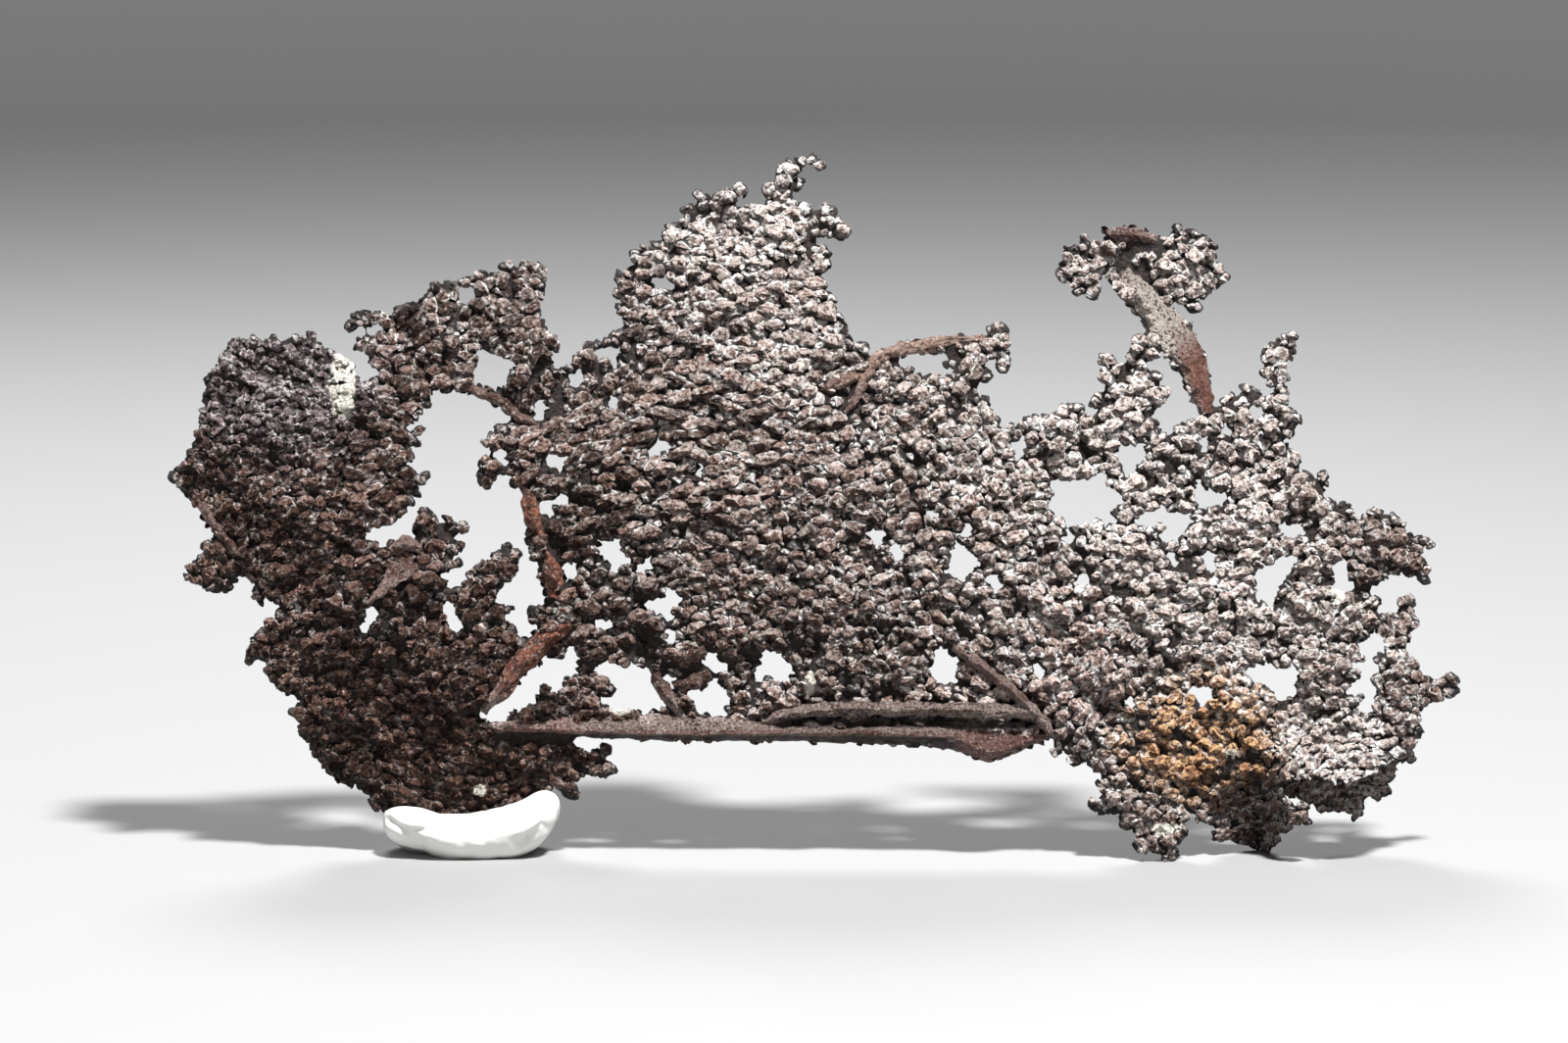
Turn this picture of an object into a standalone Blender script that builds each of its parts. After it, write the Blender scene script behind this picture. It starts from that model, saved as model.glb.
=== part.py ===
"""Native copper: one lacy, branching sheet of metal standing on edge in a lump of mounting putty.

The sheet is drawn first as a flat plan (x to the right, z up, in millimetres), with every gap that
goes right through it.  The plan is given its thickness, its lumps and its ribs while it is flat.
It is then bent: each point of the plan goes back along its own sight line, seen from VIEW_DISTANCE
in front and VIEW_RISE above, to the depth that the sheet has there.
"""
import math
import bpy
import bmesh
import numpy as np
from mathutils import Vector

for old in list(bpy.data.objects):
    bpy.data.objects.remove(old, do_unlink=True)

MM = 0.001

# ---- sizes, in millimetres -------------------------------------------------------------------
VIEW_DISTANCE = 1500.0      # the plan is drawn as seen from this far in front
VIEW_RISE = math.radians(8.0)   # and this much above the level
PLAN_MID = (-6.5, 69.6)     # the middle of the plan
GROUND_SHIFT = 69.64        # puts the front foot of the plan on the ground, z = 0
BASE_MID = (0.1, 1.2)       # x and y taken off at the end, so that the origin is below the middle

WEB_THICKNESS = 2.4         # the sheet between its lumps
LUMP_PITCH = 5.4            # spacing of the lumps over the sheet
LUMP_RADIUS = 3.2
LUMP_DEPTH = 0.72           # a lump's half depth, as a share of its radius
LUMP_RISE = 1.1             # how far its middle stands off the middle of the sheet
GAP_GROWTH = 1.15           # a small round gap is drawn this much wider, so that it stays open
SMALLEST_GAP = 0.6          # a round gap whose half width times half height is less is left out
VOXEL = 0.85
COPPER_TRIANGLES = 9050

PUTTY_DEPTH = 4.2           # how far back the middle of the putty sits
PUTTY_FLAT = 3.6            # half the depth of its slab, before the rounding
PUTTY_ROUND = 7.0           # radius of its rounded edge
PUTTY_INSET = 6.6           # how far the slab's outline is drawn in, for that edge
PUTTY_VOXEL = 1.2
PUTTY_TRIANGLES = 760
SEAT = ((-96, 0), (-44, 24))    # x from and to, z from (the ground) and to, of the copper in the putty
SEAT_VOXEL = 1.1
SEAT_TRIANGLES = 900
GAP = 1.0                   # how far the seat is swollen, which leaves about 0.45 to the copper
SEED = 29

COPPER_COLOUR = (0.235, 0.135, 0.105, 1.0)
PUTTY_COLOUR = (0.78, 0.78, 0.75, 1.0)

# ---- the plan ----------------------------------------------------------------------------------
# The outline runs clockwise from the tip at the far left.
LEFT_LOBE = [
    (-131.9, 77.6), (-130.5, 80.5), (-129.7, 81.7), (-127.8, 83.6), (-127.8, 85.5), (-126.2, 88.2),
    (-125.7, 90.5), (-125.3, 92.4), (-125, 94.7), (-124.9, 96.6), (-124.5, 98.9), (-123, 100.8),
    (-121.8, 103.1), (-120.1, 105), (-119.1, 106.6), (-117.8, 107.2), (-116.7, 106.6), (-115.1, 107.6),
    (-113.2, 107.1), (-112.6, 106.6), (-110.5, 107.7), (-109, 106.6), (-107.1, 107.7), (-105.2, 107.6),
    (-104.4, 106.9), (-103.3, 108.3), (-102.3, 107.7), (-101.7, 106.2), (-99.8, 105), (-97.9, 104.1),
    (-96.4, 103.3), (-94.8, 102), (-93.9, 100), (-93.3, 98.9), (-92.6, 97.4), (-91.4, 98.1), (-89.9, 99.3),
    (-88.6, 100.2), (-91, 101.4), (-91.2, 103.1), (-92, 104.3), (-94.7, 105.2), (-93.7, 106.7),
    (-92, 107.7), (-89.9, 107.6), (-88, 109), (-89, 109.9), (-92.5, 109.3), (-96.2, 109.7), (-94.5, 111.7),
    (-92, 112.7), (-89, 112.5), (-87.5, 111.5), (-86, 111.8), (-85.5, 113.8), (-83.5, 114.3), (-81, 114.2),
    (-80.2, 115.6), (-78, 118.3), (-75, 119), (-72.5, 118.7), (-70.5, 120), (-69, 120.8), (-67, 120.6),
    (-65.5, 120.4), (-64, 120.2), (-64.3, 122), (-63, 122.8), (-61.7, 122.5), (-61.3, 120.8),
    (-60.8, 119.8),
    (-60.5, 121.8), (-59.5, 123), (-58.3, 122.6), (-57.3, 123), (-56, 122), (-55.2, 121), (-54.9, 119.5),
    (-55.5, 118), (-55.5, 116), (-56, 114.5), (-56.2, 111.3), (-55.3, 110.5), (-54.5, 108.5), (-53, 106.8),
    (-52, 105), (-53, 104.3), (-54.5, 104.8), (-53.8, 102), (-52.3, 100.4), (-49.5, 102.5), (-48.5, 104.5),
    (-47.5, 106.2), (-45, 106.2), (-42, 108), (-39.8, 108.8),
]
DOME = [
    (-39.6, 110.4), (-40.2, 112.3), (-41, 113.4), (-39.6, 114.4), (-40.6, 115.5), (-41.3, 116.5),
    (-40.4, 117.5), (-40.8, 118.4), (-40.6, 120), (-39.2, 119.8), (-38.3, 121.3), (-36.2, 121.5),
    (-37.6, 122.6), (-37.9, 124.7), (-36.2, 125.1), (-35.2, 126.2), (-34.3, 125.5), (-32.5, 127),
    (-30.8, 126.5), (-31.8, 128.4), (-31, 129.4), (-29.3, 130.5), (-27, 131), (-27.8, 133), (-26.8, 133.9),
    (-25.3, 134.3), (-24.3, 133.7), (-23.9, 134.9), (-25.1, 135.6), (-23.9, 136.4), (-22.6, 136.7),
    (-21.4, 136.1), (-20.1, 136.6), (-19, 137.4), (-16.8, 137.7), (-16.2, 138.6), (-15, 138.6),
    (-14, 137.4),
    (-14.4, 136), (-16.3, 135.8), (-16.4, 133.7), (-14.7, 133.9), (-12.1, 134.2), (-10.9, 134.2),
    (-10.2, 135.3), (-10.4, 137), (-10.9, 138.1), (-10, 139.1), (-8.4, 139.3), (-8.2, 140.8), (-7.7, 142),
    (-5.6, 143.7), (-4.4, 143.5), (-2.4, 144.3), (0.2, 143.8), (1.4, 143), (1, 141.9), (-1.7, 142.3),
    (-3.2, 141.8), (-3.6, 140.2), (-4.8, 139.2), (-4, 138.9), (-2.3, 138.1), (-3.6, 137.3), (-5.4, 136.8),
    (-5.2, 135.6), (-2.9, 135.1), (-1.2, 134.6), (-0.9, 133.5), (-2.3, 132.3), (-0.6, 132.3), (1.2, 132.3),
    (0.5, 133.4), (0.9, 134.3), (2.1, 134.5), (3.6, 133.9), (4.2, 132.8), (3.9, 131.9), (5.2, 131.5),
    (6.1, 130.3), (7.3, 128.4), (5.9, 127.8), (5.6, 126.8), (4.4, 126.8), (3.3, 127.7), (1.3, 127.7),
    (-1, 127.5), (-2.5, 126.8), (-1.9, 124.9), (-0.4, 125.6), (0.5, 126.3), (2.1, 125.7), (3.1, 124.2),
    (2.7, 122.6), (2.9, 121.5), (1.7, 120.3), (0.9, 119.6), (2.1, 118.4), (2.4, 117.1), (3.6, 116.1),
    (4.6, 115), (3.4, 114), (5.2, 112.3), (5.9, 110.8), (5.5, 109.2), (6.9, 108.7), (7.4, 107.4),
    (7.3, 105.9), (6.9, 104.8), (7.5, 104.2), (7.7, 105.8), (9, 106.5), (10.1, 106), (10.9, 104.6),
    (11.2, 102.4),
]
ARM = [
    (12.4, 103.9), (14, 105.2), (16.3, 106.1), (20.1, 106.7), (23.9, 107.2), (27.7, 107.6), (31, 107.7),
    (34.6, 107.3), (34.8, 108.5), (36.2, 110), (38.4, 110.4), (39.3, 109.2), (39.2, 107.7), (39.6, 106.2),
    (39.2, 104.3), (39.7, 102.8), (39.2, 100.8), (38.1, 100.8), (37.1, 101.8), (36.2, 103.1), (34.9, 102.6),
    (34.6, 101.2), (35.8, 100.5), (36, 99.3), (35.4, 98), (33.9, 97.8), (32.8, 98.6), (32, 98.2),
    (31.4, 97.2), (33.3, 96.8), (33.3, 96.1), (32.6, 95.4), (34.8, 95.1), (35.3, 93.8), (36, 92.4),
    (36.4, 91.4), (37.4, 90.7), (37.4, 88.8), (38.8, 89), (40, 89.7), (41.5, 89.4), (42.7, 90.9),
    (44.8, 91.4), (46.1, 91.3), (48.1, 91.9), (49.4, 92.1), (49.9, 93.5), (51.1, 93.5), (52.8, 93.9),
    (54.4, 93.4), (55.1, 91.9), (56.1, 90.6), (58.1, 91.9), (58, 92.7), (56.4, 93.2), (56.1, 94.5),
    (57.1, 95.7), (58.7, 96), (59.9, 95.6), (59.4, 96.9), (58.4, 97.5), (58.1, 98.9), (57.9, 101.2),
    (57.7, 102.8), (58.1, 103.8), (59.1, 104.2), (60.4, 103.5), (61.4, 102.5), (62.5, 101), (62.3, 99.5),
    (63.4, 99), (64, 99.6), (63.5, 101.4), (63.4, 103.2), (64.2, 104.3), (64.4, 105.5), (64.7, 107.1),
    (66, 107.9), (67.3, 107.6), (68, 107.3),
]
STALK_AND_CROWN = [
    (66.7, 109.5), (64.7, 112.1), (63.4, 114.1), (61.5, 116.1), (60.7, 117.1), (59.9, 118.8), (58.9, 120.4),
    (57.9, 119.4), (57.6, 118.3), (57.9, 116.1), (56.4, 114.9), (54.7, 115.8), (52.8, 115.8), (52.1, 117.1),
    (51.4, 118.6), (50.4, 118.4), (49.3, 119.3), (49.8, 121.1), (49.6, 122.4), (50.4, 123.6), (50.6, 124.9),
    (51.4, 125.9), (53.1, 126.2), (54, 126), (53.9, 127), (54.7, 128.1), (55.7, 127.9), (56.1, 126.9),
    (57.4, 126.7), (58.8, 126.4), (58.4, 129), (58.5, 129.8), (59.7, 129.6), (61.4, 129.5), (63, 129.9),
    (65.4, 129.9), (68, 129), (69.7, 128.2), (71.5, 127.4), (72, 128.2), (73.2, 129), (73.3, 129.9),
    (74.6, 130.2), (75.2, 129.3), (76.6, 129.4), (77.6, 128.7), (79, 127.9), (80.1, 127.9), (81.1, 127),
    (81.6, 126.2), (80.8, 124.6), (81.9, 124.1), (81.6, 122.9), (82.9, 122.4), (83.5, 121), (83.9, 119.3),
    (82.9, 118.3), (82.1, 117.3), (80.6, 116.9), (80.3, 115.8), (79.5, 115.1), (78.3, 115.8), (77.8, 114.7),
    (77.5, 113.6), (78.3, 112.5), (77.3, 112), (76, 112.5), (75.2, 113.4), (74, 114.1), (72.4, 114.1),
    (72, 113.1), (72.8, 111.5), (74.3, 111), (76, 110.3), (77.3, 110.5), (77.6, 109.5), (77, 107.8),
    (78.3, 105.8), (79.3, 103.8), (80, 102.2), (80.1, 99.5), (80.4, 96.9), (80.8, 93.9), (81.3, 92.4),
]
RIGHT_TOP = [
    (82.6, 93.9), (83.9, 95.5), (84.9, 96), (85.5, 95.2), (84.9, 93.9), (84.7, 92.6), (85.4, 91.3),
    (86.1, 92.2), (85.9, 93.5), (86.3, 94.9), (87.2, 95.6), (86.9, 97.2), (87.7, 97.7), (88.8, 97),
    (90, 97.3), (90.5, 96.3), (91.9, 95), (92.7, 95.4), (93.6, 95.8), (93.8, 96.8), (91.9, 97.3),
    (92.1, 99),
    (91.1, 99.4), (90.8, 99.9), (91.1, 100.5), (91.9, 100.9), (90.9, 102.3), (90.8, 103.2), (91.3, 103.8),
    (91, 104.4), (91.7, 104.9), (92.5, 106.3), (93.6, 106.8), (94.6, 107), (95.5, 107.8), (96.7, 108.5),
    (97.6, 108.5), (98, 107.6), (97.9, 106.5), (97.8, 105.3), (98, 103.8), (97.8, 103), (96.3, 101.9),
    (96.2, 100.7), (96.5, 98.8), (95.8, 97.6), (96.6, 96.9), (96.5, 95.7), (95.8, 94.8), (96.3, 93.3),
    (95.9, 92.7), (97.4, 92.8), (98.5, 91.9), (99.5, 90.8), (99, 89.6), (97.8, 88.9), (97.8, 87.5),
    (97.1, 86.7), (95.9, 86.9), (95.1, 87.5), (93.8, 87.2), (94.7, 86), (95.7, 85.4), (96.7, 84.5),
    (97.8, 84), (98.7, 82.2), (98.4, 80), (99.7, 79.4), (100.9, 79.6), (101.4, 78.1), (102.1, 77.8),
    (102.3, 79.4), (103.6, 80), (104.7, 79.2), (104.6, 77.3), (103.8, 75.7), (104, 74.4), (105, 74.1),
    (105.8, 73.6), (107.4, 73.7), (109.1, 73.1), (109.9, 71.6), (110.3, 70.2), (111.5, 70.6), (112.9, 71),
    (113.6, 72.2), (115, 72.5), (116.2, 71.2), (117, 71.1), (118.2, 71.4), (119.1, 70.4), (120.1, 69.2),
    (120.4, 67), (121.7, 67.4), (122.9, 66.7), (124.2, 66.5), (125.4, 66.1), (126, 65.1), (125.4, 64.1),
    (124.2, 64.7), (123.2, 64.8), (123.8, 63.5), (123.6, 62.4), (124.2, 61.8), (125, 60.6), (125.7, 59.4),
    (125, 57.6), (122.9, 57.8), (121.8, 58.4), (120.5, 58), (119.4, 59), (118.2, 58.4), (116, 57.8),
    (114.8, 56.5), (112.7, 56.5), (110.3, 56.5), (108.5, 57.6), (108.5, 61.2), (109.4, 62.8), (107.6, 62.9),
    (107, 61.8), (105.4, 60.6), (105.8, 59.4), (105.2, 58.2), (105.4, 57.3), (105.6, 56.1), (107.2, 55.7),
    (107.9, 54.9), (109.1, 55.3), (111.9, 55.3), (113.6, 54.5), (115.2, 53.7), (115, 52.4), (114.2, 51.8),
    (114.8, 51), (114.9, 49.8), (116, 50.6), (117.6, 50.8), (118.8, 51.4), (118.4, 53.4), (119.7, 54.5),
    (121.3, 54.5), (122.5, 53.3), (122.1, 51.6), (122.9, 50), (122.8, 48.4), (121.8, 46.6), (120.4, 45),
    (120.2, 43.7), (121.5, 41.9), (122.8, 40.7), (123.1, 39.1), (124.7, 38.2), (125.8, 37), (127.2, 37.2),
    (128.2, 38.2), (130.1, 38.8), (131.2, 38.2), (131.4, 37.2), (130.7, 35.7), (131.2, 34.3), (130.1, 33.4),
    (128.2, 33.4), (126.6, 32.9), (125, 32.3), (123.4, 31), (123.4, 28.9), (124.1, 26.8), (123.2, 25.6),
    (122.6, 24.1), (121.6, 23), (120.2, 22.4), (118.4, 20.8), (116.8, 19.4), (114, 18.4), (112.4, 17),
    (110.4, 16.6), (108, 16.4), (105.6, 16.2), (103, 16.4), (100.6, 16.8), (98.2, 17), (96.2, 16.6),
    (94.8, 15.9),
]
FEET = [
    (96, 14.9), (95.8, 13.8), (95.5, 13.2), (96.6, 12.4), (98.2, 12.2), (100, 12.2), (100.2, 11),
    (100.6, 9.8), (101.3, 8.4), (99.8, 8.2), (98.2, 7.6), (96.6, 6.8), (95.2, 5.6), (94, 4.2), (93, 3.1),
    (91.2, 2.4), (89.2, 3.2), (86.6, 3.8), (84.9, 4.3), (82.9, 4.6), (80.9, 4.2), (80.4, 5), (80.9, 6.2),
    (81.8, 7.4), (79.3, 8.1), (77.8, 8.7), (77.3, 9.6), (77.9, 10.3), (76.6, 10.7), (76, 9.4), (75.4, 8.4),
    (76, 7.1), (75.6, 5.6), (74.6, 4.4), (73.8, 3.4), (73.6, 1.6), (72.9, -0.4), (71.1, -0.4), (70.5, 1.6),
    (68.7, 2.1), (66.4, 1.8), (65, 2.6), (64.7, 3.8), (65.6, 5), (65, 6.2), (64.2, 7), (63, 6.6),
    (61.9, 7.6),
    (61.9, 8.9), (62.6, 10), (61, 9.9), (58.7, 9.7), (57.1, 10.5), (55.7, 12), (56.1, 13), (58.1, 12.9),
    (58.8, 14), (57.7, 14.5), (56.9, 15.9), (57.4, 16.7), (59.6, 17), (60, 18.6), (58.7, 18.3),
    (57.4, 18.3),
    (56.4, 19.2), (55.4, 20.2), (54.4, 21), (53.3, 20.2), (51.8, 19.8), (51.1, 20.8), (51.4, 22.2),
    (50.1, 23.3), (49.3, 21.2), (48.1, 21.8), (47.9, 22.8), (48.6, 24.6), (48.4, 25.8),
]
BOTTOM_RIB_EDGE = [
    (46.6, 24.6), (43.8, 23.5), (40.9, 22.2), (38.5, 21.2), (35.2, 20.9), (33.6, 20.6), (32, 21.4),
    (30.4, 22.3), (28.4, 22.9), (25, 23.5), (18, 23.7), (10, 24.1), (1.7, 24.2), (-10, 24.8), (-12.1, 24.2),
    (-18.7, 24.8), (-28.7, 24.8), (-40, 25), (-45.3, 25.6), (-52.6, 26.2), (-60, 26.4), (-66, 26.3),
]
LOWER_LEFT = [
    (-66, 24.8), (-61.5, 24.6), (-57.5, 25), (-54, 25.2), (-49.5, 24.6), (-47.5, 23), (-46.3, 22.7),
    (-43.5, 24.2), (-41.9, 22.8), (-42.3, 20.8), (-41, 18.8), (-41.5, 17.8), (-43, 17.2), (-44.5, 17.5),
    (-46.5, 18), (-49.2, 16.5), (-48.7, 15), (-48.8, 13.5), (-50, 13), (-51.5, 14), (-52.5, 15),
    (-55.2, 14.3),
    (-56.3, 12.5), (-58, 9.5), (-60, 6.6), (-66, 5), (-74, 4.8), (-80, 5.6), (-85, 7.6), (-88.8, 10.6),
    (-90.5, 10.8), (-91.5, 13.2), (-92.5, 14.5), (-94, 15.5), (-97.5, 16.4), (-100, 18.5), (-101.3, 20),
    (-102.5, 22), (-104, 24.4), (-105.6, 26.7), (-106.1, 29), (-107.1, 31.1), (-105.6, 32.8),
    (-106.1, 34.3),
    (-107.5, 34.3), (-109.8, 35.5), (-111.3, 37), (-112.1, 38.9), (-112.8, 41.2), (-114.7, 41.6),
    (-115.5, 40.1), (-116.5, 40.8), (-115.7, 43.1), (-115.5, 45), (-114.4, 47.1), (-112.5, 48.5),
    (-112.5, 49.6), (-110.5, 50.4), (-109.6, 51.5), (-109.2, 53.3), (-110.3, 52.7), (-111.1, 53.6),
    (-112.6, 54), (-113.8, 52.7), (-114.4, 53.8), (-115.3, 55.8), (-114.7, 56.9), (-116.7, 58),
    (-118, 59), (-118.4, 57.3), (-119, 55.6), (-120.9, 54.8), (-123.2, 55.4), (-125.8, 56.5),
    (-128.5, 57.5), (-129.1, 58.8), (-127.6, 60.7), (-126.4, 62.3), (-125.3, 63.8), (-125.7, 65.3),
    (-123.9, 65.9), (-122.8, 66.4), (-123.8, 67.8), (-125, 69), (-126, 71.2), (-127.5, 73),
    (-128.5, 75), (-129.8, 76),
    (-131, 77),
]
OUTLINE = (LEFT_LOBE + DOME + ARM + STALK_AND_CROWN + RIGHT_TOP + FEET + BOTTOM_RIB_EDGE + LOWER_LEFT)

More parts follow.
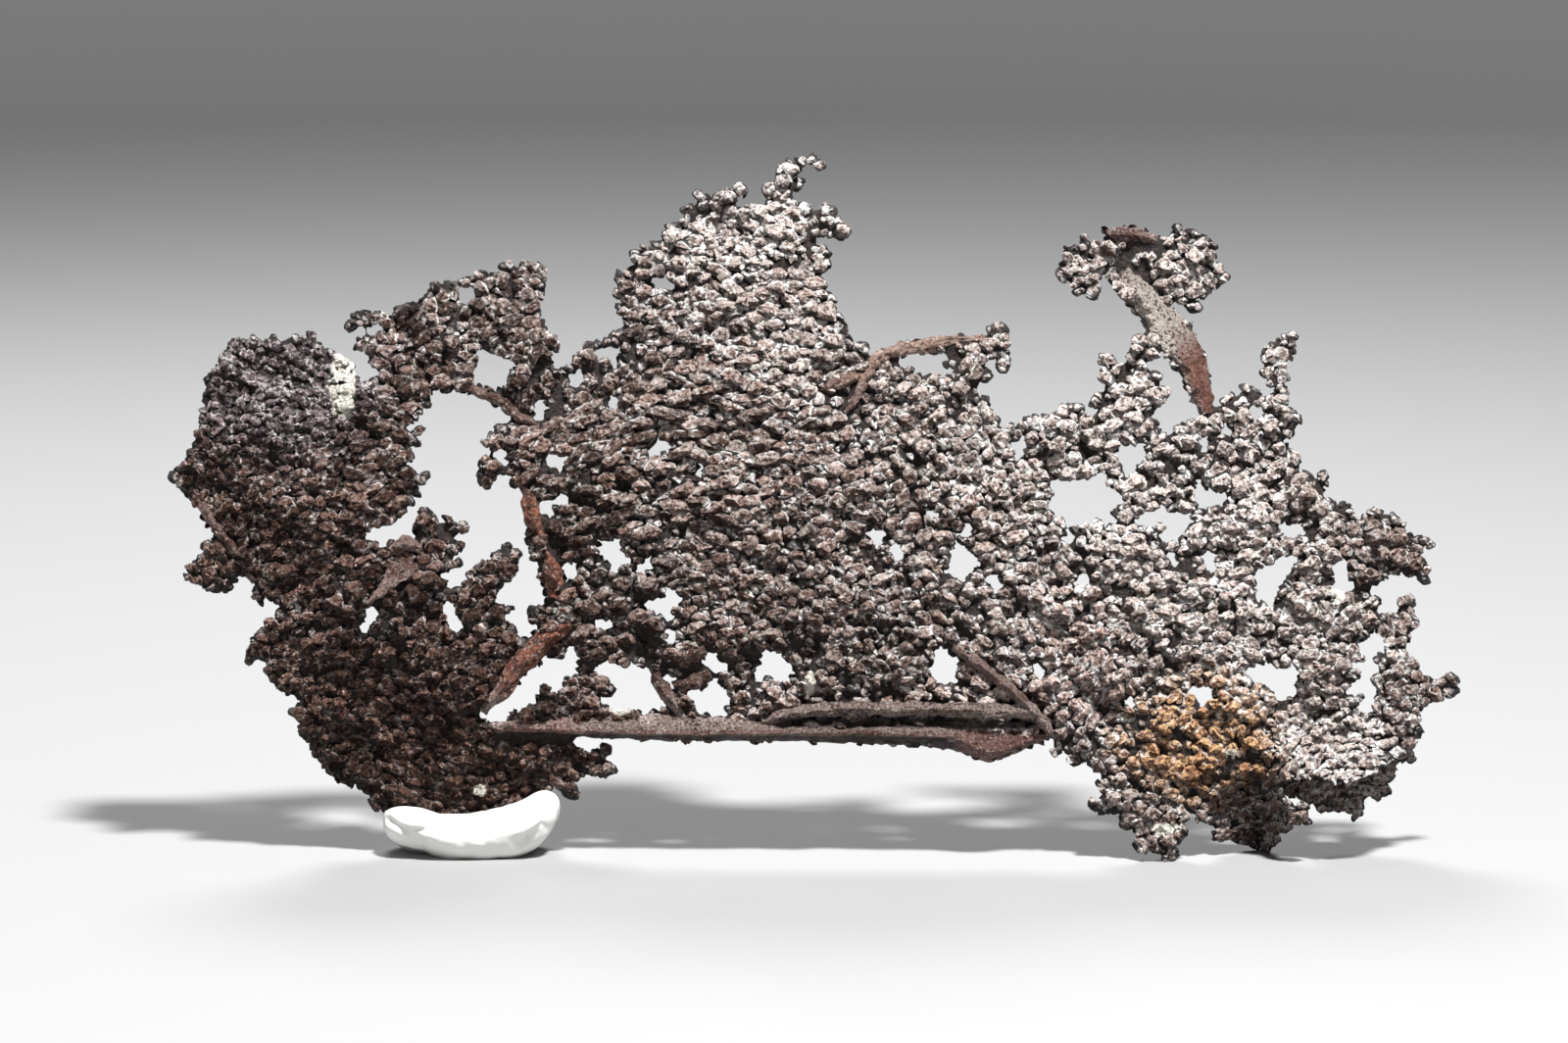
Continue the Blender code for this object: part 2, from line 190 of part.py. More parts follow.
# Gaps that go right through.
GAPS = {
    "left window": [
        (-78.5, 96.3), (-78.4, 93.7), (-81.1, 90.5), (-84.1, 89.1), (-83.4, 88), (-80.3, 88.4),
        (-80.5, 87.4),
        (-82.2, 86.7), (-80.5, 85.3), (-83.7, 84.9), (-82, 82.6), (-84.1, 81.3), (-80.9, 79.4),
        (-78.8, 79.2),
        (-79.5, 77.9), (-82, 76.7), (-80.5, 75.7), (-82.6, 75.2), (-82.2, 73.1), (-84.1, 70.6), (-88, 68.5),
        (-91.8, 67.5), (-92.2, 66.4), (-88.5, 64.6), (-85.9, 66.5), (-83.7, 66.5), (-82, 65.3), (-82, 69.5),
        (-80.3, 72.6), (-78, 71.8), (-76.7, 69), (-74.8, 71.2), (-74, 69.3), (-71, 69.2), (-72, 67),
        (-75, 67.8),
        (-77, 66.5), (-73.8, 66), (-72, 63.8), (-74.2, 62.5), (-72.7, 60.5), (-76.8, 58.9), (-74.3, 55.9),
        (-71.3, 57.8), (-71, 58.9), (-68.2, 61.7), (-66.8, 61.2), (-65.5, 63.4), (-63, 65.3), (-60.2, 63.4),
        (-60.9, 61.2), (-61.3, 58.5), (-65.3, 54.7), (-65.5, 53), (-61.7, 51.8), (-64.2, 49.5),
        (-61.8, 48.7),
        (-60.5, 45.5), (-59, 46.3), (-56, 48.3), (-58.6, 49), (-58.8, 52), (-57.5, 52.7), (-54.9, 52.4),
        (-56.4, 58), (-57.6, 61.5), (-59.2, 65), (-59.2, 68), (-60, 73), (-60.3, 76.2), (-62.2, 76.4),
        (-62.3, 79),
        (-64.3, 78.8), (-67.5, 76), (-69.2, 77.7), (-68.8, 82), (-67.5, 83), (-65.5, 82.7), (-63.7, 80.8),
        (-62.3, 81.2), (-62.5, 83), (-64, 85), (-65.5, 83.7), (-68, 86), (-66.3, 87.8), (-64.5, 89.6),
        (-60.2, 89.6), (-62.5, 91), (-65.5, 93), (-70.5, 95), (-72.5, 96), (-75.5, 96)],
    "lobe slot": [(-75.5, 53.5), (-74.2, 53), (-73.3, 51), (-71.8, 47.5), (-73.5, 46.8), (-75.7, 49.5),
        (-76.2, 51.3)],
    "under the slanting rib": [
        (-68.5, 31.2), (-66.5, 31.5), (-64.5, 33), (-62, 35), (-59, 38.5), (-57, 39), (-55, 42),
        (-52.5, 41.3),
        (-51, 42), (-50.3, 46.8), (-49.3, 46), (-48.7, 42.5), (-48.5, 39), (-50.2, 37.6), (-51, 38.1),
        (-51.9, 37.3),
        (-52.2, 34.6), (-54.3, 34.6), (-54.5, 36.3), (-55.5, 36.5), (-56.3, 35.5), (-57.3, 32.3),
        (-59, 32.2),
        (-60.3, 30.6), (-61.2, 31.3), (-62.3, 30.8), (-63.2, 28.8), (-66, 28.2), (-67.6, 29)],
    "arch slit": [(-76.2, 102.4), (-75.3, 102.6), (-75.4, 108), (-76.2, 107.8)],
    "arch 1": [(-80.3, 101.5), (-79, 102.3), (-78.8, 99.5), (-79, 98), (-80, 99.5)],
    "arch 2": [(-73.3, 117.3), (-70.3, 117.6), (-69.8, 115.5), (-70.3, 113.8), (-72.2, 113.7),
        (-72.8, 115.2)],
    "arch 3": [(-74, 110.2), (-70.4, 110.3), (-70.4, 111.2), (-74, 111.1)],
    "arch 4": [
        (-69.5, 104.5), (-68, 104.8), (-64.5, 103.2), (-61.8, 102.5), (-61.5, 101.2), (-63, 99.5),
        (-63.8, 97.3),
        (-65, 96.6), (-69.7, 97.6), (-69.8, 99.5), (-68.9, 103)],
    "arch 5": [(-58.5, 99.8), (-56.5, 99.8), (-56, 98.5), (-57.5, 97.6), (-58.2, 98)],
    "arch 6": [(-57, 94.2), (-56, 94.8), (-54.8, 93), (-55, 91.5), (-57.8, 89.5), (-57.6, 91.5)],
    "arch 7": [(-52.5, 99), (-51.7, 94.5), (-51.3, 92.5), (-52.3, 92.8), (-53.5, 95), (-53, 97.5)],
    "arch 8": [(-50.3, 99.3), (-48, 101), (-47.2, 99.5), (-49, 95.5), (-50, 96.5)],
    "arch 9": [
        (-45.5, 104.3), (-42, 105), (-39.9, 105.6), (-39.9, 103.5), (-41.6, 99.5), (-42, 101.5),
        (-43.5, 102.8),
        (-44.5, 102.3)],
    "dome foot": [
        (-38.3, 106.3), (-37.2, 107), (-36.4, 106), (-36.6, 104.8), (-34.6, 103.2), (-34.4, 102),
        (-35.6, 101.8),
        (-38.6, 104.2)],
    "dome slot": [
        (-34.8, 119), (-33.1, 119.4), (-30.5, 120), (-30, 118.7), (-28.5, 117.8), (-26.6, 117.7),
        (-23.5, 118.6),
        (-23.2, 117.8), (-26.2, 116.7), (-28.1, 116.3), (-32.2, 117.1), (-33.9, 118.3)],
    "dome notch": [(-24.4, 133.4), (-23, 133), (-21.8, 133.2), (-21.6, 132.4), (-23.2, 131.9),
        (-24.2, 132.6)],
    "dome bar": [(-0.8, 129.5), (0.2, 131), (1.5, 130.4), (3.4, 129.2), (2.6, 128.8), (0.4, 129.2)],
    "dome right": [(-6.2, 121.6), (-4.6, 122.4), (-3.4, 123.9), (-2.8, 123.9), (-3.4, 122.2), (-5, 121.4)],
    "web 1": [(-56, 83.2), (-53.8, 83.2), (-51, 82.8), (-50.2, 81.6), (-52.2, 79.8), (-55.5, 82)],
    "web 2": [(-49.5, 77), (-47.2, 77.8), (-44.6, 79.6), (-46, 79.6), (-49.6, 78.2)],
    "web 3": [
        (-56.2, 74), (-54, 73.6), (-52.3, 75.2), (-49.5, 75.2), (-47, 73.4), (-43.6, 72.6), (-44.6, 71.8),
        (-49.2, 73), (-51.5, 73.3), (-53.6, 70.8), (-55.8, 71)],
    "web 4": [(-41, 78), (-38.8, 77.8), (-37.2, 77), (-38.5, 76), (-40.3, 75.6)],
    "web 5": [
        (-33.7, 86.5), (-32, 86.8), (-30, 85.8), (-29.2, 85.2), (-30, 84.2), (-32, 83.2), (-34.1, 82.2),
        (-34.1, 84.2)],
    "web 6": [
        (-45.4, 66.2), (-42, 65.9), (-39.8, 66.2), (-39.4, 64.5), (-38.8, 62.5), (-37.4, 61.2),
        (-39.8, 60.2),
        (-42, 59), (-43.2, 62), (-44.5, 64.5)],
    "web 7": [(-37, 60.2), (-36, 61.2), (-32.9, 62.9), (-33.2, 61.2), (-34, 59.8), (-35.6, 58.9),
        (-37, 59.4)],
    "web 8": [(-54.8, 66), (-52, 65.8), (-50.2, 65.4), (-50.8, 64.2), (-53.8, 64.2)],
    "web 9": [(-52, 61), (-50, 60.8), (-48, 62.3), (-46.2, 62.2), (-48.6, 60.3), (-49, 58),
        (-50.8, 57.3), (-51.3, 58.5)],
    "web 10": [
        (-38, 55.8), (-36.7, 56.6), (-36.2, 54.8), (-34.3, 53.6), (-32.2, 53.4), (-30.9, 54.6),
        (-30.3, 56.2),
        (-29.2, 56), (-28.2, 54.6), (-26.9, 53.9), (-27.6, 52.4), (-28.9, 51.6), (-29.5, 48), (-28.8, 46.6),
        (-28.9, 45.2), (-30.2, 44.6), (-30.9, 45.3), (-30.2, 48.5), (-31.3, 50.6), (-34.2, 51.6),
        (-37.5, 54)],
    "web 11": [(-47, 49.3), (-45, 50), (-43, 49.6), (-40.2, 48.3), (-40.5, 47.5), (-43.5, 47.6),
        (-45, 48.3)],
    "web 12": [(-36.8, 48.3), (-35.3, 48), (-33.2, 46), (-34.5, 45), (-36.3, 45.5)],
    "over the rib, left": [
        (-44.9, 40.1), (-41.9, 41.1), (-39.9, 40.1), (-38.6, 39.8), (-38.2, 41.2), (-35.3, 39.4),
        (-34, 42.5),
        (-32.4, 41.8), (-32.8, 40.3), (-33.8, 39.6), (-34.2, 38), (-33, 35.2), (-31.4, 33.2), (-30.3, 32.4),
        (-32.2, 31), (-35.3, 30.6), (-38.6, 31.5), (-41.6, 31.1), (-42.6, 32.3), (-44.2, 32.3),
        (-44.3, 33.4),
        (-43.3, 33.7), (-41.1, 34.8), (-41.3, 36.4), (-42.2, 37.5), (-44.9, 38.4)],
    "over the rib, middle": [
        (-31.4, 40.1), (-30, 40.2), (-29.8, 39.2), (-30.1, 38.2), (-28.8, 37.6), (-28.5, 36), (-29.4, 35.4),
        (-30.7, 36.5), (-31.7, 38)],
    "over the rib, right": [
        (-27.6, 38.9), (-26.4, 39.6), (-24.8, 40.5), (-22.3, 42.2), (-20.4, 42.6), (-19.5, 40.7),
        (-16.5, 41),
        (-16.4, 39.3), (-19.6, 38.8), (-19.7, 36.5), (-18.2, 35.5), (-17.6, 32.7), (-18.2, 31.5),
        (-18.6, 29.4),
        (-22.1, 30.3), (-25, 30.5), (-24, 31.3), (-24.2, 32.3), (-26.2, 33.6), (-26, 34.8), (-22.5, 35.4),
        (-20.9, 37.1), (-20.7, 39), (-21.2, 40.6), (-23.1, 40.3), (-24.8, 39), (-26.4, 38.5)],
    "over the rib, small": [(-15.9, 43), (-15, 43.9), (-13.4, 43.4), (-13.2, 42.6), (-14.6, 42.4)],
    "rib window": [
        (-12.2, 38.8), (-11.5, 41.2), (-10, 43.3), (-8.1, 42.9), (-6.2, 41.3), (-4.8, 39.9), (-4.8, 37.8),
        (-5.6, 37), (-8.1, 37), (-10.6, 37.9), (-11.6, 35.8), (-12.6, 34.4), (-12.8, 31.8),
        (-13.4, 32.2), (-12.9, 36)],
    "slot 1": [(-0.9, 43.5), (-0.3, 45), (0.4, 45), (0.6, 44), (0.3, 40), (-0.2, 40)],
    "slot 2": [(4.3, 37.6), (6, 38), (8, 38), (7.6, 37.2), (6.2, 36.5), (4.8, 36.8)],
    "slot 3": [
        (2, 30.8), (3.5, 31), (5, 32), (6.5, 33.2), (7.8, 34), (7.7, 35), (5.5, 34.8), (5.8, 33.6),
        (3, 32.2)],
    "slot 4": [(10.9, 33.5), (10.8, 35.2), (12, 36), (13.2, 36), (12.2, 35), (11.8, 33.6)],
    "oval": [
        (23.3, 40.5), (24, 41.8), (24.8, 43), (25.4, 44.4), (26.4, 43.8), (28.5, 41.6), (29, 40),
        (28.6, 36.6),
        (25.8, 36.1), (23.6, 37.6)],
    "mid 1": [(28, 49.5), (29.5, 49.2), (30.2, 48), (31.6, 47.4), (31.6, 46.2), (30.2, 46.8),
        (29, 46.6), (28.4, 47.6)],
    "mid 2": [(44, 39.8), (44.3, 41.3), (45.3, 41.4), (46.2, 39.8), (47, 38.5), (46.4, 37.4), (45.4, 37.6)],
    "mid 3": [(44.8, 62.4), (45.6, 63.8), (46.6, 64.6), (47.1, 63.6), (47, 62.6), (46, 62.2)],
    "mid 4": [(34.2, 57.6), (35.2, 58.6), (36.8, 58.7), (38.2, 56.2), (37.6, 55), (36.4, 54.8), (35.8, 56)],
    "middle bay": [
        (30.6, 69.5), (31.6, 69.2), (31.9, 68.2), (31.4, 67.4), (32.2, 66.8), (30, 65.8), (29.2, 65),
        (31.2, 63.8),
        (33.6, 61.6), (32.8, 60.4), (30.8, 57.9), (30.3, 56.3), (29.2, 58.2), (26.8, 58.8), (26, 58.3),
        (25.9, 55.8),
        (24.9, 57.8), (26.6, 59.6), (26.9, 61.2), (27, 63), (28.2, 64.8), (29.2, 67.6)],
    "mid 5": [(10.2, 66.8), (11.2, 67.8), (14.8, 67.8), (14.2, 66.8), (13.4, 65.4), (12, 64.9), (10.8, 66)],
    "mid 6": [(15, 64.8), (16.3, 65.2), (18.2, 63.6), (18.4, 62.4), (16.2, 61.5), (15.4, 62.8)],
    "mid 7": [(17.2, 57.2), (17.8, 58.6), (18.6, 59.5), (20, 57.2), (19.6, 56.2), (18.6, 56.2)],
    "mid 8": [(1.6, 95.3), (2.4, 94.3), (3.8, 94.9), (5.2, 95), (6.6, 94.6), (7.5, 95.4), (6.2, 96.2),
        (3, 95.6)],
    "strap side": [(8.2, 92.6), (8.6, 94.6), (9.3, 95.8), (9.8, 94.6), (9.5, 92), (10.2, 90.4),
        (9.6, 88.8), (8.7, 89)],
    "mid 9": [(20.4, 83.3), (21.2, 83.4), (22.6, 81.6), (22.2, 80.4), (20, 80.4), (19.7, 81.4)],
    "mid 10": [(15.4, 80.6), (16.6, 78), (17.3, 79), (16.6, 80.2)],
    "mid 11": [(-5.9, 69.4), (-5, 70), (-3.6, 69.8), (-3.8, 69), (-5.2, 68.5)],
    "mid 12": [(22, 70.6), (22.8, 71.8), (24, 72), (25.2, 71.2), (25, 70.3), (22.8, 70.1)],
    "mid 13": [(40, 85.2), (42, 87.5), (43.5, 85.2), (42.6, 83.4), (41.2, 81.6), (40.2, 81.3)],
    "under the arm": [
        (15.1, 102), (15.9, 102.9), (17, 103.3), (22, 103.6), (25.8, 104), (28.1, 103.8), (29.6, 103.3),
        (28.1, 103), (26.4, 102.6), (26.6, 101.8), (28.5, 100.6), (28.1, 99.8), (25.4, 98.9), (25.1, 99.9),
        (22.4, 99.7), (20.1, 100.1), (18.9, 101.4), (17.8, 101), (15.6, 101.4)],
    "crown slot": [
        (62, 124.6), (63.6, 126), (65, 126.4), (68, 125.3), (69.8, 125), (73.5, 126), (74, 125.4),
        (70, 124.2),
        (68, 124.8), (64, 124.4)],
    "crown 1": [(65.4, 119.8), (65.6, 121), (66.5, 122.6), (67.5, 123), (67.7, 121.7), (69.3, 121.4),
        (68.6, 120.8), (66.8, 120.4)],
    "crown 2": [(66.8, 117.5), (68, 118.2), (68.6, 119.6), (69.2, 118), (69, 116.4), (67.4, 116.2)],
    "behind the stalk": [
        (70, 104.6), (72.3, 101.5), (74.6, 98.2), (76.3, 94.7), (77.6, 93.5), (78.2, 91.2),
        (77.6, 90.6), (74, 89.2),
        (72.6, 88.6), (72.4, 86.2), (71.8, 87.4), (70, 88.7), (70.2, 89.7), (68.2, 91.2), (69, 92.4),
        (71, 93.5),
        (72.5, 95.5), (71.3, 96.8), (69.2, 97), (70.8, 98.2), (71, 99.2), (69.7, 100.2), (67.8, 100.2),
        (67, 101.5),
        (69.6, 103.2)],
    "top 1": [(88.8, 94.2), (90, 93.3), (91.1, 93), (91.2, 91.4), (89.6, 90), (88.8, 91.4)],
    "right bay": [
        (47.6, 77.9), (52.2, 78.1), (55.9, 78.5), (58.3, 79.4), (59.8, 78.8), (58.8, 77.4), (60.1, 76.5),
        (62.6, 75.2), (63, 73.5), (60.8, 72), (61.2, 70), (63.4, 69.4), (65.2, 70.2), (66.4, 71.2),
        (69.3, 71.9),
        (70.5, 73), (72.1, 71.5), (76.4, 71.3), (77, 69.8), (75.4, 68.1), (75.2, 66.8), (73.9, 65.6),
        (70.6, 65.4),
        (70.2, 66.8), (70.9, 68.1), (70, 69.2), (68.1, 68.4), (65, 69), (60.4, 69), (59.2, 68.4),
        (58.4, 69.9),
        (57.2, 70.5), (56.4, 68.6), (55.5, 69.3), (54, 68.4), (51.9, 68.6), (52.5, 66), (54.9, 63.2),
        (54.6, 61.9),
        (53.4, 62.6), (51.6, 64.9), (50, 66), (51, 67.8), (50.7, 69.7), (48.2, 71.2), (47.5, 73),
        (48.1, 74.9)],
    "upper square": [
        (62, 81), (61.5, 82.5), (61.9, 85.6), (64, 85.2), (67.2, 85.7), (67.4, 82), (66.2, 81.7),
        (65.8, 80.4),
        (66.4, 79.4), (63.6, 79), (62.4, 79.8)],
    "upper 2": [(53.4, 86.2), (54.6, 86), (54.8, 84.4), (57.8, 84), (55.6, 82.6), (54.3, 81),
        (53.8, 81.8), (53.9, 83.6)],
    "upper 3": [(70.8, 79.2), (71, 81.3), (74, 81.6), (75.1, 83.6), (74.7, 80.8), (72.2, 79.8)],
    "upper 4": [(67.7, 76.6), (68.2, 78.5), (69.8, 78.3), (69, 76.5)],
    "upper 5": [
        (77.6, 78.4), (78.7, 77.9), (79.3, 76.5), (82.5, 75.4), (85.2, 75.2), (84.4, 74.3), (82.7, 73),
        (80.1, 72.6),
        (78.4, 71.8), (77.9, 74), (77.3, 75.8)],
    "upper 6": [(71.8, 61.6), (71.8, 63.2), (73.3, 63.5), (74.2, 61.2), (76.8, 60), (74.6, 58.7)],
    "upper 7": [(78.5, 62.6), (79.2, 63), (82.3, 63.3), (81.3, 61.2), (82.1, 60), (81, 58.3), (79.7, 59.8)],
    "upper 8": [(48.9, 56.3), (50, 57.9), (50.6, 57.3), (49.5, 56)],
    "upper 9": [(52.5, 57.1), (54, 59.2), (55.2, 59), (55.8, 57), (53.4, 56.4), (52.8, 55.2)],
    "upper 10": [(52.7, 49.9), (53.2, 51.4), (54.2, 51.5), (54.5, 50.2)],
    "upper 11": [(66.9, 66.5), (67.6, 67), (68.8, 65.4), (67.5, 64.9)],
    "upper 12": [(81.2, 52.7), (83.4, 52.1), (85.7, 52.7), (85.2, 51.5), (81.9, 51.2)],
    "far right bay": [
        (94, 61.8), (94.8, 62.7), (97.6, 62.7), (98.5, 62), (97.6, 59.8), (97.2, 58.8), (96, 58.2),
        (95.6, 55.9),
        (94.8, 56.5), (94.2, 55.3), (93.6, 53.7), (93.9, 52.2), (93.1, 51.3), (91.5, 53.3),
        (90.1, 53.4), (89.9, 55.3),
        (89, 55.9), (89.9, 56.9), (89.1, 58.6), (90.5, 60.2), (93.3, 60.8)],
    "far right 2": [
        (94.3, 69), (97.6, 69.2), (99.5, 69.3), (100.2, 67), (98.6, 66.9), (96.8, 66.2), (95, 66.2)],
    "far right 3": [(100.7, 69.1), (103.1, 69), (102.7, 67.9), (101.8, 67.6)],
    "far right 4": [(85.1, 81.4), (89.4, 81.7), (90.6, 83.8), (91.8, 82.9), (89.4, 80.9), (86.2, 80.4)],
    "far right 5": [(82, 87.9), (84, 89.6), (84.8, 88), (84.8, 85.4), (84, 86.8)],
    "far right 6": [(77.8, 86.2), (80.8, 87.8), (80.1, 85), (79.3, 82.2), (78.8, 82.2), (78.6, 84.8)],
    "far right 7": [(115.3, 60.5), (116.3, 61.8), (117.5, 62.1), (117.1, 60.4)],
    "low right bay": [
        (88, 39.8), (91.8, 40.9), (94.4, 39.8), (95.7, 39.8), (97, 41), (98, 39.8), (98.4, 36.9),
        (97.6, 34.4),
        (95.8, 33.7), (96.2, 32.4), (95, 31.3), (93.9, 31.7), (94.1, 33.9), (92.3, 35.3), (89.9, 36.6),
        (88.2, 38)],
    "right slot": [
        (113.6, 47), (114.8, 47), (116, 45), (115.9, 43.4), (113.9, 41), (114.8, 39.4), (113.2, 37.4),
        (114.7, 35.4),
        (113.8, 32.6), (113.6, 30.4), (110.8, 30.6), (110.9, 34.5), (108.4, 33.8), (106.3, 33.9),
        (109.2, 35.8),
        (111.4, 38.7), (109.2, 38.5), (109.6, 40.2), (111.7, 42.5), (110.8, 44.4)],
    "low 1": [(62.6, 31.9), (62.9, 33.2), (64.2, 33.8), (65.6, 31.9), (64.6, 31.4)],
    "low 2": [(67.7, 33.2), (69.6, 35.6), (70.3, 35.3), (69.2, 33.7)],
    "low 3": [(74.2, 22.4), (75, 23.4), (76.4, 23.7), (77.1, 22.7), (76.8, 21.8)],
    "low round": [(76.1, 35), (76.6, 35.9), (80, 36), (80.8, 35.2), (81.1, 33.4), (79.2, 31.5),
        (77.4, 33.2)],
    "low 4": [(80.3, 16), (80.4, 17), (82, 17.8), (81.6, 16.6)],
    "low 5": [(70.4, 39.4), (71, 40.2), (74.6, 40.5), (73.2, 39.6)],
    "low 6": [(85.6, 20.4), (85.7, 21.4), (88.6, 22), (91.3, 22.8), (89, 21.3), (88, 20.2)],
    "low 7": [(90.5, 46.2), (92, 46.8), (94.4, 46.1), (93, 45.7)],
    "low 8": [(95.5, 44.2), (96, 44.8), (97.9, 44.5), (96.6, 44)],
    "low 9": [(105.3, 44.9), (106, 45.4), (107.6, 45.2), (106.6, 44.4)],
    "leaf 1": [(50.4, 24.6), (51, 26), (52.4, 26.7), (53, 25.6), (52, 24)],
    "leaf 2": [(56, 22.6), (56, 25.4), (56.8, 26.2), (58, 23.6), (56.9, 22)],
}
# Small round ones: x, z, half width, half height.
ROUND_GAPS = [
    (-22.2, 47.6, 0.6, 0.9),
    (-62.3, 116.8, 0.6, 2.4), (-44.2, 98.4, 0.45, 2.4), (-41.2, 93.6, 1.1, 1.7), (-45.4, 56.4, 0.8, 1.2),
    (-86.8, 40, 1.0, 0.75), (-85.5, 43.2, 0.75, 0.65), (-104.3, 38.5, 0.75, 0.75), (-97.7, 59.3, 0.8, 0.5),
    (-97.7, 56, 0.5, 0.8), (-95, 63.8, 0.5, 0.8), (-111, 83.4, 0.8, 0.4), (-91.8, 49.6, 0.7, 1.9),
    (-87, 49.4, 0.4, 1.0), (-23.5, 80, 1.0, 1.3), (-31.8, 78.6, 1.2, 0.5), (-52, 70, 0.8, 1.0),
    (-30.3, 67, 1.3, 0.45), (-31.3, 70.4, 0.7, 0.4), (-38.5, 43.8, 1.3, 0.45), (-4.6, 45.8, 0.6, 0.9),
    (-4.4, 43.5, 0.5, 0.5), (-2.8, 31.9, 0.5, 0.8), (15.8, 34, 1.2, 0.7), (22.3, 43.7, 0.9, 0.45),
    (14.6, 48.4, 1.0, 0.6), (34.1, 48.8, 0.6, 1.2), (31.5, 52.2, 0.9, 0.8), (29.3, 54.8, 0.6, 0.7),
    (39, 44.9, 0.8, 0.9), (42.8, 51, 0.6, 1.0), (7.4, 65.4, 0.9, 0.4), (10.6, 62.6, 0.5, 0.6),
    (12.2, 60.6, 0.7, 0.7), (8.4, 86.6, 0.9, 0.8), (6.6, 85.2, 0.9, 0.5), (9.6, 82.2, 0.8, 0.5),
    (18.4, 84.3, 0.8, 0.7), (11.8, 69.5, 0.8, 0.5), (-1.3, 72.5, 0.8, 0.5), (24, 68.6, 0.8, 0.5),
    (27, 75.1, 0.8, 0.5), (25.5, 83.8, 0.8, 0.5), (35.4, 81.6, 0.8, 0.7), (37.2, 72.5, 1.0, 0.7),
    (26.8, 93.4, 0.8, 0.9), (28.8, 91, 0.9, 0.8), (27, 95.7, 1.0, 0.4), (46, 82.4, 1.2, 0.6),
    (67.8, 29.6, 1.2, 0.7), (65.3, 28.2, 0.6, 0.8), (61.7, 28.2, 0.8, 0.5), (65, 23, 0.9, 1.1),
    (73.4, 25.6, 0.8, 0.4), (65.5, 15, 0.6, 0.8), (62.3, 42.9, 0.9, 0.9), (68.6, 43, 0.6, 0.9),
    (73.6, 45, 0.7, 0.5), (59.3, 31, 0.6, 0.4), (91.2, 28.3, 0.5, 0.6), (89.8, 16.2, 0.8, 0.45),
    (103.7, 30.6, 0.6, 0.5), (108.6, 27.3, 0.8, 0.6), (40.8, 52.3, 0.7, 0.5), (59, 54.5, 0.5, 0.5),
    (62.5, 54, 0.4, 1.1), (94.2, 76.2, 0.6, 0.8), (112.2, 65.6, 0.5, 0.7),
]

# The rear flap at the lower right hangs behind the rolled lip, from the same sheet.
REAR_FLAP = [
    (96, 27), (120, 27), (122, 22.4), (121.9, 20.2), (119.4, 20), (117.6, 18.6), (118, 17.4), (116.8, 15.8),
    (117.2, 14.6), (116.2, 13.4), (114.8, 12.8), (113.2, 13.2), (112, 13), (111.9, 11.7), (111.2, 10.4),
    (111.2, 8.8), (110, 8.6), (109.3, 10), (106.5, 10.4), (103.3, 10.1), (102.1, 10.5), (101.8, 12),
    (99, 12.6),
    (96.6, 13.8), (95, 15.6),
]

# How far the middle of the sheet lies behind (+) or in front of (-) the plane of the plan: x, z, depth.
DEPTHS = [
    (-130, 76, 2.0), (-124, 98, 3.5), (-118, 60, 0.5), (-125, 60, -1.5), (-112, 104, 6.0), (-108, 88, -4.0),
    (-100, 72, -6.0), (-92, 96, -1.0), (-98, 104, 6.5), (-110, 48, -1.0), (-100, 34, 1.0), (-90, 52, -6.0),
    (-96, 20, 5.0), (-80, 20, 4.0), (-75, 8, 7.0), (-60, 14, 5.5), (-46, 20, 3.0), (-70, 38, -2.0),
    (-86, 110, 6.5), (-72, 119, 8.0), (-58, 120, 7.0), (-66, 100, 3.0), (-54, 100, 2.0), (-66, 80, 0.0),
    (-68, 60, -2.5), (-57, 66, -2.0), (-44, 50, -1.0), (-46, 76, -2.5), (-40, 100, 1.0), (-38, 116, 5.0),
    (-22, 133, 8.0), (-10, 137, 8.5), (0, 143, 10.0), (2, 128, 6.5), (-15, 115, 2.0), (-10, 95, -4.0),
    (-14, 72, -5.5), (-22, 52, -4.0), (-40, 34, 0.0), (-50, 28, 0.5), (-10, 32, 0.0), (8, 78, -4.0),
    (8, 55, -3.5), (12, 30, 0.0), (30, 34, -0.5), (40, 24, -3.0), (8, 104, 0.5), (24, 106, 4.5),
    (38, 105, 7.5), (22, 92, 0.0), (34, 92, 2.5), (34, 72, -1.5), (50, 84, 0.5), (48, 60, -3.0),
    (44, 42, -3.5), (56, 98, 3.0), (66, 105, 4.0), (60, 62, -3.5), (72, 100, 2.0), (79, 100, 2.5),
    (66, 120, 5.0), (53, 121, 8.5), (78, 122, 7.5), (84, 120, 9.0), (80, 88, -1.0), (95, 104, 4.5),
    (97, 88, 1.5), (92, 66, -3.0), (76, 50, -5.5), (62, 40, -5.0), (104, 78, 1.0), (112, 70, 0.5),
    (124, 62, 3.5), (108, 54, -1.5), (120, 52, 2.5), (106, 38, -4.0), (118, 36, -2.0), (130, 36, 4.0),
    (84, 34, -5.0), (56, 26, -2.5), (70, 24, -4.5), (86, 22, -5.5), (60, 13, -3.0), (72, 8, -4.0),
    (72, 1, -5.5), (86, 9, 3.0), (96, 8, 9.0), (91, 3, 10.0),
]
# The lip: below LIP_TOP the right lobe rolls forward, up to LIP_REACH at its edge.
LIP_LEFT, LIP_RIGHT = 90.0, 121.0
LIP_TOP, LIP_EDGE = 31.0, 16.5
LIP_REACH = 13.0
FLAP_DEPTH = [(96, 27, -2.0), (120, 27, -1.0), (96, 14, 4.5), (108, 9, 8.0), (121, 20, 5.0), (116, 13, 6.5)]

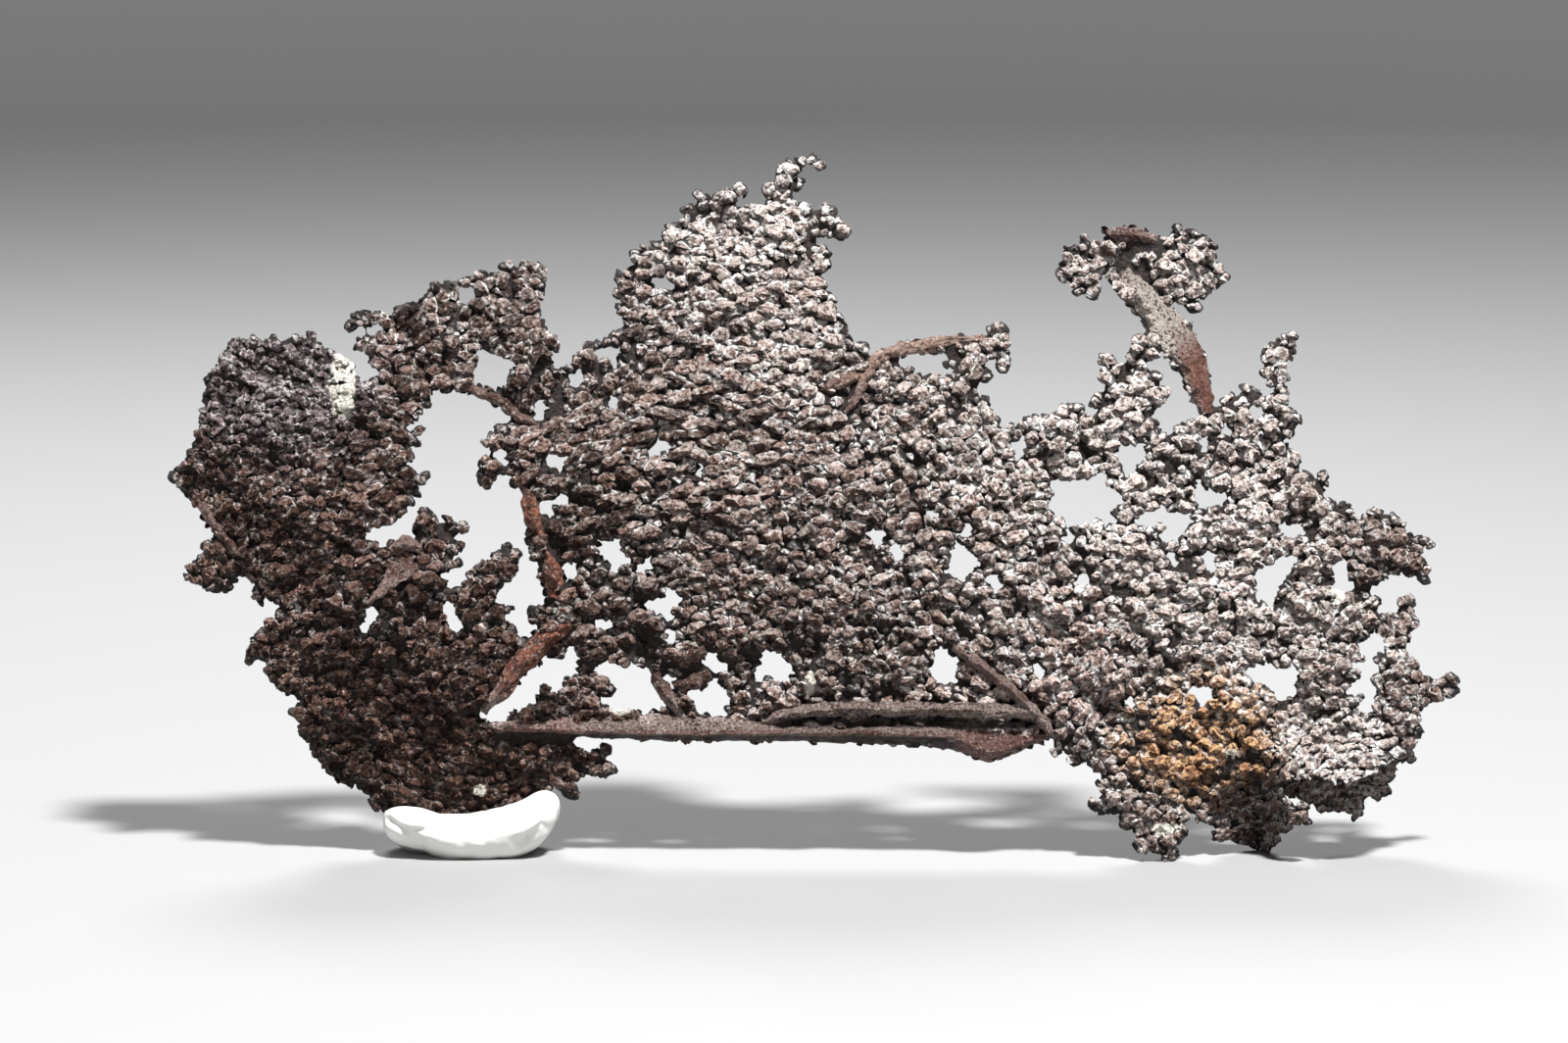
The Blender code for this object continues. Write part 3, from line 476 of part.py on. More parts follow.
# Smooth ribs and blades on the sheet: path of (x, z, stand-out, half width, half depth).
RIBS = {
    "upright rib": [
        (-59.6, 76.5, -0.6, 0.8, 1.2), (-58.6, 71, -1.4, 1.7, 1.8), (-57.6, 66, -1.6, 1.9, 1.9),
        (-55.8, 60, -1.2, 2.1, 1.8), (-53.8, 55.5, -0.8, 1.6, 1.6)],
    "slanting rib": [
        (-68, 30.6, -0.4, 1.0, 1.4), (-64.5, 35, -1.0, 1.9, 2.2), (-60, 40.8, -1.4, 2.3, 2.4),
        (-54.5, 46, -1.2, 2.2, 2.2), (-50, 49, -0.6, 1.2, 1.6)],
    "edge strip": [
        (-127, 76, -0.6, 0.9, 1.1), (-123.4, 70, -1.0, 1.3, 1.4), (-119, 64, -1.0, 1.3, 1.5),
        (-114.5, 57.5, -0.6, 0.9, 1.3)],
    "high strip": [
        (-71, 96.6, -0.4, 0.8, 1.1), (-65.5, 94.6, -1.0, 1.3, 1.5), (-60.5, 91.6, -0.8, 1.2, 1.4),
        (-56.5, 89, -0.4, 0.8, 1.1)],
    "strap": [
        (5.6, 90.6, -0.4, 0.7, 1.1), (8.2, 95, -1.2, 0.9, 1.3), (10.6, 99.6, -1.6, 1.3, 1.4),
        (13, 103.2, -1.4, 1.5, 1.4), (17.4, 104.8, -0.8, 1.5, 1.4), (23, 105.6, -0.2, 1.6, 1.4),
        (28.5, 106.4, 0.2, 1.3, 1.3), (34.5, 106.6, 0.4, 0.9, 1.2)],
    "leaf": [
        (0.8, 96.4, -0.6, 0.4, 0.7), (3.4, 97.6, -1.6, 1.5, 1.2), (6.2, 98.4, -1.6, 1.6, 1.2),
        (9.6, 99.8, -0.8, 0.8, 1.0)],
    "stalk": [
        (79.6, 91.6, -0.2, 1.5, 1.5), (78.6, 96, -0.6, 2.2, 1.9), (77.2, 101, -0.8, 3.0, 2.0),
        (74, 106.6, -0.8, 3.9, 2.1), (70, 111.6, -0.6, 3.5, 2.0), (66, 116.4, -0.4, 2.8, 1.8),
        (62.8, 120.6, 0.0, 2.0, 1.6)],
    "crown blade": [
        (59.4, 128.2, -0.4, 1.0, 0.9), (62.5, 128.2, -0.8, 1.5, 1.2), (66, 127.9, -0.6, 1.5, 1.3),
        (69.6, 127, -0.2, 1.2, 1.2)],
    "tine": [
        (-33.2, 38.6, -0.4, 1.2, 1.4), (-31, 35, -0.4, 1.6, 1.7), (-28.6, 32, -0.4, 1.7, 1.8),
        (-27, 29.4, 0.0, 1.6, 1.6)],
    "cross tine": [
        (-29, 36, 0.0, 1.2, 1.4), (-25.4, 36.8, -0.4, 1.5, 1.7), (-21.8, 38.4, -0.4, 1.3, 1.4)],
    "left blade": [
        (-28, 40.4, -0.4, 0.9, 1.2), (-25.6, 42.4, -1.2, 1.9, 1.7), (-22.6, 43.6, -0.8, 1.2, 1.4)],
    "groove lip": [
        (-9, 28.4, -1.0, 1.0, 1.3), (4, 29.9, -1.8, 0.9, 1.3), (20, 30, -2.0, 1.0, 1.4),
        (34, 30.2, -2.2, 1.1, 1.5), (44, 30.6, -2.4, 1.6, 1.8)],
    "fold": [
        (28, 44, -1.0, 0.9, 1.6), (34, 40, -1.6, 1.2, 2.0), (40, 35, -2.2, 1.5, 2.4),
        (46, 29, -2.4, 1.5, 2.4),
        (47.6, 26.4, -1.6, 0.8, 1.4)],
    "foot": [(72.2, 5.5, 0.0, 2.0, 2.4), (72.1, 2.4, 0.0, 1.7, 2.2), (72.1, -1.0, 0.0, 1.6, 2.2)],
    "rear foot": [(91.6, 8, 0.0, 2.2, 2.4), (91.6, 4.4, 0.0, 1.8, 2.2), (91.4, 1.4, 0.0, 1.6, 2.2)],
}
# The long rib along the bottom edge is a wedge: x, top z, ridge z, bottom z, ridge stand-out.
LONG_RIB = [
    (-69, 28.4, 27.4, 26.6, 0.8), (-60, 29.0, 27.4, 26.4, 2.2), (-50, 29.8, 27.0, 25.6, 3.2),
    (-40, 29.8, 26.4, 25.2, 4.0), (-30, 30.0, 26.2, 24.9, 4.4), (-18, 29.4, 26.2, 24.8, 4.6),
    (-6, 28.0, 26.4, 24.8, 4.6), (8, 28.0, 26.4, 24.3, 4.4), (20, 28.4, 26.0, 23.8, 4.4),
    (28, 28.4, 25.2, 23.0, 4.6), (33, 27.8, 23.4, 21.0, 4.4), (37, 27.4, 22.6, 21.0, 3.8),
    (43, 27.4, 24.6, 23.4, 3.0), (48, 26.6, 26.0, 25.4, 1.2),
]
# Rounded lobes that stand well out of the sheet: x, z, stand-out, half width, half depth, half height.
BOSSES = [
    (-124.5, 60, -1.0, 4.0, 3.0, 3.6), (-69.5, 64.5, -0.8, 2.2, 2.4, 4.6), (-62.5, 59, -0.8, 2.0, 2.2, 5.0),
    (-66, 80, -0.8, 2.2, 2.2, 2.6), (-46, 41.5, -0.6, 2.2, 2.4, 4.4), (-46.5, 35.5, -0.6, 4.6, 2.6, 2.2),
    (-60, 29.6, -0.6, 3.4, 2.6, 1.6), (63.2, 71.3, 0.0, 2.0, 1.9, 1.5), (1.6, 34.4, -1.4, 3.6, 2.4, 2.6),
    (-8.6, 34, -1.2, 3.0, 2.2, 3.2), (-15.4, 34, -0.6, 2.6, 2.2, 3.6), (54.4, 23.8, -1.2, 1.6, 1.8, 3.0),
    (95, 21.5, -1.0, 3.0, 2.6, 3.0), (104, 20.5, -1.4, 7.0, 2.8, 3.2), (112, 21.5, -1.2, 5.0, 2.8, 3.0),
]
PUTTY_FRONT = [     # the lump's outline from the front, clockwise from the left
    (-88.3, 9.6), (-87.8, 11.2), (-84.6, 11.4), (-80, 10.6), (-75, 9.4), (-70, 9.6), (-65, 11.2),
    (-60, 12.2),
    (-56.6, 13.4), (-55, 14.4), (-53.4, 13.6), (-52.6, 11.4), (-53.2, 8.4), (-55.4, 5), (-58.6, 2.4),
    (-62, 1),
    (-66, 0.2), (-70, 0.2), (-76, 1.2), (-81, 2.8), (-85.2, 3.6), (-87.6, 5.8),
]

# ---- after the plan: tools ---------------------------------------------------------------------
rng = np.random.default_rng(SEED)


def field(pegs, soft=30.0):
    """A smooth depth through hand-set pegs (x, z, depth)."""
    pegs = np.array(pegs, float)

    def depth(x, z):
        d2 = (np.asarray(x)[..., None] - pegs[:, 0]) ** 2 + (np.asarray(z)[..., None] - pegs[:, 1]) ** 2
        w = 1.0 / (d2 + soft) ** 1.6
        return (w * pegs[:, 2]).sum(-1) / w.sum(-1)
    return depth


def smooth_step(t):
    t = np.clip(t, 0.0, 1.0)
    return t * t * (3.0 - 2.0 * t)


sheet_depth = field(DEPTHS)
flap_depth = field(FLAP_DEPTH, 60.0)


def lobe_depth(x, z):
    """The sheet's depth, with the lip rolled forward at the lower right."""
    across = smooth_step((x - LIP_LEFT) / 7.0) * smooth_step((LIP_RIGHT - x) / 5.0)
    down = np.clip((LIP_TOP - z) / (LIP_TOP - LIP_EDGE), 0.0, 1.1)
    return sheet_depth(x, z) - LIP_REACH * across * down ** 1.8


def bend(points, depth):
    """Plan points (x, stand-out, z) go to their places in space, all in millimetres."""
    p = np.asarray(points, float)
    c, s = math.cos(VIEW_RISE), math.sin(VIEW_RISE)
    eye = np.array((PLAN_MID[0], -VIEW_DISTANCE * c, GROUND_SHIFT + VIEW_DISTANCE * s))
    up = p[:, 2] - PLAN_MID[1]
    flat = np.stack((p[:, 0], up * s, GROUND_SHIFT + up * c), 1)
    ray = flat - eye
    y = depth(p[:, 0], p[:, 2]) + p[:, 1]
    t = (y - eye[1]) / ray[:, 1]
    return eye + ray * t[:, None]


def inside(x, z, loop):
    """Which points lie inside a closed outline."""
    loop = np.array(loop, float)
    a, b = loop, np.roll(loop, -1, 0)
    hit = np.zeros(len(x), bool)
    for (ax, az), (bx, bz) in zip(a, b):
        if az == bz:
            continue
        cross = (az > z) != (bz > z)
        hit ^= cross & (x < (bx - ax) * (z - az) / (bz - az) + ax)
    return hit


def ellipse(x, z, a, b, n=8):
    return [(x + a * math.cos(2 * math.pi * k / n), z + b * math.sin(2 * math.pi * k / n)) for k in range(n)]


def edge_distance(x, z, loops):
    """Distance from each point to the nearest edge of the plan."""
    best = np.full(len(x), 1e9)
    for loop in loops:
        loop = np.array(loop, float)
        a, b = loop, np.roll(loop, -1, 0)
        for (ax, az), (bx, bz) in zip(a, b):
            dx, dz = bx - ax, bz - az
            t = np.clip(((x - ax) * dx + (z - az) * dz) / (dx * dx + dz * dz + 1e-9), 0, 1)
            best = np.minimum(best, np.hypot(x - ax - t * dx, z - az - t * dz))
    return best


def scatter(outline, gaps, pitch):
    """Even random places inside the outline and outside the gaps."""
    o = np.array(outline)
    lo, hi = o.min(0), o.max(0)
    tries = rng.uniform(lo, hi, (60000, 2))
    ok = inside(tries[:, 0], tries[:, 1], outline)
    for gap in gaps:
        ok &= ~inside(tries[:, 0], tries[:, 1], gap)
    cell, taken = pitch, {}
    kept = []
    for x, z in tries[ok]:
        i, k = int(x // cell), int(z // cell)
        near = [q for a in (-1, 0, 1) for b in (-1, 0, 1) for q in taken.get((i + a, k + b), ())]
        if all((x - q[0]) ** 2 + (z - q[1]) ** 2 > (pitch * 0.8) ** 2 for q in near):
            taken.setdefault((i, k), []).append((x, z))
            kept.append((x, z))
    return np.array(kept)


def object_from(name, mesh):
    ob = bpy.data.objects.new(name, mesh)
    bpy.context.scene.collection.objects.link(ob)
    return ob


def plate(name, loops, thickness):
    """A flat outline with its gaps, filled and given its thickness."""
    curve = bpy.data.curves.new(name, "CURVE")
    curve.dimensions = "2D"
    curve.fill_mode = "BOTH"
    curve.extrude = thickness / 2
    for loop in loops:
        spline = curve.splines.new("POLY")
        spline.points.add(len(loop) - 1)
        for point, (x, z) in zip(spline.points, loop):
            point.co = (x, z, 0.0, 1.0)
        spline.use_cyclic_u = True
    ob = object_from(name, curve)
    seen = ob.evaluated_get(bpy.context.evaluated_depsgraph_get())
    mesh = bpy.data.meshes.new_from_object(seen)
    bpy.data.objects.remove(ob)
    bm = bmesh.new()
    bm.from_mesh(mesh)
    bmesh.ops.remove_doubles(bm, verts=bm.verts, dist=0.0001)
    for v in bm.verts:                      # the curve's plane stands up: its y becomes z
        v.co = Vector((v.co.x, -v.co.z, v.co.y))
    bmesh.ops.recalc_face_normals(bm, faces=bm.faces)
    return bm


def ball_shape(detail):
    """The points and faces of one round ball, made once and repeated."""
    bm = bmesh.new()
    bmesh.ops.create_icosphere(bm, subdivisions=detail, radius=1.0)
    points = np.array([v.co for v in bm.verts])
    faces = np.array([[v.index for v in f.verts] for f in bm.faces])
    bm.free()
    return points, faces


BALLS = {detail: ball_shape(detail) for detail in (2, 3)}


def ball(centre, size, turn=0.0, detail=2):
    """A squashed ball, turned in the plane of the plan."""
    points, faces = BALLS[detail]
    p = points * np.array(size)
    c, s = math.cos(turn), math.sin(turn)
    p = np.stack((p[:, 0] * c - p[:, 2] * s, p[:, 1], p[:, 0] * s + p[:, 2] * c), 1)
    return p + np.array(centre), faces


def add_balls(bm, balls):
    """All the balls go into the mesh at once."""
    start, points, faces = 0, [], []
    for p, f in balls:
        points.append(p)
        faces.append(f + start)
        start += len(p)
    mesh = bpy.data.meshes.new("balls")
    mesh.from_pydata(np.concatenate(points).tolist(), [], np.concatenate(faces).tolist())
    bm.from_mesh(mesh)
    bpy.data.meshes.remove(mesh)


def add_loft(bm, rings):
    """A closed loft through rings with the same number of points each."""
    rows = [[bm.verts.new(p) for p in ring] for ring in rings]
    for a, b in zip(rows, rows[1:]):
        n = len(a)
        for k in range(n):
            bm.faces.new((a[k], a[(k + 1) % n], b[(k + 1) % n], b[k]))
    bm.faces.new(list(reversed(rows[0])))
    bm.faces.new(rows[-1])


def rib_rings(path, n=8):
    rings = []
    for i, (x, z, out, half, deep) in enumerate(path):
        a, b = path[max(i - 1, 0)], path[min(i + 1, len(path) - 1)]
        length = math.hypot(b[0] - a[0], b[1] - a[1])
        nx, nz = -(b[1] - a[1]) / length, (b[0] - a[0]) / length
        rings.append([(x + nx * half * math.cos(t), out + deep * math.sin(t), z + nz * half * math.cos(t))
                      for t in (2 * math.pi * k / n for k in range(n))])
    return rings


def wedge_rings(path):
    return [[(x, 1.4, top), (x, -1.2, top), (x, -0.6 * out - 0.8, 0.45 * top + 0.55 * ridge),
    (x, -out, ridge),
             (x, -out * 0.75, 0.6 * ridge + 0.4 * low), (x, 1.4, low)] for x, top, ridge, low, out in path]


def mesh_object(name, bm):
    bmesh.ops.recalc_face_normals(bm, faces=bm.faces)
    mesh = bpy.data.meshes.new(name)
    bm.to_mesh(mesh)
    bm.free()
    return object_from(name, mesh)


def with_modifiers(ob, *steps):
    """Gives the object modifiers (type, settings) and makes the result its mesh."""
    for kind, settings in steps:
        modifier = ob.modifiers.new(kind.title(), kind)
        for key, value in settings.items():
            setattr(modifier, key, value)
    seen = ob.evaluated_get(bpy.context.evaluated_depsgraph_get())
    mesh = bpy.data.meshes.new_from_object(seen)
    ob.modifiers.clear()
    ob.data = mesh
    return ob


def voxel(size):
    return ("REMESH", {"mode": "VOXEL", "voxel_size": size, "adaptivity": 0.0})


def decimate_to(ob, triangles):
    ob.data.calc_loop_triangles()
    now = len(ob.data.loop_triangles)
    return with_modifiers(ob, ("TRIANGULATE", {}),
                          ("DECIMATE", {"decimate_type": "COLLAPSE", "ratio": min(1.0, triangles / now)}))


def move_points(ob, change):
    co = np.empty(len(ob.data.vertices) * 3)
    ob.data.vertices.foreach_get("co", co)
    ob.data.vertices.foreach_set("co", change(co.reshape(-1, 3)).ravel())
    ob.data.update()


def join(name, objects):
    bm = bmesh.new()
    for ob in objects:
        bm.from_mesh(ob.data)
        bpy.data.objects.remove(ob)
    return mesh_object(name, bm)


def largest_body(ob):
    """Keeps the biggest connected piece and drops crumbs."""
    bm = bmesh.new()
    bm.from_mesh(ob.data)
    left, bodies = set(bm.verts), []
    while left:
        seed = left.pop()
        body, todo = {seed}, [seed]
        while todo:
            for edge in todo.pop().link_edges:
                for v in edge.verts:
                    if v in left:
                        left.discard(v)
                        body.add(v)
                        todo.append(v)
        bodies.append(body)
    bodies.sort(key=len)
    print(ob.name, "bodies", [len(b) for b in bodies[-6:]])
    for body in bodies[:-1]:
        bmesh.ops.delete(bm, geom=list(body), context="VERTS")
    bm.to_mesh(ob.data)
    bm.free()
    ob.data.update()
    return ob


def material(name, colour, roughness, metallic):
    made = bpy.data.materials.new(name)
    made.use_nodes = True
    shader = made.node_tree.nodes["Principled BSDF"]
    shader.inputs["Base Color"].default_value = colour
    shader.inputs["Roughness"].default_value = roughness
    shader.inputs["Metallic"].default_value = metallic
    return made


# ---- the copper sheet ----------------------------------------------------------------------------
round_gaps = [ellipse(x, z, a * GAP_GROWTH, b * GAP_GROWTH) for x, z, a, b in ROUND_GAPS
              if a * b > SMALLEST_GAP]


def lumpy_sheet(name, outline, gaps, ribs, wedge, bosses):
    """The plate, its lumps on both faces, its ribs and its bosses, fused into one skin."""
    bm = plate(name, [outline] + gaps, WEB_THICKNESS)
    balls = []
    for side in (-1.0, 1.0):
        places = scatter(outline, gaps, LUMP_PITCH)
        room = edge_distance(places[:, 0], places[:, 1], [outline] + gaps)
        for (x, z), r in zip(places, room):
            size = min(LUMP_RADIUS * rng.uniform(0.75, 1.15), r + 0.7)
            if size < 1.0:
                continue
            long = rng.uniform(1.0, 1.3) if r > 2.5 else 1.0
            out = side * (LUMP_RISE * rng.uniform(0.5, 1.3) if r > 2.0 else 0.4)
            balls.append(ball((x, out, z), (size * long, size * LUMP_DEPTH, size), rng.uniform(-0.5, 0.5)))
    for x, z, out, a, b, c in bosses:
        balls.append(ball((x, out, z), (a, b, c), 0.0, 3))
    add_balls(bm, balls)
    for path in ribs.values():
        add_loft(bm, rib_rings(path))
    if wedge:
        add_loft(bm, wedge_rings(wedge))
    return with_modifiers(mesh_object(name, bm), voxel(VOXEL))


copper = lumpy_sheet("copper_front", OUTLINE, list(GAPS.values()) + round_gaps, RIBS, LONG_RIB, BOSSES)
move_points(copper, lambda p: bend(p, lobe_depth))
flap = lumpy_sheet("copper_flap", REAR_FLAP, [], {}, None, [])
move_points(flap, lambda p: bend(p, flap_depth))
copper = join("copper_sheet", [copper, flap])
with_modifiers(copper, voxel(VOXEL), ("SMOOTH", {"factor": 0.5, "iterations": 1}))
largest_body(copper)

# ---- the mounting putty ----------------------------------------------------------------------------


def putty_seat(copper):
    """The copper near the putty, a little swollen: what the putty is pressed round."""
    (left, _), (right, top) = SEAT
    bm = bmesh.new()
    bm.from_mesh(copper.data)
    for point, normal in (((left, 0, 0), (-1, 0, 0)), ((right, 0, 0), (1, 0, 0)), ((0, 0, top), (0, 0, 1))):
        bmesh.ops.bisect_plane(bm, geom=bm.verts[:] + bm.edges[:] + bm.faces[:], plane_co=point,
                               plane_no=normal, clear_outer=True)
    bmesh.ops.holes_fill(bm, edges=bm.edges[:], sides=0)
    bmesh.ops.triangulate(bm, faces=bm.faces[:])
    bm.normal_update()
    for v, n in [(v, v.normal.copy()) for v in bm.verts]:
        v.co += n * GAP
    mesh = bpy.data.meshes.new("putty_seat")
    bm.to_mesh(mesh)
    bm.free()
    seat = with_modifiers(object_from("putty_seat", mesh), voxel(SEAT_VOXEL))
    return decimate_to(largest_body(seat), SEAT_TRIANGLES)


def putty_lump():
    """A rounded slab on the lump's outline, softened as if kneaded."""
    slab = bpy.data.curves.new("putty_slab", "CURVE")
    slab.dimensions = "2D"
    slab.fill_mode = "BOTH"
    slab.extrude = PUTTY_FLAT
    slab.bevel_depth = PUTTY_ROUND
    slab.bevel_resolution = 4
    slab.offset = -PUTTY_INSET
    spline = slab.splines.new("POLY")
    spline.points.add(len(PUTTY_FRONT) - 1)
    for point, (x, z) in zip(spline.points, PUTTY_FRONT):
        point.co = (x, z, 0.0, 1.0)
    spline.use_cyclic_u = True
    drawn = object_from("putty_slab", slab)
    seen = drawn.evaluated_get(bpy.context.evaluated_depsgraph_get())
    mesh = bpy.data.meshes.new_from_object(seen)
    bpy.data.objects.remove(drawn)
    lump = object_from("mounting_putty", mesh)
    move_points(lump, lambda p: bend(np.stack((p[:, 0], -p[:, 2], p[:, 1]), 1), putty_depth))
    with_modifiers(lump, ("WELD", {"merge_threshold": 0.0001}), voxel(PUTTY_VOXEL),
                   ("SMOOTH", {"factor": 0.5, "iterations": 12}))
    return decimate_to(lump, PUTTY_TRIANGLES)


def putty_depth(x, z):
    return np.full(len(x), PUTTY_DEPTH)


seat = putty_seat(copper)
putty = putty_lump()

# ---- flat feet, and the seat in the putty ------------------------------------------------------------
decimate_to(copper, COPPER_TRIANGLES)


def block(name, low, high):
    """A plain cutter box."""
    bm = bmesh.new()
    bmesh.ops.create_cube(bm, size=1.0)
    for v in bm.verts:
        v.co = Vector([(low[k] + high[k]) / 2 + v.co[k] * (high[k] - low[k]) for k in range(3)])
    return mesh_object(name, bm)


ground = block("ground_cutter", (-160, -60, -30), (160, 60, 0))
for ob, cutters in ((copper, [ground]), (putty, [ground, seat])):
    with_modifiers(ob, *[("BOOLEAN", {"operation": "DIFFERENCE", "solver": "EXACT", "object": cutter})
                         for cutter in cutters])
    largest_body(ob)
    with_modifiers(ob, ("TRIANGULATE", {}))
for cutter in (ground, seat):
    bpy.data.objects.remove(cutter)

# ---- the origin below the middle, in metres, each with its finish --------------------------------------
for ob, finish in ((copper, material("native_copper", COPPER_COLOUR, 0.46, 0.85)),
                   (putty, material("white_putty", PUTTY_COLOUR, 0.62, 0.0))):
    move_points(ob, lambda p: (p - np.array((BASE_MID[0], BASE_MID[1], 0.0))) * MM)
    ob.data.materials.clear()
    ob.data.materials.append(finish)

part = bpy.data.collections.new("native_copper_nugget")
bpy.context.scene.collection.children.link(part)
for ob in (copper, putty):
    bpy.context.scene.collection.objects.unlink(ob)
    part.objects.link(ob)
    ob.data.name = ob.name
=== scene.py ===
# %% [markdown]
# # Native copper: a lacy sheet standing in putty
# The real thing is a thin, branching sheet of native copper.  It grew in a crack in the rock, so it is
# wide and high but only a few millimetres thick.  Thousands of small rounded crystals, here called
# nubs, cover both of its faces, and daylight shows through scores of gaps.  Its lower left edge is
# pressed into a lump of white putty.  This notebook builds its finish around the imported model.

# %% Load the frame
import math
import time
import bpy
import numpy as np
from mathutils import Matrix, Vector
from mathutils.kdtree import KDTree


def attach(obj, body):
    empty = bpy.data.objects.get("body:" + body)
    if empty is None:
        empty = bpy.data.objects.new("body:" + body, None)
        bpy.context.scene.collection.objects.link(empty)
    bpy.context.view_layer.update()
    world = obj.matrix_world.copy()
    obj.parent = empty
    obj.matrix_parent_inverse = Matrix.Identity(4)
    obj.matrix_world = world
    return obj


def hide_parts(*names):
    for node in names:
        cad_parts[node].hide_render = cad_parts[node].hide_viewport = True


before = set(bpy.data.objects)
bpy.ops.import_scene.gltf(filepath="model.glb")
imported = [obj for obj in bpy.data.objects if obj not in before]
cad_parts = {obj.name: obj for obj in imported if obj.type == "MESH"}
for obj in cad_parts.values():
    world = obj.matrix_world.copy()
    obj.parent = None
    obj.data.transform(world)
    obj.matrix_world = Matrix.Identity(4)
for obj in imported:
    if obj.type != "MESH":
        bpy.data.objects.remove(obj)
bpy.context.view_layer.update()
started = time.time()

# %% [markdown]
# ## Sizes and the plan's place
# The sheet is easiest to draw flat, as a plan with x to the right and z up, in millimetres.  The plan
# is then laid into space along the sight lines of someone who looks from 1.5 m away and a little
# above.  The same view is used for the camera, so both share these values.

# %% Sizes, in millimetres
MM = 0.001
VIEW_DISTANCE = 1500.0
VIEW_RISE = math.radians(8.0)
PLAN_MID = (-6.5, 69.6)         # the middle of the plan
GROUND_SHIFT = 69.64            # the height of the plan's middle above the ground
BASE_MID = (0.1, 1.2)           # x and y of the origin below the middle
SEED = 11                       # all that is left to chance below starts from this number
rng = np.random.default_rng(SEED)

# %% [markdown]
# ## Small helpers
# Operators act on what is selected and active, so a piece is always picked alone before one runs.

# %% Helpers for objects
def deselect():
    """Nothing is left selected, so an operator acts only on what it should."""
    if bpy.context.object and bpy.context.object.mode != "OBJECT":
        bpy.ops.object.mode_set(mode="OBJECT")
    bpy.ops.object.select_all(action="DESELECT")


def pick(ob):
    """Only this object is selected and active."""
    deselect()
    ob.select_set(True)
    bpy.context.view_layer.objects.active = ob
    return ob


def new_object(name, data):
    """An object in the scene, with this data."""
    ob = bpy.data.objects.new(name, data)
    bpy.context.scene.collection.objects.link(ob)
    return ob


def modify(ob, kind, **settings):
    """Adds a modifier and applies it."""
    pick(ob)
    modifier = ob.modifiers.new(kind.title(), kind)
    for key, value in settings.items():
        setattr(modifier, key, value)
    bpy.ops.object.modifier_apply(modifier=modifier.name)


def mend(ob, merge=None, outwards=True):
    """Merges points that lie together, and turns all faces outwards."""
    pick(ob)
    bpy.ops.object.mode_set(mode="EDIT")
    bpy.ops.mesh.select_all(action="SELECT")
    if merge:
        bpy.ops.mesh.remove_doubles(threshold=merge)
    if outwards:
        bpy.ops.mesh.normals_make_consistent(inside=False)
    bpy.ops.object.mode_set(mode="OBJECT")


def roughen(ob, layers):
    """Soft unevenness, in layers of (grain, height) in millimetres."""
    for grain_size, height in layers:
        clouds = bpy.data.textures.new("unevenness", "CLOUDS")
        clouds.noise_scale = grain_size * MM
        modify(ob, "DISPLACE", texture=clouds, texture_coords="GLOBAL", strength=height * MM, mid_level=0.5)


# %% [markdown]
# ## Camera
# A long lens from far away keeps the sheet's proportions, and it looks down by eight degrees.

# %% Camera
SENSOR_WIDTH = 36.0
PICTURE_WIDTH = 320.0           # of the plan, from one side of the picture to the other

eye = Vector((PLAN_MID[0] - BASE_MID[0], -VIEW_DISTANCE * math.cos(VIEW_RISE) - BASE_MID[1],
              GROUND_SHIFT + VIEW_DISTANCE * math.sin(VIEW_RISE))) * MM
camera_data = bpy.data.cameras.new("camera")
camera_data.sensor_width = SENSOR_WIDTH
camera_data.lens = SENSOR_WIDTH * VIEW_DISTANCE / PICTURE_WIDTH
camera = new_object("camera", camera_data)
camera.location = eye
camera.rotation_euler = (math.pi / 2 - VIEW_RISE, 0.0, 0.0)
bpy.context.scene.camera = camera
print("lens", round(camera_data.lens, 2), "mm, eye at", [round(v, 3) for v in eye])
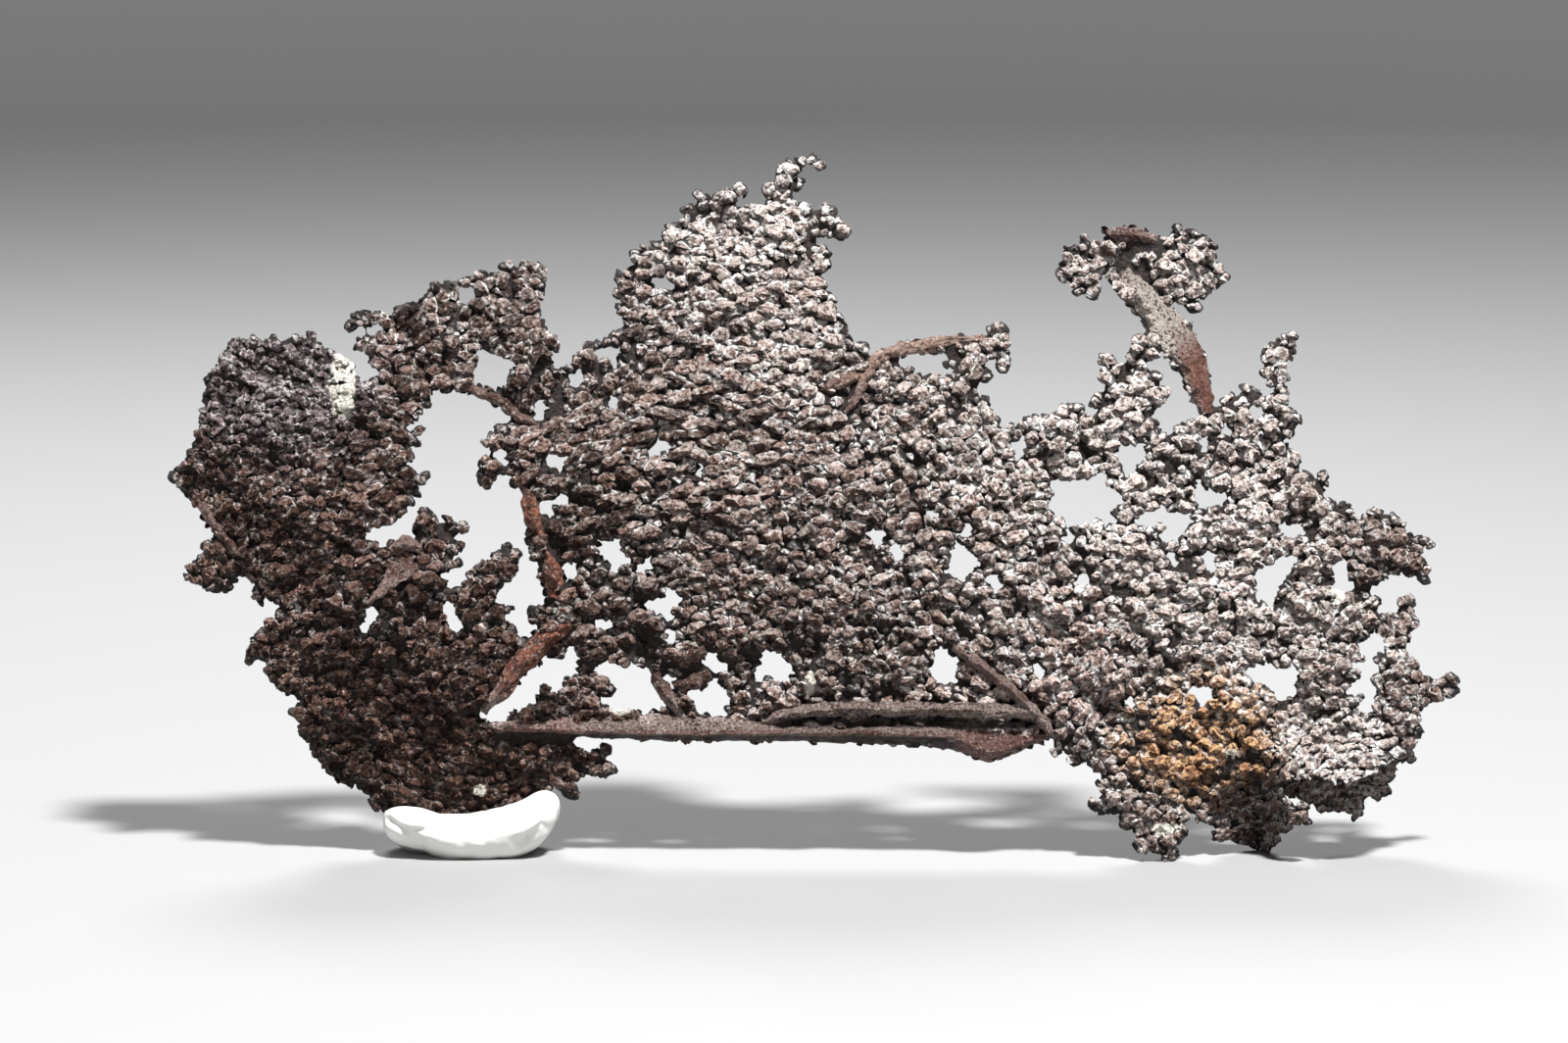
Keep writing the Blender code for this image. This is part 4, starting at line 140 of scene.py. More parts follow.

# %% [markdown]
# ## The outline
# The real sheet's edge is a row of nubs, so no circle or curve gives it.  It could be sculpted, but a
# flat plan is easier to measure and to correct, so its outline is drawn as a loop of points,
# clockwise from the tip at the far left.

# %% The outline of the sheet
LEFT_LOBE = [
    (-131.9, 77.6), (-130.5, 80.5), (-129.7, 81.7), (-127.8, 83.6), (-127.8, 85.5), (-126.2, 88.2),
    (-125.7, 90.5), (-125.3, 92.4), (-125, 94.7), (-124.9, 96.6), (-124.5, 98.9), (-123, 100.8),
    (-121.8, 103.1), (-120.1, 105), (-119.1, 106.6), (-117.8, 107.2), (-116.7, 106.6), (-115.1, 107.6),
    (-113.2, 107.1), (-112.6, 106.6), (-110.5, 107.7), (-109, 106.6), (-107.1, 107.7), (-105.2, 107.6),
    (-104.4, 106.9), (-103.3, 108.3), (-102.3, 107.7), (-101.7, 106.2), (-99.8, 105), (-97.9, 104.1),
    (-96.4, 103.3), (-94.8, 102), (-93.9, 100), (-93.3, 98.9), (-92.6, 97.4), (-91.4, 98.1), (-89.9, 99.3),
    (-88.6, 100.2), (-91, 101.4), (-91.2, 103.1), (-92, 104.3), (-94.7, 105.2), (-93.7, 106.7), (-92, 107.7),
    (-89.9, 107.6), (-88, 109), (-89, 109.9), (-92.5, 109.3), (-96.2, 109.7), (-94.5, 111.7), (-92, 112.7),
    (-89, 112.5), (-87.5, 111.5), (-86, 111.8), (-85.5, 113.8), (-83.5, 114.3), (-81, 114.2), (-80.2, 115.6),
    (-78, 118.3), (-75, 119), (-72.5, 118.7), (-70.5, 120), (-69, 120.8), (-67, 120.6), (-65.5, 120.4),
    (-64, 120.2), (-64.3, 122), (-63, 122.8), (-61.7, 122.5), (-61.3, 120.8), (-60.8, 119.8), (-60.5, 121.8),
    (-59.5, 123), (-58.3, 122.6), (-57.3, 123), (-56, 122), (-55.2, 121), (-54.9, 119.5), (-55.5, 118),
    (-55.5, 116), (-56, 114.5), (-56.2, 111.3), (-55.3, 110.5), (-54.5, 108.5), (-53, 106.8), (-52, 105),
    (-53, 104.3), (-54.5, 104.8), (-53.8, 102), (-52.3, 100.4), (-49.5, 102.5), (-48.5, 104.5),
    (-47.5, 106.2), (-45, 106.2), (-42, 108), (-39.8, 108.8),
]
DOME = [
    (-39.6, 110.4), (-40.2, 112.3), (-41, 113.4), (-39.6, 114.4), (-40.6, 115.5), (-41.3, 116.5),
    (-40.4, 117.5), (-40.8, 118.4), (-40.6, 120), (-39.2, 119.8), (-38.3, 121.3), (-36.2, 121.5),
    (-37.6, 122.6), (-37.9, 124.7), (-36.2, 125.1), (-35.2, 126.2), (-34.3, 125.5), (-32.5, 127),
    (-30.8, 126.5), (-31.8, 128.4), (-31, 129.4), (-29.3, 130.5), (-27, 131), (-27.8, 133), (-26.8, 133.9),
    (-25.3, 134.3), (-24.3, 133.7), (-23.9, 134.9), (-25.1, 135.6), (-23.9, 136.4), (-22.6, 136.7),
    (-21.4, 136.1), (-20.1, 136.6), (-19, 137.4), (-16.8, 137.7), (-16.2, 138.6), (-15, 138.6), (-14, 137.4),
    (-14.4, 136), (-16.3, 135.8), (-16.4, 133.7), (-14.7, 133.9), (-12.1, 134.2), (-10.9, 134.2),
    (-10.2, 135.3), (-10.4, 137), (-10.9, 138.1), (-10, 139.1), (-8.4, 139.3), (-8.2, 140.8), (-7.7, 142),
    (-5.6, 143.7), (-4.4, 143.5), (-2.4, 144.3), (0.2, 143.8), (1.4, 143), (1, 141.9), (-1.7, 142.3),
    (-3.2, 141.8), (-3.6, 140.2), (-4.8, 139.2), (-4, 138.9), (-2.3, 138.1), (-3.6, 137.3), (-5.4, 136.8),
    (-5.2, 135.6), (-2.9, 135.1), (-1.2, 134.6), (-0.9, 133.5), (-2.3, 132.3), (-0.6, 132.3), (1.2, 132.3),
    (0.5, 133.4), (0.9, 134.3), (2.1, 134.5), (3.6, 133.9), (4.2, 132.8), (3.9, 131.9), (5.2, 131.5),
    (6.1, 130.3), (7.3, 128.4), (5.9, 127.8), (5.6, 126.8), (4.4, 126.8), (3.3, 127.7), (1.3, 127.7),
    (-1, 127.5), (-2.5, 126.8), (-1.9, 124.9), (-0.4, 125.6), (0.5, 126.3), (2.1, 125.7), (3.1, 124.2),
    (2.7, 122.6), (2.9, 121.5), (1.7, 120.3), (0.9, 119.6), (2.1, 118.4), (2.4, 117.1), (3.6, 116.1),
    (4.6, 115), (3.4, 114), (5.2, 112.3), (5.9, 110.8), (5.5, 109.2), (6.9, 108.7), (7.4, 107.4),
    (7.3, 105.9), (6.9, 104.8), (7.5, 104.2), (7.7, 105.8), (9, 106.5), (10.1, 106), (10.9, 104.6),
    (11.2, 102.4),
]
ARM = [
    (12.4, 103.9), (14, 105.2), (16.3, 106.1), (20.1, 106.7), (23.9, 107.2), (27.7, 107.6), (31, 107.7),
    (34.6, 107.3), (34.8, 108.5), (36.2, 110), (38.4, 110.4), (39.3, 109.2), (39.2, 107.7), (39.6, 106.2),
    (39.2, 104.3), (39.7, 102.8), (39.2, 100.8), (38.1, 100.8), (37.1, 101.8), (36.2, 103.1), (34.9, 102.6),
    (34.6, 101.2), (35.8, 100.5), (36, 99.3), (35.4, 98), (33.9, 97.8), (32.8, 98.6), (32, 98.2),
    (31.4, 97.2), (33.3, 96.8), (33.3, 96.1), (32.6, 95.4), (34.8, 95.1), (35.3, 93.8), (36, 92.4),
    (36.4, 91.4), (37.4, 90.7), (37.4, 88.8), (38.8, 89), (40, 89.7), (41.5, 89.4), (42.7, 90.9),
    (44.8, 91.4), (46.1, 91.3), (48.1, 91.9), (49.4, 92.1), (49.9, 93.5), (51.1, 93.5), (52.8, 93.9),
    (54.4, 93.4), (55.1, 91.9), (56.1, 90.6), (58.1, 91.9), (58, 92.7), (56.4, 93.2), (56.1, 94.5),
    (57.1, 95.7), (58.7, 96), (59.9, 95.6), (59.4, 96.9), (58.4, 97.5), (58.1, 98.9), (57.9, 101.2),
    (57.7, 102.8), (58.1, 103.8), (59.1, 104.2), (60.4, 103.5), (61.4, 102.5), (62.5, 101), (62.3, 99.5),
    (63.4, 99), (64, 99.6), (63.5, 101.4), (63.4, 103.2), (64.2, 104.3), (64.4, 105.5), (64.7, 107.1),
    (66, 107.9), (67.3, 107.6), (68, 107.3),
]
STALK_AND_CROWN = [
    (66.7, 109.5), (64.7, 112.1), (63.4, 114.1), (61.5, 116.1), (60.7, 117.1), (59.9, 118.8), (58.9, 120.4),
    (57.9, 119.4), (57.6, 118.3), (57.9, 116.1), (56.4, 114.9), (54.7, 115.8), (52.8, 115.8), (52.1, 117.1),
    (51.4, 118.6), (50.4, 118.4), (49.3, 119.3), (49.8, 121.1), (49.6, 122.4), (50.4, 123.6), (50.6, 124.9),
    (51.4, 125.9), (53.1, 126.2), (54, 126), (53.9, 127), (54.7, 128.1), (55.7, 127.9), (56.1, 126.9),
    (57.4, 126.7), (58.8, 126.4), (58.4, 129), (58.5, 129.8), (59.7, 129.6), (61.4, 129.5), (63, 129.9),
    (65.4, 129.9), (68, 129), (69.7, 128.2), (71.5, 127.4), (72, 128.2), (73.2, 129), (73.3, 129.9),
    (74.6, 130.2), (75.2, 129.3), (76.6, 129.4), (77.6, 128.7), (79, 127.9), (80.1, 127.9), (81.1, 127),
    (81.6, 126.2), (80.8, 124.6), (81.9, 124.1), (81.6, 122.9), (82.9, 122.4), (83.5, 121), (83.9, 119.3),
    (82.9, 118.3), (82.1, 117.3), (80.6, 116.9), (80.3, 115.8), (79.5, 115.1), (78.3, 115.8), (77.8, 114.7),
    (77.5, 113.6), (78.3, 112.5), (77.3, 112), (76, 112.5), (75.2, 113.4), (74, 114.1), (72.4, 114.1),
    (72, 113.1), (72.8, 111.5), (74.3, 111), (76, 110.3), (77.3, 110.5), (77.6, 109.5), (77, 107.8),
    (78.3, 105.8), (79.3, 103.8), (80, 102.2), (80.1, 99.5), (80.4, 96.9), (80.8, 93.9), (81.3, 92.4),
]
RIGHT_TOP = [
    (82.6, 93.9), (83.9, 95.5), (84.9, 96), (85.5, 95.2), (84.9, 93.9), (84.7, 92.6), (85.4, 91.3),
    (86.1, 92.2), (85.9, 93.5), (86.3, 94.9), (87.2, 95.6), (86.9, 97.2), (87.7, 97.7), (88.8, 97),
    (90, 97.3), (90.5, 96.3), (91.9, 95), (92.7, 95.4), (93.6, 95.8), (93.8, 96.8), (91.9, 97.3), (92.1, 99),
    (91.1, 99.4), (90.8, 99.9), (91.1, 100.5), (91.9, 100.9), (90.9, 102.3), (90.8, 103.2), (91.3, 103.8),
    (91, 104.4), (91.7, 104.9), (92.5, 106.3), (93.6, 106.8), (94.6, 107), (95.5, 107.8), (96.7, 108.5),
    (97.6, 108.5), (98, 107.6), (97.9, 106.5), (97.8, 105.3), (98, 103.8), (97.8, 103), (96.3, 101.9),
    (96.2, 100.7), (96.5, 98.8), (95.8, 97.6), (96.6, 96.9), (96.5, 95.7), (95.8, 94.8), (96.3, 93.3),
    (95.9, 92.7), (97.4, 92.8), (98.5, 91.9), (99.5, 90.8), (99, 89.6), (97.8, 88.9), (97.8, 87.5),
    (97.1, 86.7), (95.9, 86.9), (95.1, 87.5), (93.8, 87.2), (94.7, 86), (95.7, 85.4), (96.7, 84.5),
    (97.8, 84), (98.7, 82.2), (98.4, 80), (99.7, 79.4), (100.9, 79.6), (101.4, 78.1), (102.1, 77.8),
    (102.3, 79.4), (103.6, 80), (104.7, 79.2), (104.6, 77.3), (103.8, 75.7), (104, 74.4), (105, 74.1),
    (105.8, 73.6), (107.4, 73.7), (109.1, 73.1), (109.9, 71.6), (110.3, 70.2), (111.5, 70.6), (112.9, 71),
    (113.6, 72.2), (115, 72.5), (116.2, 71.2), (117, 71.1), (118.2, 71.4), (119.1, 70.4), (120.1, 69.2),
    (120.4, 67), (121.7, 67.4), (122.9, 66.7), (124.2, 66.5), (125.4, 66.1), (126, 65.1), (125.4, 64.1),
    (124.2, 64.7), (123.2, 64.8), (123.8, 63.5), (123.6, 62.4), (124.2, 61.8), (125, 60.6), (125.7, 59.4),
    (125, 57.6), (122.9, 57.8), (121.8, 58.4), (120.5, 58), (119.4, 59), (118.2, 58.4), (116, 57.8),
    (114.8, 56.5), (112.7, 56.5), (110.3, 56.5), (108.5, 57.6), (108.5, 61.2), (109.4, 62.8), (107.6, 62.9),
    (107, 61.8), (105.4, 60.6), (105.8, 59.4), (105.2, 58.2), (105.4, 57.3), (105.6, 56.1), (107.2, 55.7),
    (107.9, 54.9), (109.1, 55.3), (111.9, 55.3), (113.6, 54.5), (115.2, 53.7), (115, 52.4), (114.2, 51.8),
    (114.8, 51), (114.9, 49.8), (116, 50.6), (117.6, 50.8), (118.8, 51.4), (118.4, 53.4), (119.7, 54.5),
    (121.3, 54.5), (122.5, 53.3), (122.1, 51.6), (122.9, 50), (122.8, 48.4), (121.8, 46.6), (120.4, 45),
    (120.2, 43.7), (121.5, 41.9), (122.8, 40.7), (123.1, 39.1), (124.7, 38.2), (125.8, 37), (127.2, 37.2),
    (128.2, 38.2), (130.1, 38.8), (131.2, 38.2), (131.4, 37.2), (130.7, 35.7), (131.2, 34.3), (130.1, 33.4),
    (128.2, 33.4), (126.6, 32.9), (125, 32.3), (123.4, 31), (123.4, 28.9), (124.1, 26.8), (123.2, 25.6),
    (122.6, 24.1), (121.6, 23), (120.2, 22.4), (118.4, 20.8), (116.8, 19.4), (114, 18.4), (112.4, 17),
    (110.4, 16.6), (108, 16.4), (105.6, 16.2), (103, 16.4), (100.6, 16.8), (98.2, 17), (96.2, 16.6),
    (94.8, 15.9),
]
FEET = [
    (96, 14.9), (95.8, 13.8), (95.5, 13.2), (96.6, 12.4), (98.2, 12.2), (100, 12.2), (100.2, 11),
    (100.6, 9.8), (101.3, 8.4), (99.8, 8.2), (98.2, 7.6), (96.6, 6.8), (95.2, 5.6), (94, 4.2), (93, 3.1),
    (91.2, 2.4), (89.2, 3.2), (86.6, 3.8), (84.9, 4.3), (82.9, 4.6), (80.9, 4.2), (80.4, 5), (80.9, 6.2),
    (81.8, 7.4), (79.3, 8.1), (77.8, 8.7), (77.3, 9.6), (77.9, 10.3), (76.6, 10.7), (76, 9.4), (75.4, 8.4),
    (76, 7.1), (75.6, 5.6), (74.6, 4.4), (73.8, 3.4), (73.6, 1.6), (72.9, -0.4), (71.1, -0.4), (70.5, 1.6),
    (68.7, 2.1), (66.4, 1.8), (65, 2.6), (64.7, 3.8), (65.6, 5), (65, 6.2), (64.2, 7), (63, 6.6),
    (61.9, 7.6), (61.9, 8.9), (62.6, 10), (61, 9.9), (58.7, 9.7), (57.1, 10.5), (55.7, 12), (56.1, 13),
    (58.1, 12.9), (58.8, 14), (57.7, 14.5), (56.9, 15.9), (57.4, 16.7), (59.6, 17), (60, 18.6), (58.7, 18.3),
    (57.4, 18.3), (56.4, 19.2), (55.4, 20.2), (54.4, 21), (53.3, 20.2), (51.8, 19.8), (51.1, 20.8),
    (51.4, 22.2), (50.1, 23.3), (49.3, 21.2), (48.1, 21.8), (47.9, 22.8), (48.6, 24.6), (48.4, 25.8),
]
BOTTOM_RIB_EDGE = [
    (46.6, 24.6), (43.8, 23.5), (40.9, 22.2), (38.5, 21.2), (35.2, 20.9), (33.6, 20.6), (32, 21.4),
    (30.4, 22.3), (28.4, 22.9), (25, 23.5), (18, 23.7), (10, 24.1), (1.7, 24.2), (-10, 24.8), (-12.1, 24.2),
    (-18.7, 24.8), (-28.7, 24.8), (-40, 25), (-45.3, 25.6), (-52.6, 26.2), (-60, 26.4), (-66, 26.3),
]
LOWER_LEFT = [
    (-66, 24.8), (-61.5, 24.6), (-57.5, 25), (-54, 25.2), (-49.5, 24.6), (-47.5, 23), (-46.3, 22.7),
    (-43.5, 24.2), (-41.9, 22.8), (-42.3, 20.8), (-41, 18.8), (-41.5, 17.8), (-43, 17.2), (-44.5, 17.5),
    (-46.5, 18), (-49.2, 16.5), (-48.7, 15), (-48.8, 13.5), (-50, 13), (-51.5, 14), (-52.5, 15),
    (-55.2, 14.3), (-56.3, 12.5), (-58, 9.5), (-60, 6.6), (-66, 5), (-74, 4.8), (-80, 5.6), (-85, 7.6),
    (-88.8, 10.6), (-90.5, 10.8), (-91.5, 13.2), (-92.5, 14.5), (-94, 15.5), (-97.5, 16.4), (-100, 18.5),
    (-101.3, 20), (-102.5, 22), (-104, 24.4), (-105.6, 26.7), (-106.1, 29), (-107.1, 31.1), (-105.6, 32.8),
    (-106.1, 34.3), (-107.5, 34.3), (-109.8, 35.5), (-111.3, 37), (-112.1, 38.9), (-112.8, 41.2),
    (-114.7, 41.6), (-115.5, 40.1), (-116.5, 40.8), (-115.7, 43.1), (-115.5, 45), (-114.4, 47.1),
    (-112.5, 48.5), (-112.5, 49.6), (-110.5, 50.4), (-109.6, 51.5), (-109.2, 53.3), (-110.3, 52.7),
    (-111.1, 53.6), (-112.6, 54), (-113.8, 52.7), (-114.4, 53.8), (-115.3, 55.8), (-114.7, 56.9),
    (-116.7, 58), (-118, 59), (-118.4, 57.3), (-119, 55.6), (-120.9, 54.8), (-123.2, 55.4), (-125.8, 56.5),
    (-128.5, 57.5), (-129.1, 58.8), (-127.6, 60.7), (-126.4, 62.3), (-125.3, 63.8), (-125.7, 65.3),
    (-123.9, 65.9), (-122.8, 66.4), (-123.8, 67.8), (-125, 69), (-126, 71.2), (-127.5, 73), (-128.5, 75),
    (-129.8, 76), (-131, 77),
]
OUTLINE = LEFT_LOBE + DOME + ARM + STALK_AND_CROWN + RIGHT_TOP + FEET + BOTTOM_RIB_EDGE + LOWER_LEFT
# The rear flap at the lower right hangs behind the rolled lip, from the same sheet.
REAR_FLAP = [
    (96, 27), (120, 27), (122, 22.4), (121.9, 20.2), (119.4, 20), (117.6, 18.6), (118, 17.4), (116.8, 15.8),
    (117.2, 14.6), (116.2, 13.4), (114.8, 12.8), (113.2, 13.2), (112, 13), (111.9, 11.7), (111.2, 10.4),
    (111.2, 8.8), (110, 8.6), (109.3, 10), (106.5, 10.4), (103.3, 10.1), (102.1, 10.5), (101.8, 12),
    (99, 12.6), (96.6, 13.8), (95, 15.6),
]
print("outline of", len(OUTLINE), "points, flap of", len(REAR_FLAP))

# %% [markdown]
# ## The gaps
# Daylight shows through the lace at scores of places.  Each gap that is more than a pinhole is a small
# loop of its own, listed by the part of the sheet that it lies in.  The smallest are ellipses, and a
# formula makes their points.

# %% Gaps that go right through
LEFT_GAPS = [
    [(-87.8, 54.4), (-88.4, 52.4), (-90, 50.2), (-90.8, 48), (-92, 46.4), (-93.6, 47), (-92.6, 48.8),
     (-91.8, 51), (-90.2, 53.2)],
    [(-85.6, 50.8), (-86.4, 49), (-87.6, 47.6), (-88.6, 48.2), (-87.6, 49.8), (-86.6, 50.8)],
    [(-78.5, 96.3), (-78.4, 93.7), (-81.1, 90.5), (-84.1, 89.1), (-83.4, 88), (-80.3, 88.4), (-80.5, 87.4),
     (-82.2, 86.7), (-80.5, 85.3), (-83.7, 84.9), (-82, 82.6), (-84.1, 81.3), (-80.9, 79.4), (-78.8, 79.2),
     (-79.5, 77.9), (-82, 76.7), (-80.5, 75.7), (-82.6, 75.2), (-82.2, 73.1), (-84.1, 70.6), (-88, 68.5),
     (-91.8, 67.5), (-92.2, 66.4), (-88.5, 64.6), (-85.9, 66.5), (-83.7, 66.5), (-82, 65.3), (-82, 69.5),
     (-80.3, 72.6), (-78, 71.8), (-76.7, 69), (-74.8, 71.2), (-74, 69.3), (-71, 69.2), (-72, 67),
     (-75, 67.8), (-77, 66.5), (-73.8, 66), (-72, 63.8), (-74.2, 62.5), (-72.7, 60.5), (-76.8, 58.9),
     (-74.3, 55.9), (-71.3, 57.8), (-71, 58.9), (-68.2, 61.7), (-66.8, 61.2), (-65.5, 63.4), (-63, 65.3),
     (-60.2, 63.4), (-60.9, 61.2), (-61.3, 58.5), (-65.3, 54.7), (-65.5, 53), (-61.7, 51.8), (-64.2, 49.5),
     (-61.8, 48.7), (-60.5, 45.5), (-59, 46.3), (-56, 48.3), (-58.6, 49), (-58.8, 52), (-57.5, 52.7),
     (-54.9, 52.4), (-56.4, 58), (-57.6, 61.5), (-59.2, 65), (-59.2, 68), (-60, 73), (-60.3, 76.2),
     (-62.2, 76.4), (-62.3, 79), (-64.3, 78.8), (-67.5, 76), (-69.2, 77.7), (-68.8, 82), (-67.5, 83),
     (-65.5, 82.7), (-63.7, 80.8), (-62.3, 81.2), (-62.5, 83), (-64, 85), (-65.5, 83.7), (-68, 86),
     (-66.3, 87.8), (-64.5, 89.6), (-60.2, 89.6), (-62.5, 91), (-65.5, 93), (-70.5, 95), (-72.5, 96),
     (-75.5, 96)],
    [(-75.5, 53.5), (-74.2, 53), (-73.3, 51), (-71.8, 47.5), (-73.5, 46.8), (-75.7, 49.5), (-76.2, 51.3)],
    [(-68.5, 31.2), (-66.5, 31.5), (-64.5, 33), (-62, 35), (-59, 38.5), (-57, 39), (-55, 42), (-52.5, 41.3),
     (-51, 42), (-50.3, 46.8), (-49.3, 46), (-48.7, 42.5), (-48.5, 39), (-50.2, 37.6), (-51, 38.1),
     (-51.9, 37.3), (-52.2, 34.6), (-54.3, 34.6), (-54.5, 36.3), (-55.5, 36.5), (-56.3, 35.5), (-57.3, 32.3),
     (-59, 32.2), (-60.3, 30.6), (-61.2, 31.3), (-62.3, 30.8), (-63.2, 28.8), (-66, 28.2), (-67.6, 29)],
]
ARCH_GAPS = [
    [(-76.2, 102.4), (-75.3, 102.6), (-75.4, 108), (-76.2, 107.8)],
    [(-80.3, 101.5), (-79, 102.3), (-78.8, 99.5), (-79, 98), (-80, 99.5)],
    [(-73.3, 117.3), (-70.3, 117.6), (-69.8, 115.5), (-70.3, 113.8), (-72.2, 113.7), (-72.8, 115.2)],
    [(-74, 110.2), (-70.4, 110.3), (-70.4, 111.2), (-74, 111.1)],
    [(-69.5, 104.5), (-68, 104.8), (-64.5, 103.2), (-61.8, 102.5), (-61.5, 101.2), (-63, 99.5),
     (-63.8, 97.3), (-65, 96.6), (-69.7, 97.6), (-69.8, 99.5), (-68.9, 103)],
    [(-58.5, 99.8), (-56.5, 99.8), (-56, 98.5), (-57.5, 97.6), (-58.2, 98)],
    [(-57, 94.2), (-56, 94.8), (-54.8, 93), (-55, 91.5), (-57.8, 89.5), (-57.6, 91.5)],
    [(-52.5, 99), (-51.7, 94.5), (-51.3, 92.5), (-52.3, 92.8), (-53.5, 95), (-53, 97.5)],
    [(-50.3, 99.3), (-48, 101), (-47.2, 99.5), (-49, 95.5), (-50, 96.5)],
    [(-45.5, 104.3), (-42, 105), (-39.9, 105.6), (-39.9, 103.5), (-41.6, 99.5), (-42, 101.5), (-43.5, 102.8),
     (-44.5, 102.3)],
]
DOME_GAPS = [
    [(-38.3, 106.3), (-37.2, 107), (-36.4, 106), (-36.6, 104.8), (-34.6, 103.2), (-34.4, 102),
     (-35.6, 101.8), (-38.6, 104.2)],
    [(-34.8, 119), (-33.1, 119.4), (-30.5, 120), (-30, 118.7), (-28.5, 117.8), (-26.6, 117.7),
     (-23.5, 118.6), (-23.2, 117.8), (-26.2, 116.7), (-28.1, 116.3), (-32.2, 117.1), (-33.9, 118.3)],
    [(-24.4, 133.4), (-23, 133), (-21.8, 133.2), (-21.6, 132.4), (-23.2, 131.9), (-24.2, 132.6)],
    [(-0.8, 129.5), (0.2, 131), (1.5, 130.4), (3.4, 129.2), (2.6, 128.8), (0.4, 129.2)],
    [(-6.2, 121.6), (-4.6, 122.4), (-3.4, 123.9), (-2.8, 123.9), (-3.4, 122.2), (-5, 121.4)],
]
WEB_GAPS = [
    [(-56, 83.2), (-53.8, 83.2), (-51, 82.8), (-50.2, 81.6), (-52.2, 79.8), (-55.5, 82)],
    [(-49.5, 77), (-47.2, 77.8), (-44.6, 79.6), (-46, 79.6), (-49.6, 78.2)],
    [(-56.2, 74), (-54, 73.6), (-52.3, 75.2), (-49.5, 75.2), (-47, 73.4), (-43.6, 72.6), (-44.6, 71.8),
     (-49.2, 73), (-51.5, 73.3), (-53.6, 70.8), (-55.8, 71)],
    [(-41, 78), (-38.8, 77.8), (-37.2, 77), (-38.5, 76), (-40.3, 75.6)],
    [(-33.7, 86.5), (-32, 86.8), (-30, 85.8), (-29.2, 85.2), (-30, 84.2), (-32, 83.2), (-34.1, 82.2),
     (-34.1, 84.2)],
    [(-45.4, 66.2), (-42, 65.9), (-39.8, 66.2), (-39.4, 64.5), (-38.8, 62.5), (-37.4, 61.2), (-39.8, 60.2),
     (-42, 59), (-43.2, 62), (-44.5, 64.5)],
    [(-37, 60.2), (-36, 61.2), (-32.9, 62.9), (-33.2, 61.2), (-34, 59.8), (-35.6, 58.9), (-37, 59.4)],
    [(-54.8, 66), (-52, 65.8), (-50.2, 65.4), (-50.8, 64.2), (-53.8, 64.2)],
    [(-52, 61), (-50, 60.8), (-48, 62.3), (-46.2, 62.2), (-48.6, 60.3), (-49, 58), (-50.8, 57.3),
     (-51.3, 58.5)],
    [(-38, 55.8), (-36.7, 56.6), (-36.2, 54.8), (-34.3, 53.6), (-32.2, 53.4), (-30.9, 54.6), (-30.3, 56.2),
     (-29.2, 56), (-28.2, 54.6), (-26.9, 53.9), (-27.6, 52.4), (-28.9, 51.6), (-29.5, 48), (-28.8, 46.6),
     (-28.9, 45.2), (-30.2, 44.6), (-30.9, 45.3), (-30.2, 48.5), (-31.3, 50.6), (-34.2, 51.6), (-37.5, 54)],
    [(-47, 49.3), (-45, 50), (-43, 49.6), (-40.2, 48.3), (-40.5, 47.5), (-43.5, 47.6), (-45, 48.3)],
    [(-36.8, 48.3), (-35.3, 48), (-33.2, 46), (-34.5, 45), (-36.3, 45.5)],
]
LOW_MIDDLE_GAPS = [
    [(-44.9, 40.1), (-41.9, 41.1), (-39.9, 40.1), (-38.6, 39.8), (-38.2, 41.2), (-35.3, 39.4), (-34, 42.5),
     (-32.4, 41.8), (-32.8, 40.3), (-33.8, 39.6), (-34.2, 38), (-33, 35.2), (-31.4, 33.2), (-30.3, 32.4),
     (-32.2, 31), (-35.3, 30.6), (-38.6, 31.5), (-41.6, 31.1), (-42.6, 32.3), (-44.2, 32.3), (-44.3, 33.4),
     (-43.3, 33.7), (-41.1, 34.8), (-41.3, 36.4), (-42.2, 37.5), (-44.9, 38.4)],
    [(-31.4, 40.1), (-30, 40.2), (-29.8, 39.2), (-30.1, 38.2), (-28.8, 37.6), (-28.5, 36), (-29.4, 35.4),
     (-30.7, 36.5), (-31.7, 38)],
    [(-27.6, 38.9), (-26.4, 39.6), (-24.8, 40.5), (-22.3, 42.2), (-20.4, 42.6), (-19.5, 40.7), (-16.5, 41),
     (-16.4, 39.3), (-19.6, 38.8), (-19.7, 36.5), (-18.2, 35.5), (-17.6, 32.7), (-18.2, 31.5), (-18.6, 29.4),
     (-22.1, 30.3), (-25, 30.5), (-24, 31.3), (-24.2, 32.3), (-26.2, 33.6), (-26, 34.8), (-22.5, 35.4),
     (-20.9, 37.1), (-20.7, 39), (-21.2, 40.6), (-23.1, 40.3), (-24.8, 39), (-26.4, 38.5)],
    [(-15.9, 43), (-15, 43.9), (-13.4, 43.4), (-13.2, 42.6), (-14.6, 42.4)],
    [(-12.2, 38.8), (-11.5, 41.2), (-10, 43.3), (-8.1, 42.9), (-6.2, 41.3), (-4.8, 39.9), (-4.8, 37.8),
     (-5.6, 37), (-8.1, 37), (-10.6, 37.9), (-11.6, 35.8), (-12.6, 34.4), (-12.8, 31.8), (-13.4, 32.2),
     (-12.9, 36)],
    [(-0.9, 43.5), (-0.3, 45), (0.4, 45), (0.6, 44), (0.3, 40), (-0.2, 40)],
    [(4.3, 37.6), (6, 38), (8, 38), (7.6, 37.2), (6.2, 36.5), (4.8, 36.8)],
    [(2, 30.8), (3.5, 31), (5, 32), (6.5, 33.2), (7.8, 34), (7.7, 35), (5.5, 34.8), (5.8, 33.6), (3, 32.2)],
    [(10.9, 33.5), (10.8, 35.2), (12, 36), (13.2, 36), (12.2, 35), (11.8, 33.6)],
]
